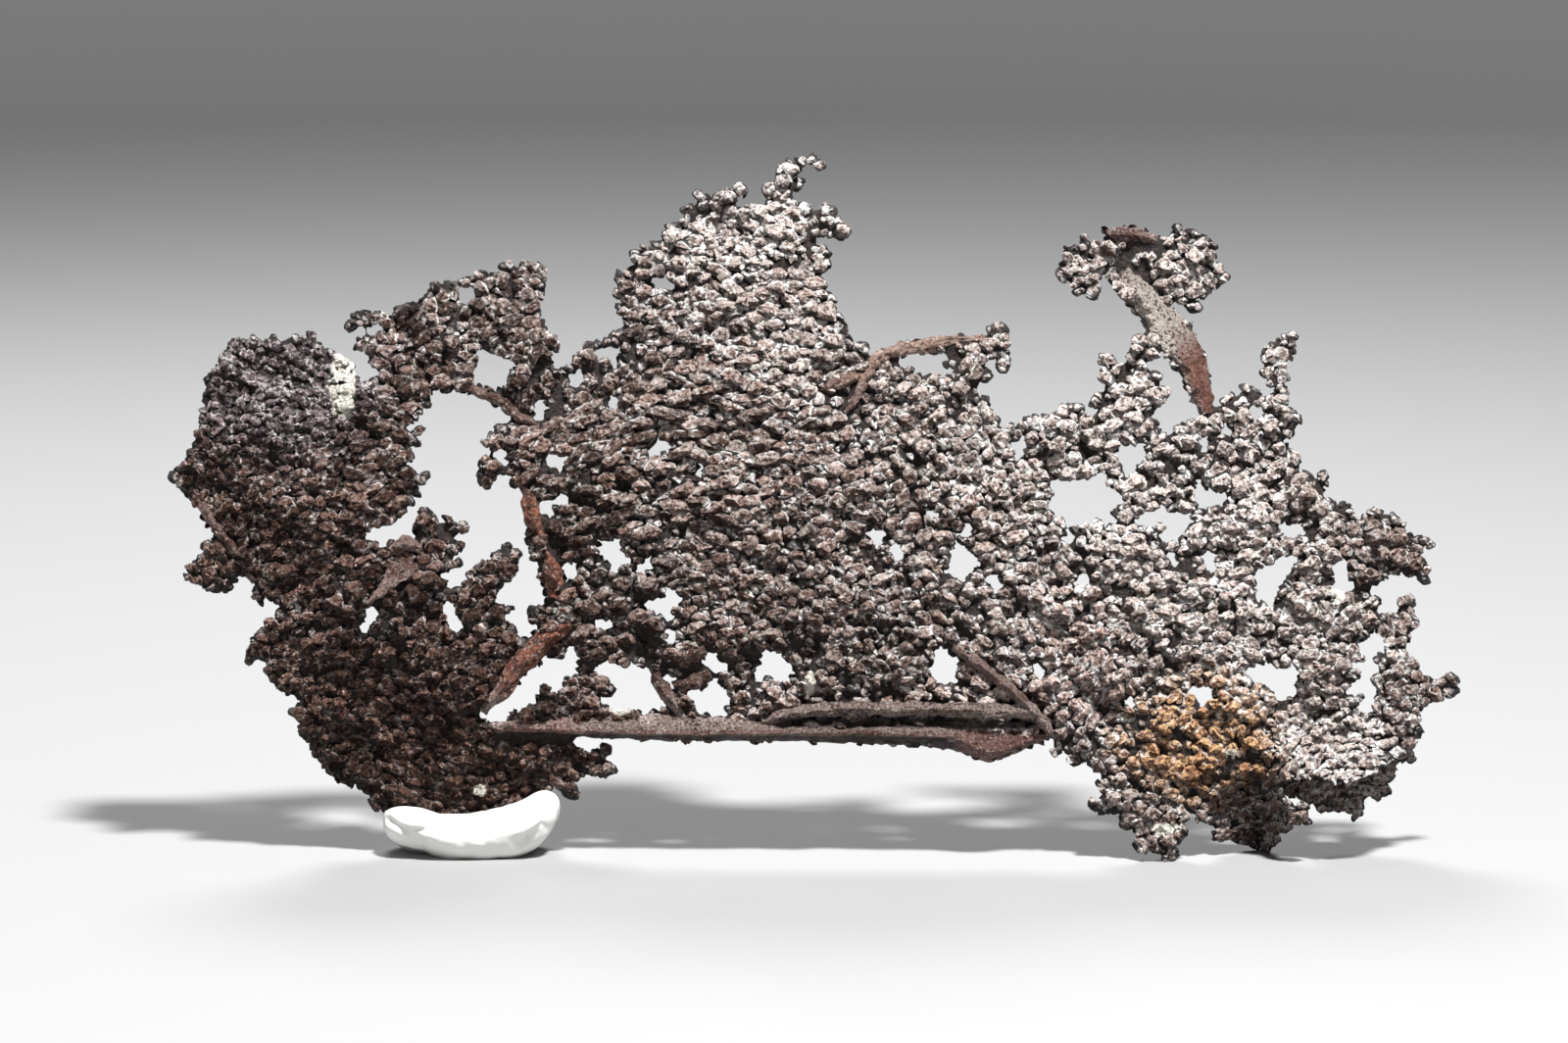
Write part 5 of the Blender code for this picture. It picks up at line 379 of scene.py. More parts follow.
MIDDLE_GAPS = [
    [(23.3, 40.5), (24, 41.8), (24.8, 43), (25.4, 44.4), (26.4, 43.8), (28.5, 41.6), (29, 40), (28.6, 36.6),
     (25.8, 36.1), (23.6, 37.6)],
    [(28, 49.5), (29.5, 49.2), (30.2, 48), (31.6, 47.4), (31.6, 46.2), (30.2, 46.8), (29, 46.6),
     (28.4, 47.6)],
    [(44, 39.8), (44.3, 41.3), (45.3, 41.4), (46.2, 39.8), (47, 38.5), (46.4, 37.4), (45.4, 37.6)],
    [(44.8, 62.4), (45.6, 63.8), (46.6, 64.6), (47.1, 63.6), (47, 62.6), (46, 62.2)],
    [(34.2, 57.6), (35.2, 58.6), (36.8, 58.7), (38.2, 56.2), (37.6, 55), (36.4, 54.8), (35.8, 56)],
    [(30.6, 69.5), (31.6, 69.2), (31.9, 68.2), (31.4, 67.4), (32.2, 66.8), (30, 65.8), (29.2, 65),
     (31.2, 63.8), (33.6, 61.6), (32.8, 60.4), (30.8, 57.9), (30.3, 56.3), (29.2, 58.2), (26.8, 58.8),
     (26, 58.3), (25.9, 55.8), (24.9, 57.8), (26.6, 59.6), (26.9, 61.2), (27, 63), (28.2, 64.8),
     (29.2, 67.6)],
    [(10.2, 66.8), (11.2, 67.8), (14.8, 67.8), (14.2, 66.8), (13.4, 65.4), (12, 64.9), (10.8, 66)],
    [(15, 64.8), (16.3, 65.2), (18.2, 63.6), (18.4, 62.4), (16.2, 61.5), (15.4, 62.8)],
    [(17.2, 57.2), (17.8, 58.6), (18.6, 59.5), (20, 57.2), (19.6, 56.2), (18.6, 56.2)],
    [(1.6, 95.3), (2.4, 94.3), (3.8, 94.9), (5.2, 95), (6.6, 94.6), (7.5, 95.4), (6.2, 96.2), (3, 95.6)],
    [(8.2, 92.6), (8.6, 94.6), (9.3, 95.8), (9.8, 94.6), (9.5, 92), (10.2, 90.4), (9.6, 88.8), (8.7, 89)],
    [(20.4, 83.3), (21.2, 83.4), (22.6, 81.6), (22.2, 80.4), (20, 80.4), (19.7, 81.4)],
    [(15.4, 80.6), (16.6, 78), (17.3, 79), (16.6, 80.2)],
    [(-5.9, 69.4), (-5, 70), (-3.6, 69.8), (-3.8, 69), (-5.2, 68.5)],
    [(22, 70.6), (22.8, 71.8), (24, 72), (25.2, 71.2), (25, 70.3), (22.8, 70.1)],
    [(40, 85.2), (42, 87.5), (43.5, 85.2), (42.6, 83.4), (41.2, 81.6), (40.2, 81.3)],
]
ARM_AND_CROWN_GAPS = [
    [(15.1, 102), (15.9, 102.9), (17, 103.3), (22, 103.6), (25.8, 104), (28.1, 103.8), (29.6, 103.3),
     (28.1, 103), (26.4, 102.6), (26.6, 101.8), (28.5, 100.6), (28.1, 99.8), (25.4, 98.9), (25.1, 99.9),
     (22.4, 99.7), (20.1, 100.1), (18.9, 101.4), (17.8, 101), (15.6, 101.4)],
    [(62, 124.6), (63.6, 126), (65, 126.4), (68, 125.3), (69.8, 125), (73.5, 126), (74, 125.4), (70, 124.2),
     (68, 124.8), (64, 124.4)],
    [(65.4, 119.8), (65.6, 121), (66.5, 122.6), (67.5, 123), (67.7, 121.7), (69.3, 121.4), (68.6, 120.8),
     (66.8, 120.4)],
    [(66.8, 117.5), (68, 118.2), (68.6, 119.6), (69.2, 118), (69, 116.4), (67.4, 116.2)],
    [(70, 104.6), (72.3, 101.5), (74.6, 98.2), (76.3, 94.7), (77.6, 93.5), (78.2, 91.2), (77.6, 90.6),
     (74, 89.2), (72.6, 88.6), (72.4, 86.2), (71.8, 87.4), (70, 88.7), (70.2, 89.7), (68.2, 91.2),
     (69, 92.4), (71, 93.5), (72.5, 95.5), (71.3, 96.8), (69.2, 97), (70.8, 98.2), (71, 99.2), (69.7, 100.2),
     (67.8, 100.2), (67, 101.5), (69.6, 103.2)],
    [(88.8, 94.2), (90, 93.3), (91.1, 93), (91.2, 91.4), (89.6, 90), (88.8, 91.4)],
]
UPPER_RIGHT_GAPS = [
    [(47.6, 77.9), (52.2, 78.1), (55.9, 78.5), (58.3, 79.4), (59.8, 78.8), (58.8, 77.4), (60.1, 76.5),
     (62.6, 75.2), (63, 73.5), (60.8, 72), (61.2, 70), (63.4, 69.4), (65.2, 70.2), (66.4, 71.2),
     (69.3, 71.9), (70.5, 73), (72.1, 71.5), (76.4, 71.3), (77, 69.8), (75.4, 68.1), (75.2, 66.8),
     (73.9, 65.6), (70.6, 65.4), (70.2, 66.8), (70.9, 68.1), (70, 69.2), (68.1, 68.4), (65, 69), (60.4, 69),
     (59.2, 68.4), (58.4, 69.9), (57.2, 70.5), (56.4, 68.6), (55.5, 69.3), (54, 68.4), (51.9, 68.6),
     (52.5, 66), (54.9, 63.2), (54.6, 61.9), (53.4, 62.6), (51.6, 64.9), (50, 66), (51, 67.8), (50.7, 69.7),
     (48.2, 71.2), (47.5, 73), (48.1, 74.9)],
    [(62, 81), (61.5, 82.5), (61.9, 85.6), (64, 85.2), (67.2, 85.7), (67.4, 82), (66.2, 81.7), (65.8, 80.4),
     (66.4, 79.4), (63.6, 79), (62.4, 79.8)],
    [(53.4, 86.2), (54.6, 86), (54.8, 84.4), (57.8, 84), (55.6, 82.6), (54.3, 81), (53.8, 81.8),
     (53.9, 83.6)],
    [(70.8, 79.2), (71, 81.3), (74, 81.6), (75.1, 83.6), (74.7, 80.8), (72.2, 79.8)],
    [(67.7, 76.6), (68.2, 78.5), (69.8, 78.3), (69, 76.5)],
    [(77.6, 78.4), (78.7, 77.9), (79.3, 76.5), (82.5, 75.4), (85.2, 75.2), (84.4, 74.3), (82.7, 73),
     (80.1, 72.6), (78.4, 71.8), (77.9, 74), (77.3, 75.8)],
    [(71.8, 61.6), (71.8, 63.2), (73.3, 63.5), (74.2, 61.2), (76.8, 60), (74.6, 58.7)],
    [(78.5, 62.6), (79.2, 63), (82.3, 63.3), (81.3, 61.2), (82.1, 60), (81, 58.3), (79.7, 59.8)],
    [(48.9, 56.3), (50, 57.9), (50.6, 57.3), (49.5, 56)],
    [(52.5, 57.1), (54, 59.2), (55.2, 59), (55.8, 57), (53.4, 56.4), (52.8, 55.2)],
    [(52.7, 49.9), (53.2, 51.4), (54.2, 51.5), (54.5, 50.2)],
    [(66.9, 66.5), (67.6, 67), (68.8, 65.4), (67.5, 64.9)],
    [(81.2, 52.7), (83.4, 52.1), (85.7, 52.7), (85.2, 51.5), (81.9, 51.2)],
]
FAR_RIGHT_GAPS = [
    [(94, 61.8), (94.8, 62.7), (97.6, 62.7), (98.5, 62), (97.6, 59.8), (97.2, 58.8), (96, 58.2),
     (95.6, 55.9), (94.8, 56.5), (94.2, 55.3), (93.6, 53.7), (93.9, 52.2), (93.1, 51.3), (91.5, 53.3),
     (90.1, 53.4), (89.9, 55.3), (89, 55.9), (89.9, 56.9), (89.1, 58.6), (90.5, 60.2), (93.3, 60.8)],
    [(94.3, 69), (97.6, 69.2), (99.5, 69.3), (100.2, 67), (98.6, 66.9), (96.8, 66.2), (95, 66.2)],
    [(100.7, 69.1), (103.1, 69), (102.7, 67.9), (101.8, 67.6)],
    [(85.1, 81.4), (89.4, 81.7), (90.6, 83.8), (91.8, 82.9), (89.4, 80.9), (86.2, 80.4)],
    [(82, 87.9), (84, 89.6), (84.8, 88), (84.8, 85.4), (84, 86.8)],
    [(77.8, 86.2), (80.8, 87.8), (80.1, 85), (79.3, 82.2), (78.8, 82.2), (78.6, 84.8)],
    [(115.3, 60.5), (116.3, 61.8), (117.5, 62.1), (117.1, 60.4)],
]
LOWER_RIGHT_GAPS = [
    [(88, 39.8), (91.8, 40.9), (94.4, 39.8), (95.7, 39.8), (97, 41), (98, 39.8), (98.4, 36.9), (97.6, 34.4),
     (95.8, 33.7), (96.2, 32.4), (95, 31.3), (93.9, 31.7), (94.1, 33.9), (92.3, 35.3), (89.9, 36.6),
     (88.2, 38)],
    [(113.6, 47), (114.8, 47), (116, 45), (115.9, 43.4), (113.9, 41), (114.8, 39.4), (113.2, 37.4),
     (114.7, 35.4), (113.8, 32.6), (113.6, 30.4), (110.8, 30.6), (110.9, 34.5), (108.4, 33.8), (106.3, 33.9),
     (109.2, 35.8), (111.4, 38.7), (109.2, 38.5), (109.6, 40.2), (111.7, 42.5), (110.8, 44.4)],
    [(62.6, 31.9), (62.9, 33.2), (64.2, 33.8), (65.6, 31.9), (64.6, 31.4)],
    [(67.7, 33.2), (69.6, 35.6), (70.3, 35.3), (69.2, 33.7)],
    [(74.2, 22.4), (75, 23.4), (76.4, 23.7), (77.1, 22.7), (76.8, 21.8)],
    [(76.1, 35), (76.6, 35.9), (80, 36), (80.8, 35.2), (81.1, 33.4), (79.2, 31.5), (77.4, 33.2)],
    [(80.3, 16), (80.4, 17), (82, 17.8), (81.6, 16.6)],
    [(70.4, 39.4), (71, 40.2), (74.6, 40.5), (73.2, 39.6)],
    [(85.6, 20.4), (85.7, 21.4), (88.6, 22), (91.3, 22.8), (89, 21.3), (88, 20.2)],
    [(90.5, 46.2), (92, 46.8), (94.4, 46.1), (93, 45.7)],
    [(95.5, 44.2), (96, 44.8), (97.9, 44.5), (96.6, 44)],
    [(105.3, 44.9), (106, 45.4), (107.6, 45.2), (106.6, 44.4)],
    [(50.4, 24.6), (51, 26), (52.4, 26.7), (53, 25.6), (52, 24)],
    [(56, 22.6), (56, 25.4), (56.8, 26.2), (58, 23.6), (56.9, 22)],
]
GAPS = (LEFT_GAPS + ARCH_GAPS + DOME_GAPS + WEB_GAPS + LOW_MIDDLE_GAPS
        + MIDDLE_GAPS + ARM_AND_CROWN_GAPS + UPPER_RIGHT_GAPS + FAR_RIGHT_GAPS + LOWER_RIGHT_GAPS)
# x, z, half width, half height
ROUND_GAPS = [
    (-22.2, 47.6, 0.6, 0.9), (-62.3, 116.8, 0.6, 2.4), (-44.2, 98.4, 0.45, 2.4), (-41.2, 93.6, 1.1, 1.7),
    (-45.4, 56.4, 0.8, 1.2), (-86.8, 40, 1, 0.75), (-85.5, 43.2, 0.75, 0.65), (-104.3, 38.5, 0.75, 0.75),
    (-97.7, 59.3, 0.8, 0.5), (-97.7, 56, 0.5, 0.8), (-95, 63.8, 0.5, 0.8), (-111, 83.4, 0.8, 0.4),
    (-84.7, 54.3, 0.7, 1.2), (-23.5, 80, 1, 1.3), (-31.8, 78.6, 1.2, 0.5), (-52, 70, 0.8, 1),
    (-30.3, 67, 1.3, 0.45), (-31.3, 70.4, 0.7, 0.4), (-38.5, 43.8, 1.3, 0.45), (-4.6, 45.8, 0.6, 0.9),
    (-4.4, 43.5, 0.5, 0.5), (-2.8, 31.9, 0.5, 0.8), (15.8, 34, 1.2, 0.7), (22.3, 43.7, 0.9, 0.45),
    (14.6, 48.4, 1, 0.6), (34.1, 48.8, 0.6, 1.2), (31.5, 52.2, 0.9, 0.8), (29.3, 54.8, 0.6, 0.7),
    (39, 44.9, 0.8, 0.9), (42.8, 51, 0.6, 1), (7.4, 65.4, 0.9, 0.4), (10.6, 62.6, 0.5, 0.6),
    (12.2, 60.6, 0.7, 0.7), (8.4, 86.6, 0.9, 0.8), (6.6, 85.2, 0.9, 0.5), (9.6, 82.2, 0.8, 0.5),
    (18.4, 84.3, 0.8, 0.7), (11.8, 69.5, 0.8, 0.5), (-1.3, 72.5, 0.8, 0.5), (24, 68.6, 0.8, 0.5),
    (27, 75.1, 0.8, 0.5), (25.5, 83.8, 0.8, 0.5), (35.4, 81.6, 0.8, 0.7), (37.2, 72.5, 1, 0.7),
    (26.8, 93.4, 0.8, 0.9), (28.8, 91, 0.9, 0.8), (27, 95.7, 1, 0.4), (46, 82.4, 1.2, 0.6),
    (67.8, 29.6, 1.2, 0.7), (65.3, 28.2, 0.6, 0.8), (61.7, 28.2, 0.8, 0.5), (65, 23, 0.9, 1.1),
    (73.4, 25.6, 0.8, 0.4), (65.5, 15, 0.6, 0.8), (62.3, 42.9, 0.9, 0.9), (68.6, 43, 0.6, 0.9),
    (73.6, 45, 0.7, 0.5), (59.3, 31, 0.6, 0.4), (91.2, 28.3, 0.5, 0.6), (89.8, 16.2, 0.8, 0.45),
    (103.7, 30.6, 0.6, 0.5), (108.6, 27.3, 0.8, 0.6), (40.8, 52.3, 0.7, 0.5), (59, 54.5, 0.5, 0.5),
    (62.5, 54, 0.4, 1.1), (94.2, 76.2, 0.6, 0.8), (112.2, 65.6, 0.5, 0.7),
]


def oval(x, z, half_width, half_height, n=10):
    turns = [2 * math.pi * k / n for k in range(n)]
    return [(x + half_width * math.cos(t), z + half_height * math.sin(t)) for t in turns]


sheet_gaps = GAPS + [oval(*gap) for gap in ROUND_GAPS]
print(len(sheet_gaps), "gaps")

# %% [markdown]
# ## From the plan into space
# The sheet isn't flat: it waves to and fro, and at its lower right it rolls forward as a lip.  Listed
# pegs say how far back it lies at places on the plan, and a smooth average joins them.

# %% A smooth value from pegs
SOFT_DEPTH, SOFT_FLAP, SOFT_GRAIN, SOFT_FILM = 30.0, 60.0, 12.0, 40.0   # more is smoother
PEG_FALL = 1.6                  # how fast a peg's say falls off
AT_ONCE = 20000                 # places worked out together, to save memory


def field(pegs, soft):
    """A smooth value through given pegs (x, z, value, ...)."""
    pegs = np.array(pegs, float)

    def value(x, z, column=2):
        x, z = np.atleast_1d(np.asarray(x, float)), np.atleast_1d(np.asarray(z, float))
        out = np.empty(len(x))
        for start in range(0, len(x), AT_ONCE):
            part = slice(start, start + AT_ONCE)
            d2 = (x[part, None] - pegs[:, 0]) ** 2 + (z[part, None] - pegs[:, 1]) ** 2
            w = 1.0 / (d2 + soft) ** PEG_FALL
            out[part] = (w * pegs[:, column]).sum(-1) / w.sum(-1)
        return out
    return value


def smooth_step(t):
    t = np.clip(t, 0.0, 1.0)
    return t * t * (3.0 - 2.0 * t)


def waves(shortest, longest, count=9):
    """Unevenness with no direction of its own: a sum of waves in all directions, mostly -1 to 1."""
    each = [(rng.uniform(0, 2 * math.pi), rng.uniform(0, 2 * math.pi),
             2 * math.pi / rng.uniform(shortest, longest)) for _ in range(count)]

    def height(x, z):
        total = np.zeros(np.shape(x))
        for turn, shift, rate in each:
            total = total + np.sin((x * math.cos(turn) + z * math.sin(turn)) * rate + shift)
        return total / math.sqrt(count)
    return height


ripple = waves(8.0, 17.0)       # of the sheet itself
relief = waves(5.0, 9.0)        # of how far the nubs stand out of it

# %% [markdown]
# ## Depth of the sheet
# The sheet's waves could be simulated as cloth, but metal that grew in a crack only has to follow a few
# depths that can be judged from the front.  The lip is a roll of its own on top of them.

# %% Depth of the sheet, and the bend into space
# How far its middle lies behind (+) or in front of (-) the plane of the plan: x, z, depth.
DEPTHS = [
    (-130, 76, 2), (-124, 98, 3.5), (-118, 60, 0.5), (-125, 60, -1.5), (-112, 104, 6), (-108, 88, -4),
    (-100, 72, -6), (-92, 96, -1), (-98, 104, 6.5), (-110, 48, -1), (-100, 34, 1), (-90, 52, -6),
    (-96, 20, 5), (-80, 20, 4), (-75, 8, 7), (-60, 14, 5.5), (-46, 20, 3), (-70, 38, -2), (-86, 110, 6.5),
    (-72, 119, 8), (-58, 120, 7), (-66, 100, 3), (-54, 100, 2), (-66, 80, 0), (-68, 60, -2.5), (-57, 66, -2),
    (-44, 50, -1), (-46, 76, -2.5), (-40, 100, 1), (-38, 116, 5), (-22, 133, 8), (-10, 137, 8.5),
    (0, 143, 10), (2, 128, 6.5), (-15, 115, 2), (-10, 95, -4), (-14, 72, -5.5), (-22, 52, -4), (-40, 34, 0),
    (-50, 28, 0.5), (-10, 32, 0), (8, 78, -4), (8, 55, -3.5), (12, 30, 0), (30, 34, -0.5), (40, 24, -3),
    (8, 104, 0.5), (24, 106, 4.5), (38, 105, 7.5), (22, 92, 0), (34, 92, 2.5), (34, 72, -1.5), (50, 84, 0.5),
    (48, 60, -3), (44, 42, -3.5), (56, 98, 3), (66, 105, 4), (60, 62, -3.5), (72, 100, 2), (79, 100, 2.5),
    (66, 120, 5), (53, 121, 8.5), (78, 122, 7.5), (84, 120, 9), (80, 88, -1), (95, 104, 4.5), (97, 88, 1.5),
    (92, 66, -3), (76, 50, -5.5), (62, 40, -5), (104, 78, 1), (112, 70, 0.5), (124, 62, 3.5),
    (108, 54, -1.5), (120, 52, 2.5), (106, 38, -4), (118, 36, -2), (130, 36, 4), (84, 34, -5),
    (56, 26, -2.5), (70, 24, -4.5), (86, 22, -5.5), (60, 13, -3), (72, 8, -4), (72, 1, -5.5), (86, 9, 3),
    (96, 8, 9), (91, 3, 10),
]
FLAP_DEPTHS = [
    (96, 27, -2), (120, 27, -1), (96, 14, 4.5), (108, 9, 8), (121, 20, 5), (116, 13, 6.5),
]
# The lip: below LIP_TOP the right lobe rolls forward, by LIP_REACH at its edge.
LIP_LEFT, LIP_RIGHT = 90.0, 121.0
LIP_FADE_LEFT, LIP_FADE_RIGHT = 7.0, 5.0
LIP_TOP, LIP_EDGE = 31.0, 16.5
LIP_REACH = 13.0
LIP_ROLL = 1.8                  # 1 is a slope, and more is a curl
SHEET_RIPPLE, FLAP_RIPPLE = 0.45, 0.3

sheet_field = field(DEPTHS, SOFT_DEPTH)
flap_field = field(FLAP_DEPTHS, SOFT_FLAP)


def sheet_depth(x, z):
    """How far back the sheet lies, with its rolled lip and its ripple."""
    across = smooth_step((x - LIP_LEFT) / LIP_FADE_LEFT) * smooth_step((LIP_RIGHT - x) / LIP_FADE_RIGHT)
    down = np.clip((LIP_TOP - z) / (LIP_TOP - LIP_EDGE), 0.0, 1.1)
    return sheet_field(x, z) - LIP_REACH * across * down ** LIP_ROLL + SHEET_RIPPLE * ripple(x, z)


def flap_depth(x, z):
    return flap_field(x, z) + FLAP_RIPPLE * ripple(x, z)


def bend(points, depth):
    """Plan points (x, stand-out, z) go to their places in space, in millimetres."""
    p = np.asarray(points, float)
    c, s = math.cos(VIEW_RISE), math.sin(VIEW_RISE)
    from_eye = np.array((PLAN_MID[0], -VIEW_DISTANCE * c, GROUND_SHIFT + VIEW_DISTANCE * s))
    up = p[:, 2] - PLAN_MID[1]
    flat = np.stack((p[:, 0], up * s, GROUND_SHIFT + up * c), 1)
    ray = flat - from_eye
    t = (depth(p[:, 0], p[:, 2]) + p[:, 1] - from_eye[1]) / ray[:, 1]
    return from_eye + ray * t[:, None] - np.array((BASE_MID[0], BASE_MID[1], 0.0))


edge_depth = sheet_depth(*np.array(OUTLINE).T)
print("the sheet's edge lies", edge_depth.min().round(1), "to", edge_depth.max().round(1), "mm back")

# %% [markdown]
# ## Where nubs can sit
# A nub sits inside the outline and outside every gap, and its size there is limited by the nearest
# edge.  Both are asked of the plan's loops for many points at once.

# %% Inside the plan, and the distance to its edge
FAR = 9.0                       # past this the distance to the edge no longer matters


def inside(x, z, loop):
    loop = np.array(loop, float)
    hit = np.zeros(len(x), bool)
    for (ax, az), (bx, bz) in zip(loop, np.roll(loop, -1, 0)):
        if az != bz:
            hit ^= ((az > z) != (bz > z)) & (x < (bx - ax) * (z - az) / (bz - az) + ax)
    return hit


def on_sheet(x, z, outline, gaps):
    ok = inside(x, z, outline)
    for gap in gaps:
        g = np.array(gap)
        near = ok & (x > g[:, 0].min()) & (x < g[:, 0].max()) & (z > g[:, 1].min()) & (z < g[:, 1].max())
        ok[near] &= ~inside(x[near], z[near], gap)
    return ok


def edge_distance(x, z, loops):
    """Distance from each point to the nearest edge of the plan, up to FAR."""
    best = np.full(len(x), FAR)
    for loop in loops:
        loop = np.array(loop, float)
        for (ax, az), (bx, bz) in zip(loop, np.roll(loop, -1, 0)):
            dx, dz = bx - ax, bz - az
            near = (abs(x - (ax + bx) / 2) < FAR + abs(dx) / 2) & (abs(z - (az + bz) / 2) < FAR + abs(dz) / 2)
            px, pz = x[near] - ax, z[near] - az
            t = np.clip((px * dx + pz * dz) / (dx * dx + dz * dz + 1e-9), 0, 1)
            best[near] = np.minimum(best[near], np.hypot(px - t * dx, pz - t * dz))
    return best


# %% [markdown]
# ## The grain of the growth
# Native copper grows in branches.  On the left the nubs run together in long, nearly level chains, in the
# dome they are round, and at the right they are like small heads of cauliflower.  Each peg below gives a
# place on the plan, the direction of growth there in degrees, how long a nub is for its width, and half
# its width.

# %% Direction, length and size of the nubs
GRAIN = [
    (-118, 98, 10, 1.1, 0.82), (-105, 100, -20, 1.1, 0.84), (-122, 84, 60, 1.1, 0.8),
    (-108, 84, 20, 1.2, 0.84), (-126, 74, 50, 1.2, 0.88), (-112, 72, 10, 1.3, 0.92), (-92, 88, 20, 1.5, 1.1),
    (-88, 76, 12, 2, 1.1), (-84, 64, 10, 1.8, 1.1), (-100, 60, 15, 1.5, 1.1), (-124, 60, 40, 1.1, 1.2),
    (-112, 50, 20, 1.4, 1.1), (-92, 52, 25, 1.5, 1.1), (-78, 56, 30, 1.3, 1.2), (-72, 66, 45, 1.2, 1.3),
    (-63, 52, 50, 1.3, 1.2), (-106, 40, 30, 1.2, 1), (-95, 30, 0, 1.3, 0.98), (-85, 18, 0, 1.3, 0.95),
    (-65, 18, 10, 1.2, 1), (-48, 22, 20, 1.2, 1.2), (-80, 42, 20, 1.3, 1), (-80, 112, 20, 1.1, 1.2),
    (-60, 118, 20, 1.1, 1.2), (-52, 105, 70, 1.2, 1.3), (-68, 100, 10, 1.2, 1.3), (-46, 92, 30, 1.9, 1.25),
    (-46, 78, 15, 2.3, 1.2), (-40, 66, 10, 2.5, 1.2), (-45, 54, 35, 1.7, 1.2), (-38, 46, -10, 1.8, 1.2),
    (-48, 40, 20, 1.3, 1.2), (-30, 86, 15, 2.3, 1.2), (-25, 98, 5, 1.7, 1.2), (-20, 130, 0, 1.1, 1.2),
    (-5, 125, -5, 1.15, 1.25), (-25, 112, 0, 1.3, 1.2), (0, 112, -10, 1.3, 1.25), (-10, 100, 0, 1.4, 1.2),
    (-15, 88, -5, 1.8, 1.15), (0, 90, 20, 1.6, 1.2), (-20, 72, 5, 1.7, 1.1), (-5, 72, 10, 1.4, 1.1),
    (8, 75, 15, 1.4, 1.15), (-15, 58, 0, 1.3, 1.1), (0, 58, 30, 1.2, 1.05), (-10, 45, 10, 1.2, 1.1),
    (10, 45, 0, 1.1, 1.1), (20, 90, 10, 1.3, 1.15), (32, 92, 70, 1.2, 1.2), (22, 78, 60, 1.3, 1.1),
    (35, 75, 80, 1.3, 1.15), (25, 62, 20, 1.7, 1.2), (35, 58, -20, 1.5, 1.2), (32, 45, -40, 1.4, 1.15),
    (45, 50, -50, 1.5, 1.1), (12, 60, 20, 1.3, 1.1), (50, 90, 10, 1.2, 1.3), (65, 85, 30, 1.3, 1.3),
    (52, 70, -40, 1.3, 1.2), (62, 60, 20, 1.3, 1.2), (75, 68, 10, 1.2, 1.25), (85, 60, 15, 1.3, 1.3),
    (95, 95, 75, 1.2, 1.2), (92, 80, 50, 1.3, 1.3), (110, 70, -10, 1.2, 1.4), (122, 62, -30, 1.2, 1.4),
    (105, 55, 20, 1.2, 1.25), (118, 45, 80, 1.2, 1.2), (75, 48, 10, 1.3, 1.15), (60, 45, 60, 1.4, 1.1),
    (95, 45, 5, 1.4, 1.15), (128, 38, 20, 1.2, 1.2), (60, 32, 60, 1.5, 1.1), (72, 25, 30, 1.2, 1.1),
    (85, 25, 10, 1.2, 1.1), (68, 12, 20, 1.2, 1.1), (85, 10, 10, 1.2, 1.1), (97, 22, 90, 2, 0.92),
    (105, 28, 10, 1.3, 0.98), (115, 28, 0, 1.4, 0.98), (108, 20, 0, 1.3, 0.98), (55, 124, 40, 1.2, 1.3),
    (72, 124, 0, 1.2, 1.3),
]
NUB_SIZE = 0.98                 # of the widths that the pegs give
grain = field(GRAIN, SOFT_GRAIN)


def grain_at(x, z):
    """Direction, length and half width of a nub at each place."""
    return np.radians(grain(x, z, 2)), grain(x, z, 3), grain(x, z, 4) * NUB_SIZE


# %% [markdown]
# ## Dropping the nubs
# Real nubs crowd each other but never coincide.  A grid would show, so places are dropped at random and
# kept where no neighbour is too close.  Closeness is measured along and across the grain, so long nubs
# lie end to end in chains.

# %% Scatter places for nubs
NUB_SPACING = 0.69              # of two nubs' half widths together: under 1, they grow into each other
CELL = 3.0                      # of the grid that finds a nub's neighbours
TURN_STRAY = 0.25               # how far a nub strays from the grain, in radians
LONG_FROM = 0.7                 # nubs of a smaller scale than this are round


def scatter(outline, gaps, depth, passes):
    """Big nubs are dropped first, and smaller ones fill in between them: passes of (scale, tries)."""
    o = np.array(outline)
    taken, found = {}, []
    for scale, tries in passes:
        x, z = rng.uniform(o.min(0), o.max(0), (tries, 2)).T
        ok = on_sheet(x, z, outline, gaps)
        x, z = x[ok], z[ok]
        turn, length, half = grain_at(x, z)
        turn = turn + rng.normal(0.0, TURN_STRAY, len(x))
        slope = depth(x, z + 0.5) - depth(x, z - 0.5)
        lean = 1.0 / np.sqrt(1.0 + slope ** 2)          # nubs look flatter where the sheet rolls away
        length = 1.0 + (length * rng.uniform(0.85, 1.25, len(x)) - 1.0) * (scale > LONG_FROM)
        half = half * scale * rng.uniform(0.88, 1.12, len(x))
        ca, sa = np.cos(turn), np.sin(turn)
        for i in range(len(x)):
            key = (int(x[i] // CELL), int(z[i] // CELL))
            cells = [(key[0] + a, key[1] + b) for a in (-1, 0, 1) for b in (-1, 0, 1)]
            near = [q for cell in cells for q in taken.get(cell, ())]
            free = True
            for qx, qz, q_length, q_half in near:
                dx, dz = x[i] - qx, (z[i] - qz) / lean[i]
                along = (dx * ca[i] + dz * sa[i]) / (0.5 * (length[i] + q_length))
                across = dz * ca[i] - dx * sa[i]
                if along * along + across * across < (NUB_SPACING * (half[i] + q_half)) ** 2:
                    free = False
                    break
            if free:
                taken.setdefault(key, []).append((x[i], z[i], length[i], half[i]))
                found.append((x[i], z[i], turn[i], length[i], half[i], lean[i], scale))
    return np.array(found).T


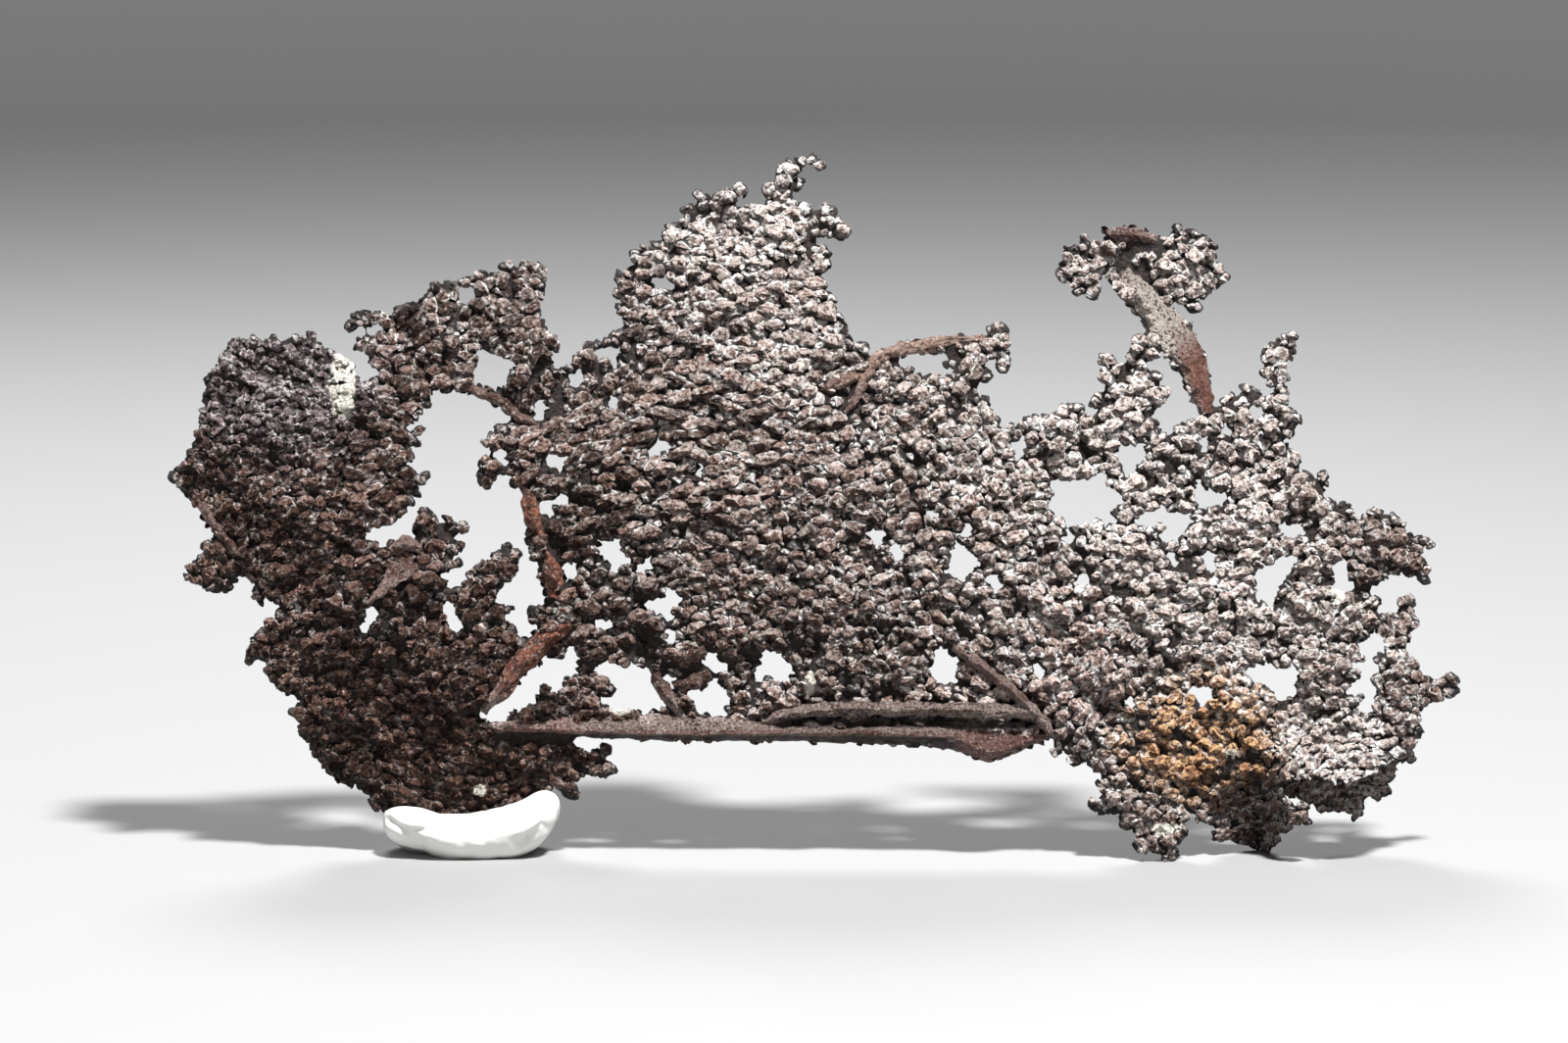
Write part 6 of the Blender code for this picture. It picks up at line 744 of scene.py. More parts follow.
# %% [markdown]
# ## One nub, modelled once
# A nub is a rounded crystal: knobbly, with a few flat faces.  It is repeated some ten thousand times, so
# it has only a few dozen faces.  A ball is shaken out of true and a few sides are pressed flat.  Nubs
# that sit on the sheet also lose the points of the side that never shows, whose place one flat face
# takes.  A dozen shapes are modelled, and every nub is a turned and stretched copy of one of them.

# %% Model the nub shapes
SHAKE = 0.22                    # how far a nub's points are out of true, as a share of its radius
FLAT_AT = (0.70, 0.85)          # how far from its middle a side is pressed flat
BASE_AT = 0.12                  # how far behind its middle a sitting nub is cut off


def triangles(ob):
    """A triangle mesh's points and faces as arrays."""
    points = np.empty(len(ob.data.vertices) * 3)
    ob.data.vertices.foreach_get("co", points)
    faces = np.empty(len(ob.data.loops), int)
    ob.data.loops.foreach_get("vertex_index", faces)
    return points.reshape(-1, 3), faces.reshape(-1, 3)


def nub_shape(seed, rounds=2, flats=2, sits=True):
    """One nub of radius 1.  One that sits has its base cut off; it stands out towards -y."""
    deselect()
    bpy.ops.mesh.primitive_ico_sphere_add(subdivisions=rounds, radius=1.0, location=(0, 0, 0),
                                          rotation=tuple(rng.uniform(0, math.pi, 3)))
    ob = bpy.context.object
    bpy.ops.object.transform_apply(rotation=True)
    bpy.ops.object.mode_set(mode="EDIT")
    bpy.ops.transform.vertex_random(offset=SHAKE, seed=seed)
    bpy.ops.mesh.select_all(action="DESELECT")
    bpy.ops.object.mode_set(mode="OBJECT")
    for _ in range(flats):
        away, out = Vector(rng.normal(size=3)).normalized(), rng.uniform(*FLAT_AT)
        for v in ob.data.vertices:
            v.co -= away * max(0.0, v.co.dot(away) - out)
    if sits:
        for v in ob.data.vertices:
            v.select = v.co.y > BASE_AT
        bpy.ops.object.mode_set(mode="EDIT")
        bpy.ops.mesh.dissolve_verts()
        bpy.ops.mesh.select_all(action="SELECT")
        bpy.ops.mesh.quads_convert_to_tris()
        bpy.ops.object.mode_set(mode="OBJECT")
    shape = triangles(ob)
    bpy.data.objects.remove(ob)
    return shape


sitting_nubs = [nub_shape(seed, flats=seed % 3) for seed in range(12)]
whole_nubs = [nub_shape(20 + seed, flats=1, sits=False) for seed in range(6)]
buds = [nub_shape(30 + seed, rounds=1, flats=0, sits=False) for seed in range(6)]
for name, shapes in (("sitting", sitting_nubs), ("whole", whole_nubs), ("buds", buds)):
    print(name, "nub shapes with", [len(faces) for _, faces in shapes], "triangles")


# %% [markdown]
# ## Turning and copying
# Ten thousand objects would be slow, so the copies are made with arrays: each is turned at random, then
# stretched, turned to the grain and moved, all at once.

# %% Turn and copy them
def any_turns(count):
    """Rotation matrices in all directions, from random quaternions."""
    q = rng.normal(size=(count, 4))
    w, x, y, z = (q / np.linalg.norm(q, axis=1, keepdims=True)).T
    return np.stack((1 - 2 * (y * y + z * z), 2 * (x * y - z * w), 2 * (x * z + y * w),
                     2 * (x * y + z * w), 1 - 2 * (x * x + z * z), 2 * (y * z - x * w),
                     2 * (x * z - y * w), 2 * (y * z + x * w), 1 - 2 * (x * x + y * y)), 1).reshape(-1, 3, 3)


def spins(count, side):
    """Random turns about the stand-out axis, for nubs that face the front (-1) or the back (+1)."""
    angle = rng.uniform(0, 2 * math.pi, count)
    c, s, nil, one = np.cos(angle), np.sin(angle), np.zeros(count), np.ones(count)
    turns = np.stack((c, nil, s, nil, one, nil, -s, nil, c), 1).reshape(-1, 3, 3)
    facing = np.diag((-side, -side, 1.0))
    return facing @ turns


def copies(shapes, centres, sizes, turns, rotations):
    """Many nubs on the plan: their points (x, stand-out, z), triangles, and each point's nub."""
    points, faces, owner, start = [], [], [], 0
    which = rng.integers(0, len(shapes), len(centres))
    for k, (shape, corners) in enumerate(shapes):
        mine = np.flatnonzero(which == k)
        p = np.einsum("nij,pj->npi", rotations[mine], shape) * sizes[mine][:, None]
        c, s = np.cos(turns[mine])[:, None], np.sin(turns[mine])[:, None]
        p = np.stack((p[..., 0] * c - p[..., 2] * s, p[..., 1], p[..., 0] * s + p[..., 2] * c), -1)
        points.append((p + centres[mine][:, None]).reshape(-1, 3))
        first = start + np.arange(len(mine)) * len(shape)
        faces.append((corners[None] + first[:, None, None]).reshape(-1, 3))
        owner.append(np.repeat(mine, len(shape)))
        start += len(points[-1])
    return np.concatenate(points), np.concatenate(faces), np.concatenate(owner)


# %% [markdown]
# ## A growth of nubs
# One sheet's nubs are kept together: a row for each nub, and the points and triangles of them all.
# Patina and mineral film lie in the crevices, handling wears the tops, and shade is painted deep between the
# nubs, so the finish needs to know which is which.  Each point asks how far outside the neighbouring nubs it
# lies: where two nubs meet, the answer is nothing, and on a free top it is a millimetre or more.

# %% Growth of nubs
WEB_THICKNESS = 1.3             # of the thin web of metal that the nubs sit on


class Growth:
    """The nubs on one sheet."""

    def __init__(self, depth):
        self.depth = depth
        self.nubs = np.empty((0, 7))            # centre, size (along, out, across), turn
        self.points = np.empty((0, 3))
        self.faces = np.empty((0, 3), int)
        self.owner = np.empty(0, int)

    def add(self, shapes, centres, sizes, turns, rotations, owners=None):
        """Lays copies of the shapes.  A bud gives the nub that it grows on."""
        if owners is None:
            owners = len(self.nubs) + np.arange(len(centres))
            self.nubs = np.concatenate((self.nubs, np.column_stack((centres, sizes, turns))))
        points, faces, mine = copies(shapes, centres, sizes, turns, rotations)
        self.faces = np.concatenate((self.faces, faces + len(self.points)))
        self.points = np.concatenate((self.points, points))
        self.owner = np.concatenate((self.owner, owners[mine]))
        return owners

    def room(self, neighbours=14):
        """How far each point lies outside the other nubs and the web, in millimetres."""
        centres, sizes, turns = self.nubs[:, :3], self.nubs[:, 3:6], self.nubs[:, 6]
        tree = KDTree(len(centres))
        for i, centre in enumerate(centres):
            tree.insert(centre, i)
        tree.balance()
        near = np.array([[k for _, k, _ in tree.find_n(centre, neighbours + 1)][1:] for centre in centres])
        best = np.abs(self.points[:, 1]) - WEB_THICKNESS / 2
        for other in near[self.owner].T:
            away = self.points - centres[other]
            c, s = np.cos(turns[other]), np.sin(turns[other])
            along, across = away[:, 0] * c + away[:, 2] * s, away[:, 2] * c - away[:, 0] * s
            local = np.stack((along, away[:, 1], across), 1)
            out = np.linalg.norm(local / sizes[other], axis=1) - 1.0
            best = np.minimum(best, out * sizes[other].min(1))
        return best


# %% [markdown]
# ## Where smooth metal lies
# A few parts have no nubs: ribs, blades and spindles on the front, and a wedge-shaped rib along the
# bottom edge.  Their paths are drawn here, before the nubs, because the nubs leave room for them.

# %% Paths of the ribs
# Each path is a row of (x, z, stand-out, half width, half depth).
RIBS = {
    "upright rib": [
        (-59.4, 77, -0.6, 0.6, 1), (-58.5, 73.6, -1.5, 1.8, 1.7), (-57.6, 70, -1.7, 2, 1.8),
        (-56.4, 66.6, -1, 0.8, 1.2)],
    "lower spindle": [
        (-55, 63.4, -1, 0.8, 1.2), (-53.8, 60, -1.7, 2, 1.7), (-53.5, 57, -1.5, 1.9, 1.6),
        (-53.8, 54.2, -0.8, 1, 1.2)],
    "torn blade": [
        (-91.4, 52.8, -1.2, 0.5, 0.9), (-88.2, 56, -2.4, 1.3, 1.3), (-85.2, 59.2, -2.8, 2.3, 1.4),
        (-81.6, 60.2, -1.8, 1.1, 1.1)],
    "upper blade": [(-86.8, 63.4, -1.2, 1, 1.1), (-84.2, 65, -2.2, 1.9, 1.3), (-80.6, 64.2, -1.4, 1.2, 1.1)],
    "slanting rib": [
        (-68, 30.6, -0.4, 1, 1.4), (-64.5, 35, -1, 1.9, 2.2), (-60, 40.8, -1.4, 2.3, 2.4),
        (-54.5, 46, -1.2, 2.2, 2.2), (-50, 49, -0.6, 1.2, 1.6)],
    "edge strip": [
        (-127, 76, -0.6, 0.9, 1.1), (-123.4, 70, -1, 1.3, 1.4), (-119, 64, -1, 1.3, 1.5),
        (-114.5, 57.5, -0.6, 0.9, 1.3)],
    "high strip": [
        (-71, 96.6, -0.4, 0.8, 1.1), (-65.5, 94.6, -1, 1.3, 1.5), (-60.5, 91.6, -0.8, 1.2, 1.4),
        (-56.5, 89, -0.4, 0.8, 1.1)],
    "strap": [
        (5.6, 90.6, -0.4, 0.7, 1.1), (8.2, 95, -1.2, 0.9, 1.3), (10.6, 99.6, -1.6, 1.3, 1.4),
        (13, 103.2, -1.4, 1.5, 1.4), (17.4, 104.8, -0.8, 1.5, 1.4), (23, 105.6, -0.2, 1.6, 1.4),
        (28.5, 106.4, 0.2, 1.3, 1.3), (34.5, 106.6, 0.4, 0.9, 1.2)],
    "leaf": [
        (0.8, 96.4, -0.6, 0.4, 0.7), (3.4, 97.6, -1.6, 1.5, 1.2), (6.2, 98.4, -1.6, 1.6, 1.2),
        (9.6, 99.8, -0.8, 0.8, 1)],
    "stalk": [
        (79.6, 91.6, -0.2, 1.5, 1.5), (78.6, 96, -0.6, 2.2, 1.9), (77.2, 101, -0.8, 3, 2),
        (74, 106.6, -0.8, 3.9, 2.1), (70, 111.6, -0.6, 3.5, 2), (66, 116.4, -0.4, 2.8, 1.8),
        (62.8, 120.6, 0, 2, 1.6)],
    "crown blade": [
        (59.4, 128.2, -0.4, 1, 0.9), (62.5, 128.2, -0.8, 1.5, 1.2), (66, 127.9, -0.6, 1.5, 1.3),
        (69.6, 127, -0.2, 1.2, 1.2)],
    "tine": [
        (-33.2, 38.6, -0.4, 1.2, 1.4), (-31, 35, -0.4, 1.6, 1.7), (-28.6, 32, -0.4, 1.7, 1.8),
        (-27, 29.4, 0, 1.6, 1.6)],
    "cross tine": [(-29, 36, 0, 1.2, 1.4), (-25.4, 36.8, -0.4, 1.5, 1.7), (-21.8, 38.4, -0.4, 1.3, 1.4)],
    "left blade": [
        (-28, 40.4, -0.4, 0.9, 1.2), (-25.6, 42.4, -1.2, 1.9, 1.7), (-22.6, 43.6, -0.8, 1.2, 1.4)],
    "groove lip": [
        (-11, 28.6, -1, 0.9, 1.4), (-4, 30.6, -2, 1.5, 1.8), (6, 31.4, -2.4, 1.6, 2),
        (20, 31.3, -2.6, 1.7, 2), (34, 31, -2.8, 1.7, 2.1), (45, 30.6, -2.6, 1.8, 2)],
    "fold": [
        (28, 44, -1, 0.9, 1.6), (34, 40, -1.6, 1.2, 2), (40, 35, -2.2, 1.5, 2.4), (46, 29, -2.4, 1.5, 2.4),
        (47.6, 26.4, -1.6, 0.8, 1.4)],
    "cream spike": [(-1.8, 33.4, -2.4, 0.6, 0.7), (-1.2, 36, -3.4, 0.8, 0.8), (-0.6, 38.6, -3.2, 0.3, 0.3)],
}
# The long rib along the bottom edge is a wedge: x, top z, ridge z, bottom z, ridge stand-out.
LONG_RIB = [
    (-69, 28.4, 27.4, 26.6, 0.8), (-60, 29, 27.4, 26.4, 2.2), (-50, 29.8, 27, 25.6, 3.2),
    (-40, 29.8, 26.4, 25.2, 4), (-30, 30, 26.2, 24.9, 4.4), (-18, 29.4, 26.2, 24.8, 4.6),
    (-6, 28, 26.4, 24.8, 4.6), (8, 28, 26.4, 24.3, 4.4), (20, 28.4, 26, 23.8, 4.4),
    (28, 28.4, 25.2, 23, 4.6), (33, 27.8, 23.4, 21, 4.4), (37, 27.4, 22.6, 21, 3.8),
    (43, 27.4, 24.6, 23.4, 3), (48, 26.6, 26, 25.4, 1.2),
]
LONG_RIB_ROOM = 2.5             # how far the long rib's margin grows with the reach


def from_line(x, z, a, b):
    """How far places are from the line from a to b, and where along it their nearest point is."""
    dx, dz = b[0] - a[0], b[1] - a[1]
    t = np.clip(((x - a[0]) * dx + (z - a[1]) * dz) / (dx * dx + dz * dz), 0, 1)
    return np.hypot(x - a[0] - t * dx, z - a[1] - t * dz), t


def on_smooth_metal(x, z, reach):
    """Whether places are on a rib or a blade; the reach is of its half width."""
    along, top, _, low, _ = np.array(LONG_RIB).T
    margin = (reach - 1) * LONG_RIB_ROOM
    top = np.interp(x, along, top, left=-99, right=-99)
    low = np.interp(x, along, low, left=999, right=999)
    hit = (z < top + margin) & (z > low - margin)
    for path in RIBS.values():
        for a, b in zip(path, path[1:]):
            far, t = from_line(x, z, a, b)
            hit |= far < (a[3] + (b[3] - a[3]) * t) * reach
    return hit


# %% [markdown]
# ## Nubs on both faces
# The nubs of each face stand out by different amounts, which gives the deep, dark crevices between
# them.  The ones that show carry small buds, mostly at the right, where they are like cauliflower.

# %% Cover a face with nubs
PASSES = ((1.22, 26000), (0.92, 34000), (0.66, 60000))      # scale of the nubs, and how often one is tried
LEAST_ROOM = 0.4                # from a nub's middle to the nearest edge
OVERHANG = 0.15                 # how far a nub may reach past the edge
CLEAR_OF_RIBS = 0.7             # of a rib's half width
RISE = (0.55, 1.15)             # how far a nub's middle stands out
SWELL, SWELL_RELIEF = 0.9, 0.55
FATNESS = (1.0, 1.3)            # a nub's depth for its width
CLOSE = 1.12                    # all nubs are this much bigger than their place, so they meet
BUDS_A_NUB = 3                  # at most
BUDDING, BUDDING_RIGHT = 0.46, 0.42     # the share that has one, and what is added at the right
BUDDING_BEHIND = 0.25
BUD_WIDTHS, EDGE_BUD_WIDTHS = (0.30, 0.52), (0.35, 0.55)    # of the nub's


def sprout(growth, nubs, width, widths, sunk, side=0):
    """A bud on each of these nubs (centre, reach, turn, number), turned to one side or to any."""
    centres, reach, turn, owners = nubs
    aim = rng.normal(size=(len(centres), 3))
    if side:
        aim[:, 1] = side * (np.abs(aim[:, 1]) + 0.35)
    aim /= np.linalg.norm(aim, axis=1, keepdims=True)
    small = width * rng.uniform(*widths, len(aim))
    sizes = np.stack((small,) * 3, 1)
    growth.add(buds, centres + aim * reach * sunk, sizes, turn, any_turns(len(aim)), owners)


def cover(growth, outline, gaps, side, share=1.0):
    """The nubs of one face of the sheet, and the buds on them."""
    passes = [(scale, int(tries * share)) for scale, tries in PASSES]
    x, z, turn, length, half, lean, scale = scatter(outline, gaps, growth.depth, passes)
    room = edge_distance(x, z, [outline] + gaps)
    keep = room > LEAST_ROOM
    if side < 0 and growth.depth is sheet_depth:
        keep &= ~on_smooth_metal(x, z, CLEAR_OF_RIBS)
    nubs = np.stack((x, z, turn, length, half, lean, scale, room))[:, keep]
    x, z, turn, length, half, lean, scale, room = nubs
    half = np.minimum(half, room + OVERHANG)
    length = 1 + (length - 1) * np.clip((room - 0.8) / 1.5, 0, 1)      # round near an edge
    swell = SWELL + SWELL_RELIEF * relief(x, z)
    rise = swell * rng.uniform(*RISE, len(x)) * np.clip(scale, 0.55, 1.1) * np.clip(room / 1.6, 0.35, 1)
    centres = np.stack((x, side * rise, z), 1)
    sizes = np.stack((half * length, half * rng.uniform(*FATNESS, len(x)), half * lean), 1) * CLOSE
    owners = growth.add(sitting_nubs, centres, sizes, turn, spins(len(x), side))
    budding = BUDDING + BUDDING_RIGHT * smooth_step((x - 20.0) / 50.0)
    budding = budding * (1.0 if side < 0 else BUDDING_BEHIND)
    for _ in range(BUDS_A_NUB):
        has = (rng.random(len(x)) < budding) & (half > 0.70)
        sprout(growth, (centres[has], sizes[has], turn[has], owners[has]), half[has], BUD_WIDTHS, 0.84, side)


# %% [markdown]
# ## Nubs along the edges
# A row of nubs follows every edge, so the rim of each gap is knobbly and never a thin plate.

# %% Line the edges with nubs
RIM_SPACING = 1.7
RIM_STRAY = 0.4                 # along the edge
RIM_INSET = (0.6, 1.15)         # how far inside the edge
RIM_CLEAR_OF_RIBS = 1.6
RIM_BUDDING = 0.6


def inward(loop, is_gap):
    """+1 or -1: the side of its lines on which the metal of a loop lies."""
    x, z = np.array(loop, float).T
    area = (x * np.roll(z, -1) - np.roll(x, -1) * z).sum()
    return math.copysign(1.0, area) * (-1.0 if is_gap else 1.0)


def rim_places(loop, is_gap):
    """Rows of x, z and inset, evenly along a loop and just inside the metal."""
    loop = np.array(loop, float)
    lines = np.roll(loop, -1, 0) - loop
    lengths = np.hypot(*lines.T)
    total = lengths.sum()
    marks = np.arange(rng.uniform(0, RIM_SPACING), total, RIM_SPACING)
    marks = np.clip(marks + rng.uniform(-RIM_STRAY, RIM_STRAY, len(marks)), 0, total - 1e-6)
    along = np.concatenate(([0], np.cumsum(lengths)))
    which = np.clip(np.searchsorted(along, marks, side="right") - 1, 0, len(loop) - 1)
    length = np.maximum(lengths[which], 1e-6)[:, None]
    places = loop[which] + lines[which] * ((marks - along[which])[:, None] / length)
    heading = lines[which] / length
    normal = np.stack((-heading[:, 1], heading[:, 0]), 1) * inward(loop, is_gap)
    inset = rng.uniform(*RIM_INSET, (len(places), 1))
    return np.concatenate((places + normal * inset, inset), 1)


def rim(growth, loops, is_gap):
    """Whole nubs along the edges, with buds on some."""
    x, z, inset = np.concatenate([rim_places(loop, is_gap) for loop in loops]).T
    if growth.depth is sheet_depth:
        keep = ~on_smooth_metal(x, z, RIM_CLEAR_OF_RIBS)
        x, z, inset = x[keep], z[keep], inset[keep]
    turn = grain_at(x, z)[0]
    size = inset + rng.uniform(-0.1, 0.25, len(x))
    centres = np.stack((x, rng.uniform(-0.7, 0.7, len(x)), z), 1)
    owners = growth.add(whole_nubs, centres, np.stack((size, size * 1.15, size), 1), turn, any_turns(len(x)))
    has = rng.random(len(x)) < RIM_BUDDING
    sprout(growth, (centres[has], size[has, None], turn[has], owners[has]), size[has], EDGE_BUD_WIDTHS, 0.8)


# %% [markdown]
# ## The whole sheet and its flap
# The sheet is covered on both faces and along every edge.  Two short feet of whole nubs carry it at the
# lower right, and the flap behind the lip is a small sheet of its own.

# %% Grow the nubs
FOOT_NUBS = [(72.2, 1.6, 1.5), (72.0, 4.0, 1.7), (91.6, 2.4, 1.6), (91.8, 4.8, 1.8), (91.4, 7.0, 1.9)]
FLAP_SHARE = 0.1                # of the tries, because the flap is small

sheet_growth = Growth(sheet_depth)
cover(sheet_growth, OUTLINE, sheet_gaps, -1.0)
cover(sheet_growth, OUTLINE, sheet_gaps, 1.0)
rim(sheet_growth, [OUTLINE], False)
rim(sheet_growth, sheet_gaps, True)
x, z, radius = np.array(FOOT_NUBS).T
sheet_growth.add(whole_nubs, np.stack((x, 0 * x, z), 1), np.stack((radius,) * 3, 1), 0 * x, any_turns(len(x)))
flap_growth = Growth(flap_depth)
cover(flap_growth, REAR_FLAP, [], -1.0, FLAP_SHARE)
cover(flap_growth, REAR_FLAP, [], 1.0, FLAP_SHARE)
rim(flap_growth, [REAR_FLAP], False)
for name, growth in (("sheet", sheet_growth), ("flap", flap_growth)):
    print(name, len(growth.nubs), "nubs,", len(growth.faces), "triangles")
print("nubs placed in", round(time.time() - started, 1), "s")

# %% [markdown]
# ## Where the pale film lies
# A thin pale mineral film dulls the copper.  It is thick at the right and on the dome, thin at the left,
# and gone at the lower left, which is the darkest part.  The same smooth average that bends the
# sheet spreads a few pegs of (x, z, film) over it.

# %% Pale film
FILM = [
    (-118, 98, 0.3), (-98, 103, 0.4), (-120, 78, 0.22), (-92, 76, 0.28), (-124, 60, 0.15), (-104, 50, 0.1),
    (-95, 26, 0), (-66, 20, 0), (-47, 22, 0.12), (-80, 45, 0.08), (-66, 62, 0.15), (-70, 112, 0.65),
    (-54, 98, 0.45), (-44, 66, 0.32), (-46, 42, 0.25), (-30, 92, 0.4), (-14, 130, 0.88), (-8, 108, 0.58),
    (-12, 80, 0.4), (-8, 50, 0.34), (12, 72, 0.44), (28, 90, 0.6), (30, 52, 0.48), (52, 82, 0.8),
    (48, 52, 0.66), (72, 64, 0.95), (62, 38, 0.72), (86, 42, 0.85), (97, 84, 0.75), (122, 62, 0.4),
    (110, 48, 0.62), (130, 36, 0.3), (110, 28, 0.78), (72, 14, 0.55), (92, 8, 0.35), (72, 122, 0.72),
]
film_field = field(FILM, SOFT_FILM)
print("film at the left, middle and right:", film_field([-100, 0, 100], [60, 60, 60]).round(2))

# %% [markdown]
# ## From arrays to pieces
# The nubs are joined into six level bands, each small enough for one piece and each with its own values
# for the finish: how much room a point has, how far it stands out of the sheet, and its nub's own shade.

# %% Bend the nubs out of shape
WARP = 0.30                     # how far neighbours press a nub's points
BUMP_COUNT = 14
BUMP_SHORTEST, BUMP_SPREAD = 1.5, 2.5

bumps = [(rng.normal(size=3), rng.uniform(0, 2 * math.pi), rng.normal(size=3)) for _ in range(BUMP_COUNT)]


def warp(points):
    """Crowded nubs press each other out of shape: a sum of waves 1.5 to 4 mm long, in all directions."""
    moved = points.copy()
    for aim, shift, push in bumps:
        rate = 2 * math.pi / (BUMP_SHORTEST + BUMP_SPREAD * abs(math.sin(shift)))
        wave = np.sin(points @ (aim / np.linalg.norm(aim)) * rate + shift)
        moved += wave[:, None] * push * WARP / math.sqrt(BUMP_COUNT)
    return moved


# %% [markdown]
# ## Six bands
# One mesh of them all would be too large to keep, and small patches would be too many to handle.

# %% Make the bands
BAND_COUNT = 6


def mesh_object(name, points, faces, **values):
    """A mesh object in metres, from arrays in millimetres, with a value for each point by name."""
    mesh = bpy.data.meshes.new(name)
    mesh.vertices.add(len(points))
    mesh.vertices.foreach_set("co", (np.asarray(points) * MM).ravel())
    mesh.loops.add(faces.size)
    mesh.loops.foreach_set("vertex_index", faces.ravel())
    mesh.polygons.add(len(faces))
    mesh.polygons.foreach_set("loop_start", np.arange(len(faces)) * 3)
    mesh.update(calc_edges=True)
    for key, numbers in values.items():
        mesh.attributes.new(key, "FLOAT", "POINT").data.foreach_set("value", np.asarray(numbers, np.float32))
    return new_object(name, mesh)


def growth_values(growth):
    """The values that the finish reads."""
    shade, tint = rng.random((2, len(growth.nubs)))
    x, _, z = growth.points.T
    return {"room": growth.room(), "tall": np.abs(growth.points[:, 1]), "shade": shade[growth.owner],
            "tint": tint[growth.owner], "film": film_field(x, z)}


growths = (sheet_growth, flap_growth)
values = [growth_values(growth) for growth in growths]
values = {key: np.concatenate([part[key] for part in values]) for key in values[0]}
points = np.concatenate([bend(warp(growth.points), growth.depth) for growth in growths])
faces = np.concatenate((sheet_growth.faces, flap_growth.faces + len(sheet_growth.points)))
# A nub and its buds go into one band together, by the height of the nub's centre.
heights = [bend(growth.nubs[:, :3], growth.depth)[growth.owner][:, 2] for growth in growths]
face_heights = np.concatenate(heights)[faces[:, 0]]
in_band = np.searchsorted(np.quantile(face_heights, np.arange(1, BAND_COUNT) / BAND_COUNT), face_heights)
print("room in mm:", np.percentile(values["room"], (5, 25, 50, 75, 95)).round(2))

bands = []
for number in range(BAND_COUNT):
    used, corners = np.unique(faces[in_band == number], return_inverse=True)
    mine = {key: numbers[used] for key, numbers in values.items()}
    bands.append(mesh_object(f"copper_nubs_{number + 1}", points[used], corners.reshape(-1, 3), **mine))
    pick(bands[-1])
    bpy.ops.object.shade_flat()
    print(bands[-1].name, len(bands[-1].data.polygons), "triangles")
print("bands made in", round(time.time() - started, 1), "s")

# %% [markdown]
# ## The web under the nubs
# A filled flat curve takes an outline and its holes in one go, which is the quickest way to a plate with
# a hundred gaps.  It is made a mesh, given small even faces by a voxel remesh, and only then bent,
# because its first faces are too long to follow the sheet's waves.  It has to stop a little short of
# every edge, so it is made too thick and then shrunk along its normals.

# %% Model the web
WEB_GRAIN = 0.9                 # size of the web's faces before they are thinned out
WEB_INSET = 0.6                 # the web stops short of the edge, where the rim's nubs hide it
WEB_KEPT = 0.3                  # share of the faces that is kept


def web(name, outline, gaps, depth):
    """The points and triangles of one sheet's web."""
    curve = bpy.data.curves.new(name, "CURVE")
    curve.dimensions = "2D"
    curve.fill_mode = "BOTH"
    curve.extrude = WEB_THICKNESS / 2 + WEB_INSET
    for loop in [outline] + gaps:
        spline = curve.splines.new("POLY")
        spline.points.add(len(loop) - 1)
        for point, (x, z) in zip(spline.points, loop):
            point.co = (x, z, 0.0, 1.0)
        spline.use_cyclic_u = True
    pick(new_object(name, curve))
    bpy.ops.object.convert(target="MESH")
    ob = bpy.context.object
    mend(ob, 0.0001)
    modify(ob, "REMESH", mode="VOXEL", voxel_size=WEB_GRAIN, adaptivity=0.0)
    modify(ob, "DISPLACE", strength=-WEB_INSET, mid_level=0.0)
    modify(ob, "TRIANGULATE")
    points, faces = triangles(ob)
    bpy.data.objects.remove(ob)
    # The curve's plane stands up: its y is the plan's z.
    return bend(np.stack((points[:, 0], -points[:, 2], points[:, 1]), 1), depth), faces


def join(parts):
    """Several (points, faces) as one."""
    starts = np.cumsum([0] + [len(points) for points, _ in parts])
    return (np.concatenate([points for points, _ in parts]),
            np.concatenate([faces + start for (_, faces), start in zip(parts, starts)]))


web_piece = mesh_object("copper_web", *join([web("sheet_web", OUTLINE, sheet_gaps, sheet_depth),
                                             web("flap_web", REAR_FLAP, [], flap_depth)]))
modify(web_piece, "DECIMATE", ratio=WEB_KEPT)
print("web:", len(web_piece.data.polygons), "triangles")

# %% [markdown]
# ## Ribs and blades
# The long rib, the stalk of the crown, the strap of the arm and the small blades are smooth metal.  Each
# could be a curve with a bevel, but its width and depth change all the way along, so each is a loft.
# Rings round a given path are joined by faces, and a displacement takes the polish off them.

# %% Model the ribs
RIB_WIDTH = 0.92                # of the half widths that the paths give
RIB_RELIEF = ((4.0, 1.5), (1.5, 1.0))   # grain and height of the two layers of unevenness
RIB_SOFT_ANGLE = math.radians(28)       # faces that meet at less are shaded as one
RIB_ROUNDS, LONG_RIB_ROUNDS = 5, 6      # rings for each step of the path
LONG_RIB_BACK = 1.4


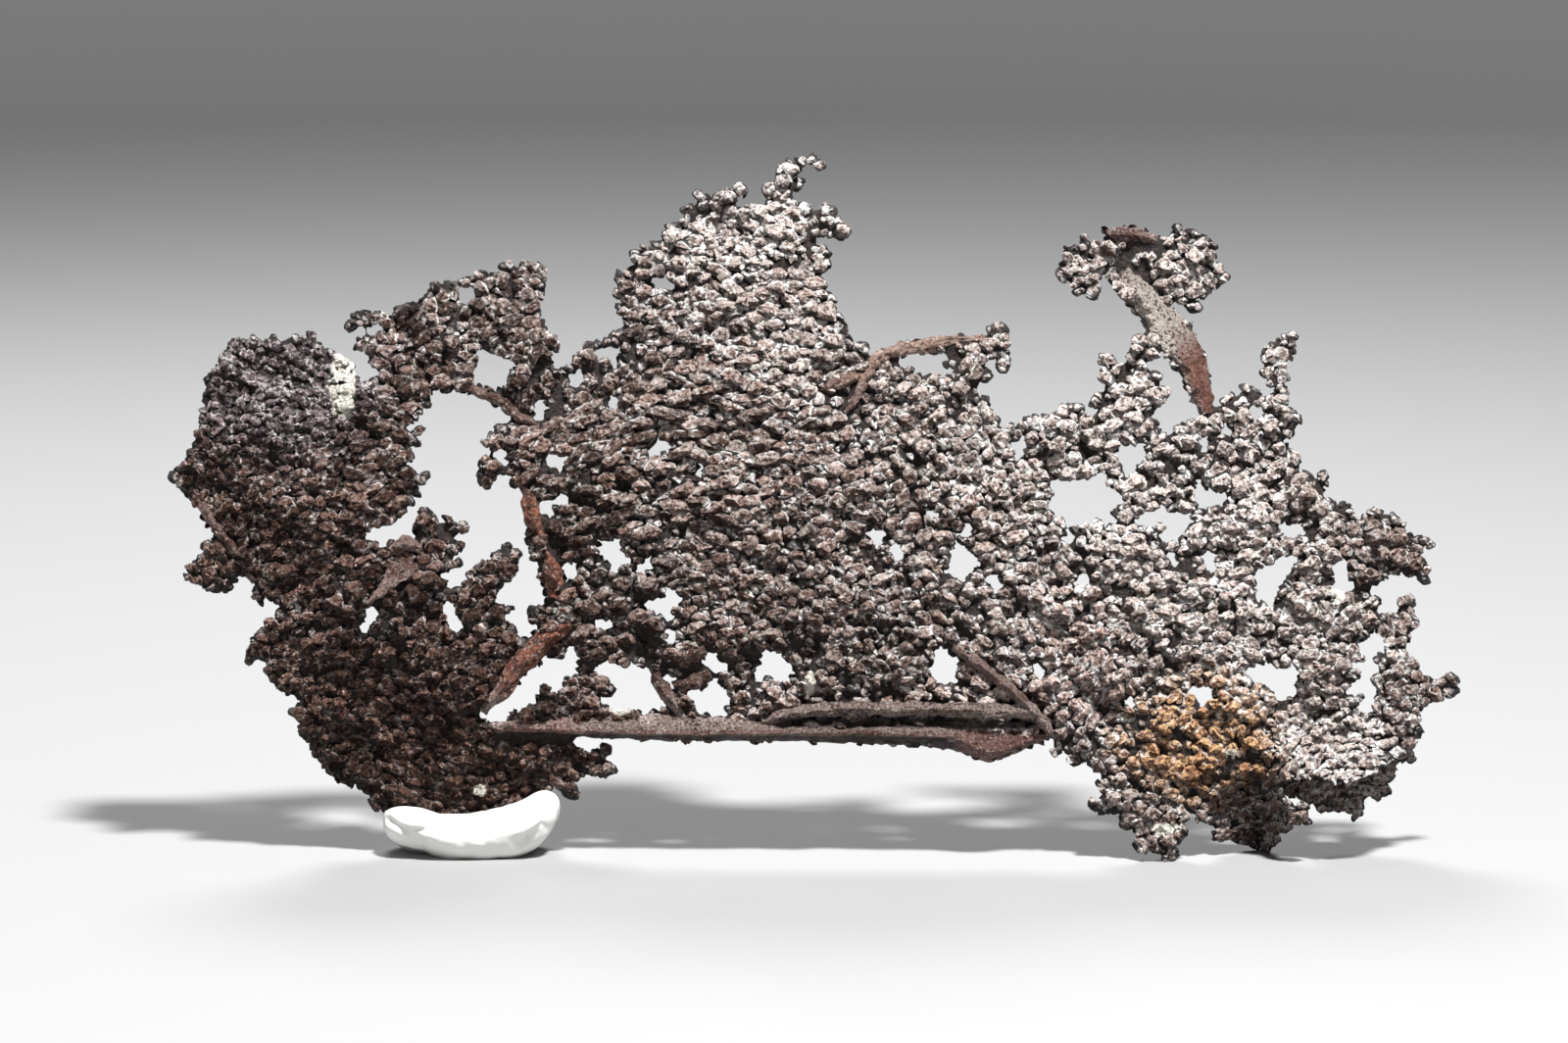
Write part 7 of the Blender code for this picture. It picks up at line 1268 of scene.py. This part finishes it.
def loft(rings, rounds):
    """A closed loft; the rings are smoothed along the path by Catmull-Rom."""
    rings = np.array(rings)
    padded = np.concatenate((rings[:1] * 2 - rings[1:2], rings, rings[-1:] * 2 - rings[-2:-1]))
    fine = []
    for i in range(len(rings) - 1):
        a, b, c, d = padded[i:i + 4]
        for t in np.arange(rounds) / rounds:
            fine.append(0.5 * (2 * b + (c - a) * t + (2 * a - 5 * b + 4 * c - d) * t ** 2
                               + (3 * b - a - 3 * c + d) * t ** 3))
    fine.append(rings[-1])
    fine = np.array(fine)
    n, m = fine.shape[0], fine.shape[1]
    grid = np.arange(n * m).reshape(n, m)
    a, b = grid[:-1], grid[1:]
    a2, b2 = np.roll(a, -1, 1), np.roll(b, -1, 1)
    sides = np.concatenate([np.stack(three, -1).reshape(-1, 3) for three in ((a, a2, b2), (a, b2, b))])
    fan = np.array([(0, k + 1, k) for k in range(1, m - 1)])
    caps = np.concatenate((grid[0][fan], grid[-1][fan[:, ::-1]]))
    return fine.reshape(-1, 3), np.concatenate((sides, caps))


def rib_rings(path, n=16):
    """Rings round a path, part lozenge and part ellipse, so a rib has a crest along it."""
    rings = []
    for i, (x, z, out, half, deep) in enumerate(path):
        a, b = path[max(i - 1, 0)], path[min(i + 1, len(path) - 1)]
        size = math.hypot(b[0] - a[0], b[1] - a[1])
        nx, nz = -(b[1] - a[1]) / size * RIB_WIDTH, (b[0] - a[0]) / size * RIB_WIDTH
        section = []
        for t in (2 * math.pi * k / n for k in range(n)):
            far = 0.35 + 0.65 / (abs(math.cos(t)) + abs(math.sin(t)))
            across, up = half * far * math.cos(t), deep * far * math.sin(t)
            section.append((x + nx * across, out + up, z + nz * across))
        rings.append(section)
    return rings


def wedge_rings(path):
    """Rings of the long rib: flat behind, with a ridge in front and a hollow below it."""
    return [[(x, LONG_RIB_BACK, top), (x, -1.2, top), (x, -0.6 * out - 0.8, 0.45 * top + 0.55 * ridge),
             (x, -out, ridge), (x, -out * 0.75, 0.6 * ridge + 0.4 * low), (x, LONG_RIB_BACK, low)]
            for x, top, ridge, low, out in path]


lofts = [loft(rib_rings(path), RIB_ROUNDS) for path in RIBS.values()]
lofts.append(loft(wedge_rings(LONG_RIB), LONG_RIB_ROUNDS))
ribs = mesh_object("copper_ribs", *join([(bend(points, sheet_depth), faces) for points, faces in lofts]))
mend(ribs)
modify(ribs, "SUBSURF", levels=1, render_levels=1, subdivision_type="SIMPLE")
modify(ribs, "TRIANGULATE")
roughen(ribs, RIB_RELIEF)
bpy.ops.object.shade_smooth_by_angle(angle=RIB_SOFT_ANGLE)
print("ribs:", len(lofts), "in", len(ribs.data.polygons), "triangles")

# %% [markdown]
# ## Shader maths as Python
# A small class wraps a node's output, so a mask can be written as an expression.  `node` makes any
# other node from its type, its settings and its inputs.

# %% Shader helper
class Socket:
    """One output of a node, with the operators that masks are written in."""

    def __init__(self, tree, output):
        self.tree = tree
        self.output = output

    def math(self, operation, *values):
        return node(self.tree, "ShaderNodeMath", {"operation": operation}, dict(enumerate(values)))

    def __add__(self, other):
        return self.math("ADD", self, other)

    def __sub__(self, other):
        return self.math("SUBTRACT", self, other)

    def __rsub__(self, other):
        return self.math("SUBTRACT", other, self)

    def __mul__(self, other):
        return self.math("MULTIPLY", self, other)

    def __truediv__(self, other):
        return self.math("DIVIDE", self, other)

    __radd__ = __add__
    __rmul__ = __mul__

    def clamp(self):
        made = self.math("ADD", self, 0.0)
        made.output.node.use_clamp = True
        return made

    def ramp(self, low, high):
        """A smooth step from 0 at low to 1 at high."""
        return node(self.tree, "ShaderNodeMapRange", {"interpolation_type": "SMOOTHSTEP"},
                    {"Value": self, "From Min": low, "From Max": high})


def node(tree, kind, settings=None, inputs=None, output=0):
    made = tree.nodes.new(kind)
    settings = dict(settings or {})
    for place, colour in settings.pop("stops", ()):
        ramp = made.color_ramp.elements
        stop = ramp[0] if place == 0.0 else ramp[-1] if place == 1.0 else ramp.new(place)
        stop.color = colour
    for key, value in settings.items():
        setattr(made, key, value)
    for key, value in (inputs or {}).items():
        if isinstance(value, Socket):
            tree.links.new(value.output, made.inputs[key])
        else:
            made.inputs[key].default_value = value
    return Socket(tree, made.outputs[output])


def blend(tree, share, first, second, mode="MIX"):
    """Two colours mixed by a mask or a number."""
    made = tree.nodes.new("ShaderNodeMix")
    made.data_type, made.blend_type = "RGBA", mode
    sockets = {s.identifier: s for s in made.inputs}
    for key, value in (("Factor_Float", share), ("A_Color", first), ("B_Color", second)):
        if isinstance(value, Socket):
            tree.links.new(value.output, sockets[key])
        else:
            sockets[key].default_value = value
    return Socket(tree, next(s for s in made.outputs if s.identifier == "Result_Color"))


def new_material(name):
    material = bpy.data.materials.new(name)
    material.use_nodes = True
    tree = material.node_tree
    shader = tree.nodes["Principled BSDF"]
    return material, tree, shader


def drive(shader, name, value):
    """Sets a socket of the shader, or links it."""
    if isinstance(value, Socket):
        value.tree.links.new(value.output, shader.inputs[name])
    else:
        shader.inputs[name].default_value = value


def drive_bump(shader, height, distance):
    """Small relief that is too fine for the mesh; the distance is in metres."""
    settings = {"Height": height, "Strength": 1.0, "Distance": distance}
    drive(shader, "Normal", node(height.tree, "ShaderNodeBump", None, settings))


def hue(r, g, b):
    return (r, g, b, 1.0)


# %% [markdown]
# ## Patinated native copper
# The bare metal is a dark, reddish brown.  A thin, pale mineral film dulls most nubs to a pinkish grey and
# gathers as fine whitish lines where they meet.  Deep between them the colour is nearly black: dark tarnish
# with painted shade over it, and painted shade also darkens the nubs' undersides.  All of this could be
# painted, but a painting would have to be made by hand for every nub, so it is worked out
# from what each point knows about itself and from patterns of noise.

# %% Patterns on the copper
# x, z and reach each way on the plan: the crust at the head of the left lobe first, then the flecks.
WHITE_SPOTS = ((-96.4, 98.0, 2.8, 6.6), (-69.0, 13.6, 1.3, 1.2), (106.5, 54.7, 1.5, 1.4),
               (71.5, 7.0, 3.2, 1.0), (84.8, 22.5, 1.2, 1.2), (122.5, 27.0, 1.1, 1.1),
               (-40.0, 31.3, 2.2, 1.3), (-34.0, 32.7, 1.3, 0.9), (-1.2, 36.4, 1.2, 3.0))
DARK_SPOTS = ((-83.0, 113.0, 2.4, 2.2), (-75.0, 118.0, 2.2, 1.8))
CRUST_COLOUR = hue(0.86, 0.83, 0.74)
CRYSTAL_AND_GROOVE_SHADE_COLOUR = hue(0.030, 0.022, 0.022)
SOOT = hue(0.030, 0.016, 0.012)


class Patterns:
    """What the copper's finishes read, measured in millimetres."""

    def __init__(self, tree):
        self.tree = tree
        place = node(tree, "ShaderNodeTexCoord", output=3)
        self.place = node(tree, "ShaderNodeVectorMath", {"operation": "SCALE"}, {0: place, "Scale": 1 / MM})
        apart = node(tree, "ShaderNodeSeparateXYZ", None, {0: self.place}).output.node
        self.x, self.y, self.z = (Socket(tree, output) for output in apart.outputs)
        facing = node(tree, "ShaderNodeNewGeometry", output=1)
        facing = node(tree, "ShaderNodeSeparateXYZ", None, {0: facing}).output.node
        self.upward = Socket(tree, facing.outputs[2])

    def value(self, name):
        return node(self.tree, "ShaderNodeAttribute", {"attribute_name": name}, output=2)

    def noise(self, scale, detail=3.0, roughness=0.55):
        return node(self.tree, "ShaderNodeTexNoise", None,
                    {"Vector": self.place, "Scale": scale, "Detail": detail, "Roughness": roughness})

    def cells(self, scale):
        return node(self.tree, "ShaderNodeTexVoronoi", None, {"Vector": self.place, "Scale": scale})

    def patch(self, x, z, reach_x, reach_z, soft=0.4, wander=0.12):
        """A soft patch on the plan, with a wandering edge."""
        dx, dz = (self.x - (x - BASE_MID[0])) / reach_x, (self.z - z) / reach_z
        far = dx.math("SQRT", dx * dx + dz * dz) + (self.noise(wander, 4.0) - 0.5) * 0.9
        return far.ramp(1.0 + soft, 1.0 - soft)

    def spots(self, body):
        """Painted shade in the groove along the long rib, the white crust and flecks and the dark crystals,
        laid over a colour.
        """
        # Painted shade: the groove along the long rib is darkened to nearly black.
        groove_shade_band = self.z.ramp(27.4, 27.9) * self.z.ramp(29.9, 29.3)
        white, dark = 0.0, groove_shade_band * self.x.ramp(-10, -6) * self.x.ramp(47, 43)
        for x, z, reach_x, reach_z in WHITE_SPOTS:
            white = self.patch(x, z, reach_x, reach_z, 0.15, 0.8) + white
        for x, z, reach_x, reach_z in DARK_SPOTS:
            dark = self.patch(x, z, reach_x, reach_z, 0.3, 0.5) + dark
        body = blend(self.tree, dark.clamp() * 0.88, body, CRYSTAL_AND_GROOVE_SHADE_COLOUR)
        return blend(self.tree, white.clamp() * 0.9, body, CRUST_COLOUR)


# %% [markdown]
# ## The nubs' finish
# The colour is laid on in the order in which it formed: bare metal and patina, film, stain, grime in the
# crevices, white specks and lines where nubs meet; last comes painted shade between and under the nubs.

# %% Colours and places of the nubs' finish
PATINA = ((0.0, hue(0.40, 0.22, 0.17)), (0.35, hue(0.56, 0.41, 0.35)), (0.62, hue(0.60, 0.53, 0.49)),
          (0.84, hue(0.44, 0.41, 0.39)), (1.0, hue(0.33, 0.16, 0.11)))
BARE = hue(0.085, 0.045, 0.034), hue(0.36, 0.215, 0.165)
FILM_COLOURS = hue(0.80, 0.71, 0.66), hue(0.48, 0.385, 0.35)
RUST = hue(0.86, 0.52, 0.24), hue(0.42, 0.15, 0.05)
# Patches on the plan: x, z and reach each way.
STAIN, STAIN_HEART = (78, 26, 15, 13), (78, 26, 14, 12)
PINK_PATCH = (53, 42, 9, 17)
BLUISH_LOBE = (-108, 98, 19, 15)
LOWER_LEFT_DARKENING = (-75, 24, 36, 22)

# %% Finish of the nubs
copper, tree, shader = new_material("native_copper")
on = Patterns(tree)
room, tall, shade, tint, film = (on.value(name) for name in ("room", "tall", "shade", "tint", "film"))
blotch, mottle = on.noise(0.16, 3.0), on.noise(0.7, 3.0)
fine, grit = on.noise(1.1, 4.0, 0.7), on.noise(4.0, 3.0, 0.7)
low = tall.ramp(1.2, 0.5)
meet = room.ramp(0.10, -0.04)
upward = on.upward.ramp(-0.6, 0.5)
left = on.x.ramp(-15, -85)

# Bare metal, patina and film
dull = film + (blotch - 0.5) * 0.9 + (shade - 0.5) * 0.4 + (mottle - 0.5) * 1.1
# Film is thicker on upward faces, where it settles, and this also paints light on the nubs' tops.
dull = (dull + upward * 0.4 - 0.25 - left * 0.35).clamp()
where = (tint * 0.35 + mottle * 1.3 - 0.32).clamp()
patina = node(tree, "ShaderNodeValToRGB", {"stops": PATINA}, {"Fac": where})
# Darker and greyer towards the left: partly the copper's own tone, partly painted shade.
patina = blend(tree, left * 0.6, patina, hue(0.48, 0.44, 0.46), "MULTIPLY")
filmy = (film + (blotch - 0.5) * 0.8).ramp(0.40, 0.75)
filmed = blend(tree, mottle.ramp(0.42, 0.66), *FILM_COLOURS)
patina = blend(tree, filmy * 0.55, patina, filmed)
patina = blend(tree, on.patch(*PINK_PATCH) * 0.55, patina, hue(0.55, 0.35, 0.30))
body = blend(tree, dull, blend(tree, shade, *BARE), patina)

# Stain, bluish lobe and grime
rusty = blend(tree, mottle.ramp(0.42, 0.64), *RUST)
body = blend(tree, on.patch(*STAIN) * 0.9, body, rusty)
body = blend(tree, on.patch(*BLUISH_LOBE) * 0.45, body, hue(0.27, 0.26, 0.34))
body = blend(tree, fine.ramp(0.49, 0.41) * 0.9, body, SOOT)

# White specks, and lines where nubs meet
speckled = (film * 0.9 + 0.25 - on.patch(*STAIN_HEART) * 0.5).clamp()
body = blend(tree, fine.ramp(0.56, 0.62) * speckled, body, hue(0.90, 0.87, 0.84))
frayed = on.noise(0.35, 2.0).ramp(0.36, 0.46) * fine.ramp(0.38, 0.52)
lines = (room.ramp(0.40, 0.12) * tall.ramp(0.5, 1.0) * frayed * (speckled + 0.15)).clamp()
body = blend(tree, lines, body, hue(0.90, 0.89, 0.87))

# Painted shade between and under the nubs, over some dark tarnish in the crevices, and darker at the left
crevice_tarnish_and_shade = (meet * (0.85 - filmy * 0.6) + low * 0.7).clamp()
body = blend(tree, crevice_tarnish_and_shade, body, hue(0.016, 0.010, 0.009))
# Painted shade: the nubs are darker where they face downwards.
body = blend(tree, (1.0 - upward) * 0.8, body, hue(0.14, 0.09, 0.08), "MULTIPLY")
# Darker towards the left, most on the darker nubs: partly their own tone, partly painted shade.
body = blend(tree, left * (0.75 - shade * 0.7), body, hue(0.34, 0.26, 0.23), "MULTIPLY")
# Darker at the lower left.
body = blend(tree, on.patch(*LOWER_LEFT_DARKENING, 0.5) * 0.36, body, hue(0.38, 0.25, 0.20), "MULTIPLY")

drive(shader, "Base Color", on.spots(body))
drive(shader, "Metallic", (0.75 - dull * 0.65 - meet * 0.4 - lines).clamp())
drive(shader, "Roughness", (0.26 + meet * 0.3 + dull * 0.20 + (grit - 0.5) * 0.5).clamp())
drive_bump(shader, fine * 1.0 - on.cells(0.8) * 0.45 + grit * 0.15, 0.0018)
for band in bands:
    band.data.materials.append(copper)
print("nub finish:", len(tree.nodes), "nodes")

# %% [markdown]
# ## The web's finish
# The metal between the nubs is thick with grime, and its colour is darkened further by painted shade, so it
# is nearly black and rough.

# %% Finish of the web
shadowed, tree, shader = new_material("shadowed_copper")
rough = Patterns(tree).noise(1.1, 4.0, 0.7)
# Painted shade and grime: the web's colour is nearly black.
body = blend(tree, rough.ramp(0.4, 0.6), hue(0.006, 0.004, 0.004), hue(0.040, 0.025, 0.020))
drive(shader, "Base Color", body)
drive_bump(shader, rough, 0.002)
drive(shader, "Roughness", 0.7)
drive(shader, "Metallic", 0.2)
web_piece.data.materials.append(shadowed)

# %% [markdown]
# ## The ribs' finish
# The smooth metal is bare where it was rubbed, reddest on the two spindles at the left, and frosted with
# pale film on the long rib and the stalk.

# %% Finish of the ribs
RED_SPINDLES = (-56, 55, 12, 30)
ARROWHEAD = (39, 24, 11, 5)
STALK = (69, 112, 9, 12)
STRAP = (20, 103, 20, 7)
FLANK_LEAN = 0.45               # the stalk's dark flank leans: its x changes by this for each mm up
FLANK_AT = 79.2 + 92.0 * FLANK_LEAN

worn, tree, shader = new_material("worn_copper")
on = Patterns(tree)
blotch, mottle = on.noise(0.14, 4.0), on.noise(0.8, 3.0)
fine, grit = on.noise(1.7, 4.0, 0.65), on.noise(4.0, 3.0, 0.7)
body = blend(tree, blotch.ramp(0.38, 0.62), hue(0.11, 0.050, 0.037), hue(0.27, 0.175, 0.15))
body = blend(tree, mottle.ramp(0.45, 0.65) * 0.55, body, hue(0.36, 0.29, 0.26))
ruddy = blend(tree, mottle.ramp(0.40, 0.60), hue(0.10, 0.042, 0.030), hue(0.40, 0.13, 0.065))
body = blend(tree, on.patch(*RED_SPINDLES) * 0.8, body, ruddy)
body = blend(tree, on.patch(*ARROWHEAD) * 0.7, body, hue(0.18, 0.080, 0.062))
body = blend(tree, on.patch(*STALK) * fine.ramp(0.38, 0.50), body, hue(0.58, 0.52, 0.46))
rubbed = blend(tree, mottle, hue(0.24, 0.12, 0.08), hue(0.62, 0.46, 0.38))
body = blend(tree, on.patch(*STRAP) * 0.8, body, rubbed)
frosted = on.z.ramp(26.9, 27.3) * on.z.ramp(34.0, 33.0) * fine.ramp(0.42, 0.54) * 0.6
body = blend(tree, frosted, body, hue(0.46, 0.39, 0.36))
body = blend(tree, fine.ramp(0.57, 0.66) * 0.6, body, hue(0.80, 0.75, 0.71))
flank = (on.x + on.z * FLANK_LEAN - FLANK_AT).ramp(-0.3, 0.3) * on.z.ramp(89, 91)
dark_flank = blend(tree, mottle, hue(0.12, 0.050, 0.036), hue(0.34, 0.15, 0.11))
body = blend(tree, flank * on.z.ramp(112, 102) * 0.8, body, dark_flank)
body = blend(tree, fine.ramp(0.46, 0.36) * 0.9, body, SOOT)
# Painted shade: the long rib's lower face, which faces down, is nearly black.
rib_underside_shade = on.z.ramp(26.2, 25.6) * on.x.ramp(31, 27)
body = blend(tree, rib_underside_shade * 0.9, body, hue(0.020, 0.013, 0.012))
drive(shader, "Base Color", on.spots(body))
drive(shader, "Metallic", 0.4)
drive(shader, "Roughness", (0.34 + (grit - 0.5) * 0.5).clamp())
drive_bump(shader, mottle * 0.6 + fine * 1.0 + grit * 0.2, 0.0022)
ribs.data.materials.append(worn)

for piece in bands + [web_piece, ribs]:
    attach(piece, "root")
    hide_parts("copper_sheet")
print("copper pieces:", [piece.name for piece in bands + [web_piece, ribs]])

# %% [markdown]
# ## The putty
# The copper's edge is pressed into a lump of soft white putty, rolled between fingers, with a fold at its
# left end.  It could be sculpted from a ball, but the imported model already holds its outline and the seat
# of the copper.  A copy of that is given even faces, smoothed, made lumpy, and creased along short paths.

# %% Putty
PUTTY_GRAIN = 0.45              # size of its faces
PUTTY_RELIEF = ((10.0, 1.8), (4.5, 0.6))
PUTTY_CREASES = [[(-87.5, 8.2), (-84.0, 6.3), (-80.2, 6.6), (-78.6, 8.6)], [(-84.0, 6.3), (-81.5, 4.6)],
                 [(-58.8, 5.0), (-56.0, 7.6), (-55.2, 10.5)]]
CREASE_DEPTH = 0.9
CREASE_REACH = 0.8

cad_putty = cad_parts["mounting_putty"]
putty = cad_putty.copy()
putty.data = cad_putty.data.copy()
putty.name = putty.data.name = "putty_lump"
putty.parent = None
for key in list(putty.keys()):
    del putty[key]
bpy.context.scene.collection.objects.link(putty)
mend(putty, 0.00001, outwards=False)
modify(putty, "REMESH", mode="VOXEL", voxel_size=PUTTY_GRAIN * MM, adaptivity=0.0)
modify(putty, "SMOOTH", factor=0.5, iterations=25)
roughen(putty, PUTTY_RELIEF)

place = np.array([v.co for v in putty.data.vertices]) / MM
normal = np.array([v.normal for v in putty.data.vertices])
for path in PUTTY_CREASES:
    far = np.min([from_line(place[:, 0], place[:, 2], a, b)[0] for a, b in zip(path, path[1:])], axis=0)
    pressed = CREASE_DEPTH * np.exp(-(far / CREASE_REACH) ** 2) * (place[:, 1] < 0)
    place -= normal * pressed[:, None]
putty.data.vertices.foreach_set("co", (place * MM).ravel())
pick(putty)
bpy.ops.object.shade_smooth()

white, tree, shader = new_material("white_putty")
drive(shader, "Base Color", hue(0.80, 0.80, 0.77))
drive(shader, "Roughness", 0.55)
putty.data.materials.clear()
putty.data.materials.append(white)
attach(putty, "root")
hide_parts("mounting_putty")
print("putty:", len(putty.data.polygons), "faces")

# %% [markdown]
# ## Studio
# The piece stands on a pale round floor that curves up into a wall on all sides, so every view has the
# same quiet background.  It could be a plain sweep, but that shows its back from behind.  A profile is
# drawn once and spun about the middle.

# %% Floor
FLOOR_FLAT, FLOOR_CURVE, WALL_HEIGHT = 1.8, 0.6, 2.6        # in metres
FLOOR_STEPS = 10                # in the curve
FLOOR_AROUND = 64

turns = [math.pi / 2 * k / FLOOR_STEPS for k in range(1, FLOOR_STEPS + 1)]
profile = [(0.0, 0.0), (FLOOR_FLAT, 0.0)]
profile += [(FLOOR_FLAT + FLOOR_CURVE * math.sin(t), FLOOR_CURVE - FLOOR_CURVE * math.cos(t)) for t in turns]
profile.append((FLOOR_FLAT + FLOOR_CURVE, WALL_HEIGHT))
mesh = bpy.data.meshes.new("studio_floor")
mesh.from_pydata([(out, 0.0, up) for out, up in profile], [(i, i + 1) for i in range(len(profile) - 1)], [])
floor = new_object("studio_floor", mesh)
pick(floor)
bpy.ops.object.mode_set(mode="EDIT")
bpy.ops.mesh.select_all(action="SELECT")
bpy.ops.mesh.spin(steps=FLOOR_AROUND, angle=2 * math.pi, center=(0, 0, 0), axis=(0, 0, 1))
bpy.ops.object.mode_set(mode="OBJECT")
mend(floor, 0.0005)
bpy.ops.object.shade_smooth()
pale, tree, shader = new_material("pale_paper")
drive(shader, "Base Color", hue(0.27, 0.27, 0.27))
drive(shader, "Roughness", 0.9)
floor.data.materials.append(pale)
print("floor:", len(floor.data.polygons), "faces")

# %% [markdown]
# ## Lights
# One small, strong lamp high at the right gives the hard shadows that show the relief.  A wide, weak one
# at the left opens them a little, and one behind picks out the edges.

# %% Lights
LIT_AT = Vector((0.0, 0.0, 0.07))
LAMPS = {                       # place, size and power
    "key": ((0.36, -0.78, 1.50), 0.20, 86),
    "fill": ((-1.0, -1.3, 0.6), 1.0, 2.5),
    "back": ((-0.2, 0.7, 0.9), 0.5, 12),
}
for name, (place, size, power) in LAMPS.items():
    data = bpy.data.lights.new(name, "AREA")
    data.shape = "DISK"
    data.size = size
    data.energy = power
    lamp = new_object(name, data)
    lamp.location = place
    lamp.rotation_euler = (LIT_AT - Vector(place)).to_track_quat("-Z", "Y").to_euler()
world = bpy.data.worlds.new("soft_world")
bpy.context.scene.world = world
world.use_nodes = True
background = world.node_tree.nodes["Background"].inputs
background["Color"].default_value = (0.9, 0.94, 1.0, 1.0)
background["Strength"].default_value = 0.12
bpy.context.scene.view_settings.view_transform = "Standard"
print("lamps:", list(LAMPS))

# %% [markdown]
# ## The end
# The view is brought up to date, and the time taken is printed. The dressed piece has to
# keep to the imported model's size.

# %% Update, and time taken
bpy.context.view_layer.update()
print("all done in", round(time.time() - started, 1), "s")
